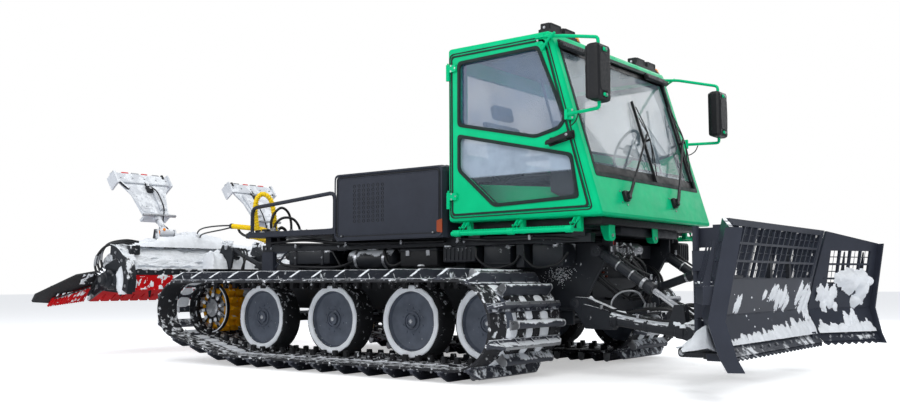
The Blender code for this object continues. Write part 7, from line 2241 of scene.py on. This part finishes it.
both(flap_trim, "flap_trim", "tiller_wing")


def setter_trim(maker):
    """A folded track setter's moulded ridges, reflectors, hinge block, foot bar and the arm's hose."""
    lean = -atan2(0.587, 0.81)
    plate = turned((-3.45, -0.84, 1.56), lean)
    tall = 0.617
    maker.slab([rounded([(-0.372, tall - 0.150), (0.372, tall - 0.150), (0.378, tall - 0.008),
                         (-0.378, tall - 0.008)], 0.02)], "x", 0.014,
               0.040, WHITE_PLASTIC, 0.006, plate)
    maker.slab([rounded([(-0.30, tall - 0.16), (-0.16, 0.04), (0.17, 0.03), (0.24, 0.30),
                         (0.33, tall - 0.16)], 0.03, 5)], "x", 0.014, 0.024,
               WHITE_PLASTIC, 0.004, plate)
    maker.slab([[(-0.245, tall - 0.20), (-0.135, 0.09), (-0.02, 0.09), (0.02, tall - 0.20)]], "x", 0.022,
               0.028, WHITE_PLASTIC, 0.005, plate)
    maker.slab([[(0.065, 0.07), (0.150, 0.07), (0.205, 0.30), (0.225, tall - 0.20), (0.065, tall - 0.20)]],
               "x", 0.022, 0.060, WHITE_PLASTIC,
               0.012, plate)
    for a, b, material in ((-0.25, -0.16, RED_CAP), (0.02, 0.10, RED_CAP), (-0.12, -0.02, STEEL),
                           (0.17, 0.26, STEEL)):
        maker.box((0.010, a, tall - 0.006), (0.034, b, tall + 0.012), material, 0.002, 1, plate)
    maker.box((0.000, 0.285, tall - 0.055), (0.048, 0.315, tall + 0.010), DARK_PRINT_AND_SHADE, 0.004, 1, plate)
    maker.box((0.000, -0.378, tall - 0.045), (0.048, -0.352, tall + 0.006), DARK_PRINT_AND_SHADE, 0.004, 1, plate)
    maker.slab([[(-0.378, tall - 0.09), (-0.366, tall - 0.07), (-0.235, tall - 0.245),
                 (-0.262, tall - 0.255)]], "x", 0.016, 0.046, BLACK_STEEL_SNOW,
               0.003, plate)
    maker.box((0.020, -0.010, 0.335), (0.066, 0.066, 0.420), BLACK_STEEL, 0.006, 1, plate)
    maker.rod(plate @ Vector((0.062, 0.028, 0.378)), plate @ Vector((0.078, 0.028, 0.378)), 0.020, STEEL,
              16, bevel=0.002)
    maker.box((0.022, 0.005, 0.420), (0.050, 0.050, 0.505), BLACK_STEEL_SNOW, 0.005, 1, plate)
    maker.box((0.030, -0.215, -0.034), (0.060, 0.235, -0.010), STEEL, 0.003, 1, plate)
    maker.box((0.012, -0.060, -0.030), (0.034, 0.060, 0.020), WHITE_PLASTIC, 0.004, 1, plate)
    for y in (-0.30, -0.14, 0.02, 0.18, 0.32):
        maker.rod(plate @ Vector((0.040, y, tall - 0.085)), plate @ Vector((0.046, y, tall - 0.085)), 0.010,
                  STEEL, 6)
    for y, z in ((-0.18, 0.26), (-0.10, 0.12), (0.12, 0.14), (0.17, 0.26)):
        maker.rod(plate @ Vector((0.020, y, z)), plate @ Vector((0.064 if y > 0 else 0.032, y, z)), 0.008,
                  STEEL, 6)
    maker.pipe([plate @ Vector((0.068, 0.030, 0.40)), plate @ Vector((0.090, 0.075, 0.32)),
                plate @ Vector((0.092, 0.085, 0.18)),
                plate @ Vector((0.080, 0.075, 0.04)), Vector((-3.375, -0.800, 1.475)),
                Vector((-3.300, -0.795, 1.420)),
                Vector((-3.245, -0.805, 1.385))], 0.0075, HOSE, 8, 8)
    arm = (Vector((-3.275, -0.84, 1.36)), Vector((-3.45, -0.84, 1.56)))
    for share in (0.30, 0.72):
        at = arm[0].lerp(arm[1], share)
        step = (arm[1] - arm[0]).normalized() * 0.012
        maker.rod(at - step, at + step, 0.040, STEEL, 20, bevel=0.003)
    maker.rod((-3.275, -0.945, 1.36), (-3.275, -0.928, 1.36), 0.030, AMBER, 20, bevel=0.004)
    maker.rod((-3.240, -0.88, 1.395), (-3.228, -0.88, 1.400), 0.017, AMBER, 16, bevel=0.003)


both(setter_trim, "setter_trim", "setter")


def rear_gear(maker):
    """Hitch plates, upper links and blocks between the tiller and the mast, with frost on their edges."""
    for y in (-0.235, 0.235):
        maker.slab([rounded([(-3.020, 0.94), (-2.83, 0.94), (-2.79, 1.10), (-2.845, 1.265), (-2.955, 1.275),
                             (-3.035, 1.12)], 0.03),
                    hole(ring((-2.895, 1.195), 0.026, 16))], "y", y - 0.014, y + 0.014, BLACK_STEEL_SNOW)
        maker.rod((-2.895, y - 0.034, 1.195), (-2.895, y + 0.034, 1.195), 0.025, STEEL, 20, bevel=0.003)
        maker.rod((-2.895, y * 0.86, 1.195), (-2.44, y * 0.60, 0.985), 0.026, BLACK_STEEL, 18)
        maker.rod((-2.445, y * 0.60 - 0.03, 0.985), (-2.445, y * 0.60 + 0.03, 0.985), 0.036, BLACK_STEEL,
                  20, bevel=0.003)
        maker.box((-2.50, min(0, y) * 0.72, 0.945), (-2.40, max(0, y) * 0.72, 0.975), BLACK_STEEL, 0.004)
    maker.box((-3.01, -0.25, 1.03), (-2.93, 0.25, 1.10), BLACK_STEEL_SNOW, 0.006)
    maker.box((-3.00, -0.165, 1.10), (-2.90, -0.035, 1.20), BLACK_STEEL, 0.010)
    for k in range(3):
        fitting(maker, (-2.898, -0.15 + 0.045 * k, 1.16), (1, 0, 0.25), 0.011, CHROME)
        maker.pipe([(-2.862, -0.15 + 0.045 * k, 1.170), (-2.78, -0.16 + 0.05 * k, 1.175),
                    (-2.66, -0.20 + 0.03 * k, 1.09),
                    (-2.60, -0.24, 0.95 + 0.03 * k), (-2.66, -0.26, 0.83)], 0.011, HOSE, 10, 8)
    dice = random.Random(37)
    for _ in range(44):
        at = (dice.uniform(-2.99, -2.82), dice.choice((-0.235, 0.235)) + dice.uniform(-0.012, 0.012),
              dice.uniform(1.22, 1.27))
        lump(maker, Matrix.Translation(at), (dice.uniform(0.008, 0.030), dice.uniform(0.008, 0.020)),
             -0.012, dice.uniform(0.004, 0.020), dice,
             rough=0.006, sides=8)


alone(rear_gear, "rear_gear", "rear_lift")


def rear_barrel_trim(maker):
    """Gland, cap, ports and a steel line along the tiller's lift cylinder."""
    base, eye_at = REAR_PINS
    for a, b, radius, material in ((0.055, 0.072, 0.0435, BLACK_STEEL), (0.452, 0.498, 0.045, BLACK_STEEL),
                                   (0.415, 0.436, 0.0445, STEEL)):
        maker.rod(along_line(base, eye_at, a), along_line(base, eye_at, b), radius, material, 32,
                  bevel=0.002)
    for distance in (0.09, 0.46):
        at = along_line(base, eye_at, distance) + Vector((0, -0.030, 0.028))
        maker.rod(at - Vector((0, -0.006, 0.006)), at + Vector((0, -0.014, 0.014)), 0.013, BLACK_STEEL, 14)
    maker.pipe([along_line(base, eye_at, 0.46) + Vector((0, -0.045, 0.045)),
                along_line(base, eye_at, 0.38) + Vector((0, -0.058, 0.040)),
                along_line(base, eye_at, 0.18) + Vector((0, -0.058, 0.040)),
                along_line(base, eye_at, 0.09) + Vector((0, -0.045, 0.045))],
               0.007, STEEL, 8, 6)


alone(rear_barrel_trim, "rear_barrel_trim", "rear_barrel")


def yellow_guards(maker):
    """Hoses in yellow spiral guards: a high loop over the deck's corner, two lengths behind its edge."""
    guards = (((-1.615, -0.885, 1.300), (-1.635, -0.895, 1.42), (-1.650, -0.900, 1.57),
               (-1.635, -0.885, 1.67), (-1.590, -0.850, 1.712),
               (-1.550, -0.800, 1.675), (-1.535, -0.765, 1.595), (-1.535, -0.735, 1.45),
               (-1.540, -0.715, 1.300)),
              ((-1.600, -0.745, 1.315), (-1.72, -0.760, 1.350), (-1.92, -0.745, 1.372),
               (-2.10, -0.725, 1.390), (-2.26, -0.705, 1.405)),
              ((-1.995, -0.700, 1.288), (-1.88, -0.690, 1.272), (-1.76, -0.675, 1.238),
               (-1.64, -0.660, 1.195), (-1.52, -0.640, 1.165)))
    for points in guards:
        spiral(maker, points, 0.027, HOSE_YELLOW, 0.030)
        for end, way in ((points[0], Vector(points[1]) - Vector(points[0])),
                         (points[-1], Vector(points[-2]) - Vector(points[-1]))):
            maker.rod(Vector(end) - way.normalized() * 0.012, Vector(end) + way.normalized() * 0.030, 0.030,
                      BLACK_STEEL, 18, bevel=0.003)
    maker.box((-1.66, -0.80, 1.2998), (-1.585, -0.69, 1.345), BLACK_STEEL, 0.004)
    maker.box((-1.55, -0.69, 1.155), (-1.49, -0.60, 1.245), BLACK_STEEL, 0.004)
    maker.pipe([(-1.995, -0.700, 1.288), (-2.06, -0.702, 1.300), (-2.12, -0.706, 1.335),
                (-2.14, -0.710, 1.368)], 0.014, HOSE, 10, 6)
    maker.pipe([(-1.59, -0.63, 1.3), (-1.585, -0.63, 1.345), (-1.57, -0.60, 1.365), (-1.55, -0.57, 1.345),
                (-1.545, -0.56, 1.3)], 0.016, HOSE, 10, 6)


alone(yellow_guards, "hose_guards", "chassis")


def link_hoses(maker):
    """Two thin hoses from the yellow guards to the tiller."""
    for points in (((-2.26, -0.715, 1.412), (-2.50, -0.665, 1.420), (-2.80, -0.585, 1.422),
                    (-3.05, -0.500, 1.412), (-3.20, -0.44, 1.375),
                    (-3.27, -0.41, 1.27)),
                   ((-2.26, -0.695, 1.395), (-2.50, -0.640, 1.378), (-2.80, -0.560, 1.366),
                    (-3.05, -0.480, 1.352), (-3.18, -0.42, 1.320),
                    (-3.25, -0.39, 1.22))):
        maker.pipe(points, 0.0085, HOSE, 8, 10)


links = alone(link_hoses, "link_hoses", None)
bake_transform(links)

# ---------------------------------------------------------------- seats

SEAT_Y = 0.52
VOXEL = 0.009
SEAM_HALF = 0.0055
PRESSURE = 4.0
CLOTH_FRAMES = 20
PIPING_R = 0.0032
PAD_CHANNEL = 0.135
PAD_TOP = 1.66
BACK_CHANNEL = 0.130
BACK_LEAN = 0.2282


def swollen(outline, half, name, cap, seams, lower=None):
    """A cushion of the outline, half wide to each side, blown up by cloth simulation.

    It is held along its sewn channels, moves by cap at most and stays above lower.
    Returns its points and faces.
    """
    maker = Maker()
    maker.slab([rounded(outline, 0.035, 4)], "y", -half, half, SEAT_CLOTH, 0.022)
    mesh = bpy.data.meshes.new(name)
    maker.bm.to_mesh(mesh)
    maker.bm.free()
    body = linked(name, mesh)
    step = body.modifiers.new("even", "REMESH")
    step.mode = "VOXEL"
    step.voxel_size = VOXEL
    even = bpy.data.meshes.new_from_object(body.evaluated_get(bpy.context.evaluated_depsgraph_get()))
    body.modifiers.clear()
    body.data = even
    rest = [v.co.copy() for v in even.vertices]
    held = body.vertex_groups.new(name="sewn")
    held.add([i for i, p in enumerate(rest) if any(abs(seam(p)) < SEAM_HALF for seam in seams)], 1.0,
             "REPLACE")
    cloth = body.modifiers.new("cloth", "CLOTH")
    cloth.settings.quality = 4
    cloth.settings.use_pressure = True
    cloth.settings.uniform_pressure_force = PRESSURE
    cloth.settings.effector_weights.gravity = 0.0
    cloth.settings.vertex_group_mass = "sewn"
    cloth.collision_settings.use_collision = False
    for number in range(1, CLOTH_FRAMES + 1):
        bpy.context.scene.frame_set(number)
    blown = bpy.data.meshes.new_from_object(body.evaluated_get(bpy.context.evaluated_depsgraph_get()))
    for i, (vertex, point) in enumerate(zip(even.vertices, blown.vertices)):
        move = point.co - rest[i]
        if move.length > cap:
            move *= cap / move.length
        place = rest[i] + move
        if lower is not None and place.z < lower:
            place.z = lower
        vertex.co = place
    body.modifiers.clear()
    body.vertex_groups.clear()
    bpy.data.meshes.remove(blown)
    bpy.context.scene.frame_set(1)
    points = [v.co.copy() for v in even.vertices]
    faces = [tuple(p.vertices) for p in even.polygons]
    bpy.data.objects.remove(body)
    return points, faces


def cushion(name, shape, shift, lines):
    """One padded piece from the simulated shape, with piping laid on its surface."""
    points, faces = shape
    mesh = bpy.data.meshes.new(name)
    mesh.from_pydata([p + Vector((0, shift, 0)) for p in points], [], faces)
    mesh.materials.append(SEAT_CLOTH)
    for polygon in mesh.polygons:
        polygon.use_smooth = True
    piece = linked(name, mesh)
    smooth = piece.modifiers.new("smooth", "SUBSURF")
    smooth.levels = 1
    smooth.render_levels = 1
    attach(piece, "chassis")
    skin = BVHTree.FromPolygons(points, faces)
    maker = Maker()
    for line in lines:
        laid = [skin.find_nearest(Vector(p))[0] + Vector((0, shift, 0)) for p in line]
        maker.pipe(laid, PIPING_R, SEAT_SIDE, 6, caps=False)
    maker.done(name + "_piping", "chassis")


def around(outline, y, count=60):
    """Points evenly along an outline at a y, closed."""
    corners = [Vector((a, y, b)) for a, b in outline] + [Vector((outline[0][0], y, outline[0][1]))]
    total = sum((b - a).length for a, b in zip(corners, corners[1:]))
    laid = []
    for a, b in zip(corners, corners[1:]):
        steps = max(2, round(count * (b - a).length / total))
        laid += [a.lerp(b, k / steps) for k in range(steps)]
    return laid + [corners[0]]


PAD = [(1.400, 1.618), (1.392, 1.672), (1.60, 1.684), (1.828, 1.690), (1.838, 1.640), (1.812, 1.618)]
BACK = [(1.318, 1.745), (1.405, 1.755), (1.308, 2.180), (1.222, 2.170)]
HEAD = [(1.214, 2.222), (1.292, 2.228), (1.262, 2.366), (1.186, 2.352)]


def seat_frame(maker, y):
    """Pedestal with its bellows, the seat's pan and back shells, armrests, buckle and headrest bars."""
    maker.box((1.29, y - 0.24, 1.3425), (1.73, y + 0.24, 1.372), BLACK_PLASTIC, 0.008, 2)
    for k in range(6):
        z = 1.372 + k * 0.028
        maker.slab([rounded([(1.325, y - 0.205), (1.695, y - 0.205), (1.695, y + 0.205),
                             (1.325, y + 0.205)], 0.04)], "z", z, z + 0.027, RUBBER, 0.010)
    maker.box((1.30, y - 0.23, 1.538), (1.77, y + 0.23, 1.572), BLACK_STEEL, 0.008)
    maker.slab([rounded([(1.285, 1.572), (1.76, 1.572), (1.852, 1.600), (1.850, 1.622), (1.40, 1.616),
                         (1.375, 1.66), (1.300, 1.66)], 0.012)], "y",
               y - 0.242, y + 0.242, BLACK_PLASTIC, 0.010)
    maker.slab([rounded([(1.290, 1.62), (1.325, 1.64), (1.215, 2.20), (1.172, 2.195)], 0.015)], "y",
               y - 0.225, y + 0.225, BLACK_PLASTIC, 0.012)
    for side in (-1, 1):
        maker.rod((1.332, y + side * 0.236, 1.645), (1.332, y + side * 0.248, 1.645), 0.045, BLACK_PLASTIC,
                  28, bevel=0.004)
        maker.rod((1.205, y + side * 0.055, 2.14), (1.222, y + side * 0.055, 2.26), 0.007, CHROME, 10)
        arm_y = y + side * 0.222
        rest = rounded([(1.30, 1.872), (1.64, 1.872), (1.655, 1.898), (1.62, 1.915), (1.30, 1.915)], 0.014)
        maker.slab([rest], "y", arm_y - 0.022, arm_y + 0.022, BLACK_PLASTIC, 0.009)
        maker.rod((1.315, arm_y, 1.885), (1.300, arm_y, 1.72), 0.015, BLACK_STEEL, 14)
    maker.box((1.45, y + 0.225, 1.60), (1.475, y + 0.238, 1.72), BLACK_PLASTIC, 0.004)
    maker.box((1.452, y + 0.222, 1.712), (1.473, y + 0.241, 1.735), RED_CAP, 0.003)
    maker.pipe([(1.76, y - 0.12, 1.585), (1.80, y - 0.12, 1.560), (1.835, y - 0.12, 1.565)], 0.006, STEEL,
               8, 5)
    maker.rod((1.828, y - 0.12, 1.565), (1.862, y - 0.12, 1.568), 0.010, BLACK_PLASTIC, 12, bevel=0.003)


def on_front(p):
    """Whether a point lies on the back cushion's front."""
    return p.x > 1.360 - (p.z - 1.75) * BACK_LEAN


def on_pad(seam, wide=9.0):
    """A sewn channel that is felt only on the pad's top, within wide of its middle."""
    return lambda p: seam(p) if p.z > PAD_TOP and abs(p.y) < wide else 9.0


def on_back(seam, wide=9.0):
    return lambda p: seam(p) if on_front(p) and abs(p.y) < wide else 9.0


def along_sides(outline, y, count=60):
    return [around(outline, side * y, count) for side in (-1, 1)]


pad_seams = [on_pad(lambda p: abs(p.y) - PAD_CHANNEL), on_pad(lambda p: p.x - 1.56, PAD_CHANNEL),
             on_pad(lambda p: p.x - 1.69, PAD_CHANNEL)]
back_seams = [on_back(lambda p: abs(p.y) - BACK_CHANNEL), on_back(lambda p: p.z - 1.90, BACK_CHANNEL),
              on_back(lambda p: p.z - 2.04, BACK_CHANNEL)]
pad_shape = swollen(PAD, 0.215, "pad", 0.022, pad_seams, 1.6175)
back_shape = swollen(BACK, 0.200, "back", 0.022, back_seams)
head_shape = swollen(HEAD, 0.140, "head", 0.014, [])
pad_lines = along_sides(PAD, 0.213)
pad_lines += [[(1.40 + 0.43 * k / 24, side * PAD_CHANNEL, 1.70) for k in range(25)] for side in (-1, 1)]
pad_lines += [[(x, -PAD_CHANNEL + 0.27 * k / 16, 1.70) for k in range(17)] for x in (1.56, 1.69)]
back_lines = along_sides(BACK, 0.198)
back_lines += [[(1.41 - 0.10 * k / 24, side * BACK_CHANNEL, 1.765 + 0.405 * k / 24) for k in range(25)]
               for side in (-1, 1)]
back_lines += [[(1.42 - (z - 1.755) * BACK_LEAN, -BACK_CHANNEL + 0.26 * k / 16, z) for k in range(17)]
               for z in (1.90, 2.04)]
head_lines = along_sides(HEAD, 0.138, 36)
for word, y in (("right", -SEAT_Y), ("left", SEAT_Y)):
    shell = alone(lambda maker: seat_frame(maker, y), "seat_frame_" + word, "chassis")
    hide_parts("seat_" + word)
    cushion("seat_pad_" + word, pad_shape, y, pad_lines)
    cushion("seat_back_" + word, back_shape, y, back_lines)
    cushion("seat_head_" + word, head_shape, y, head_lines)
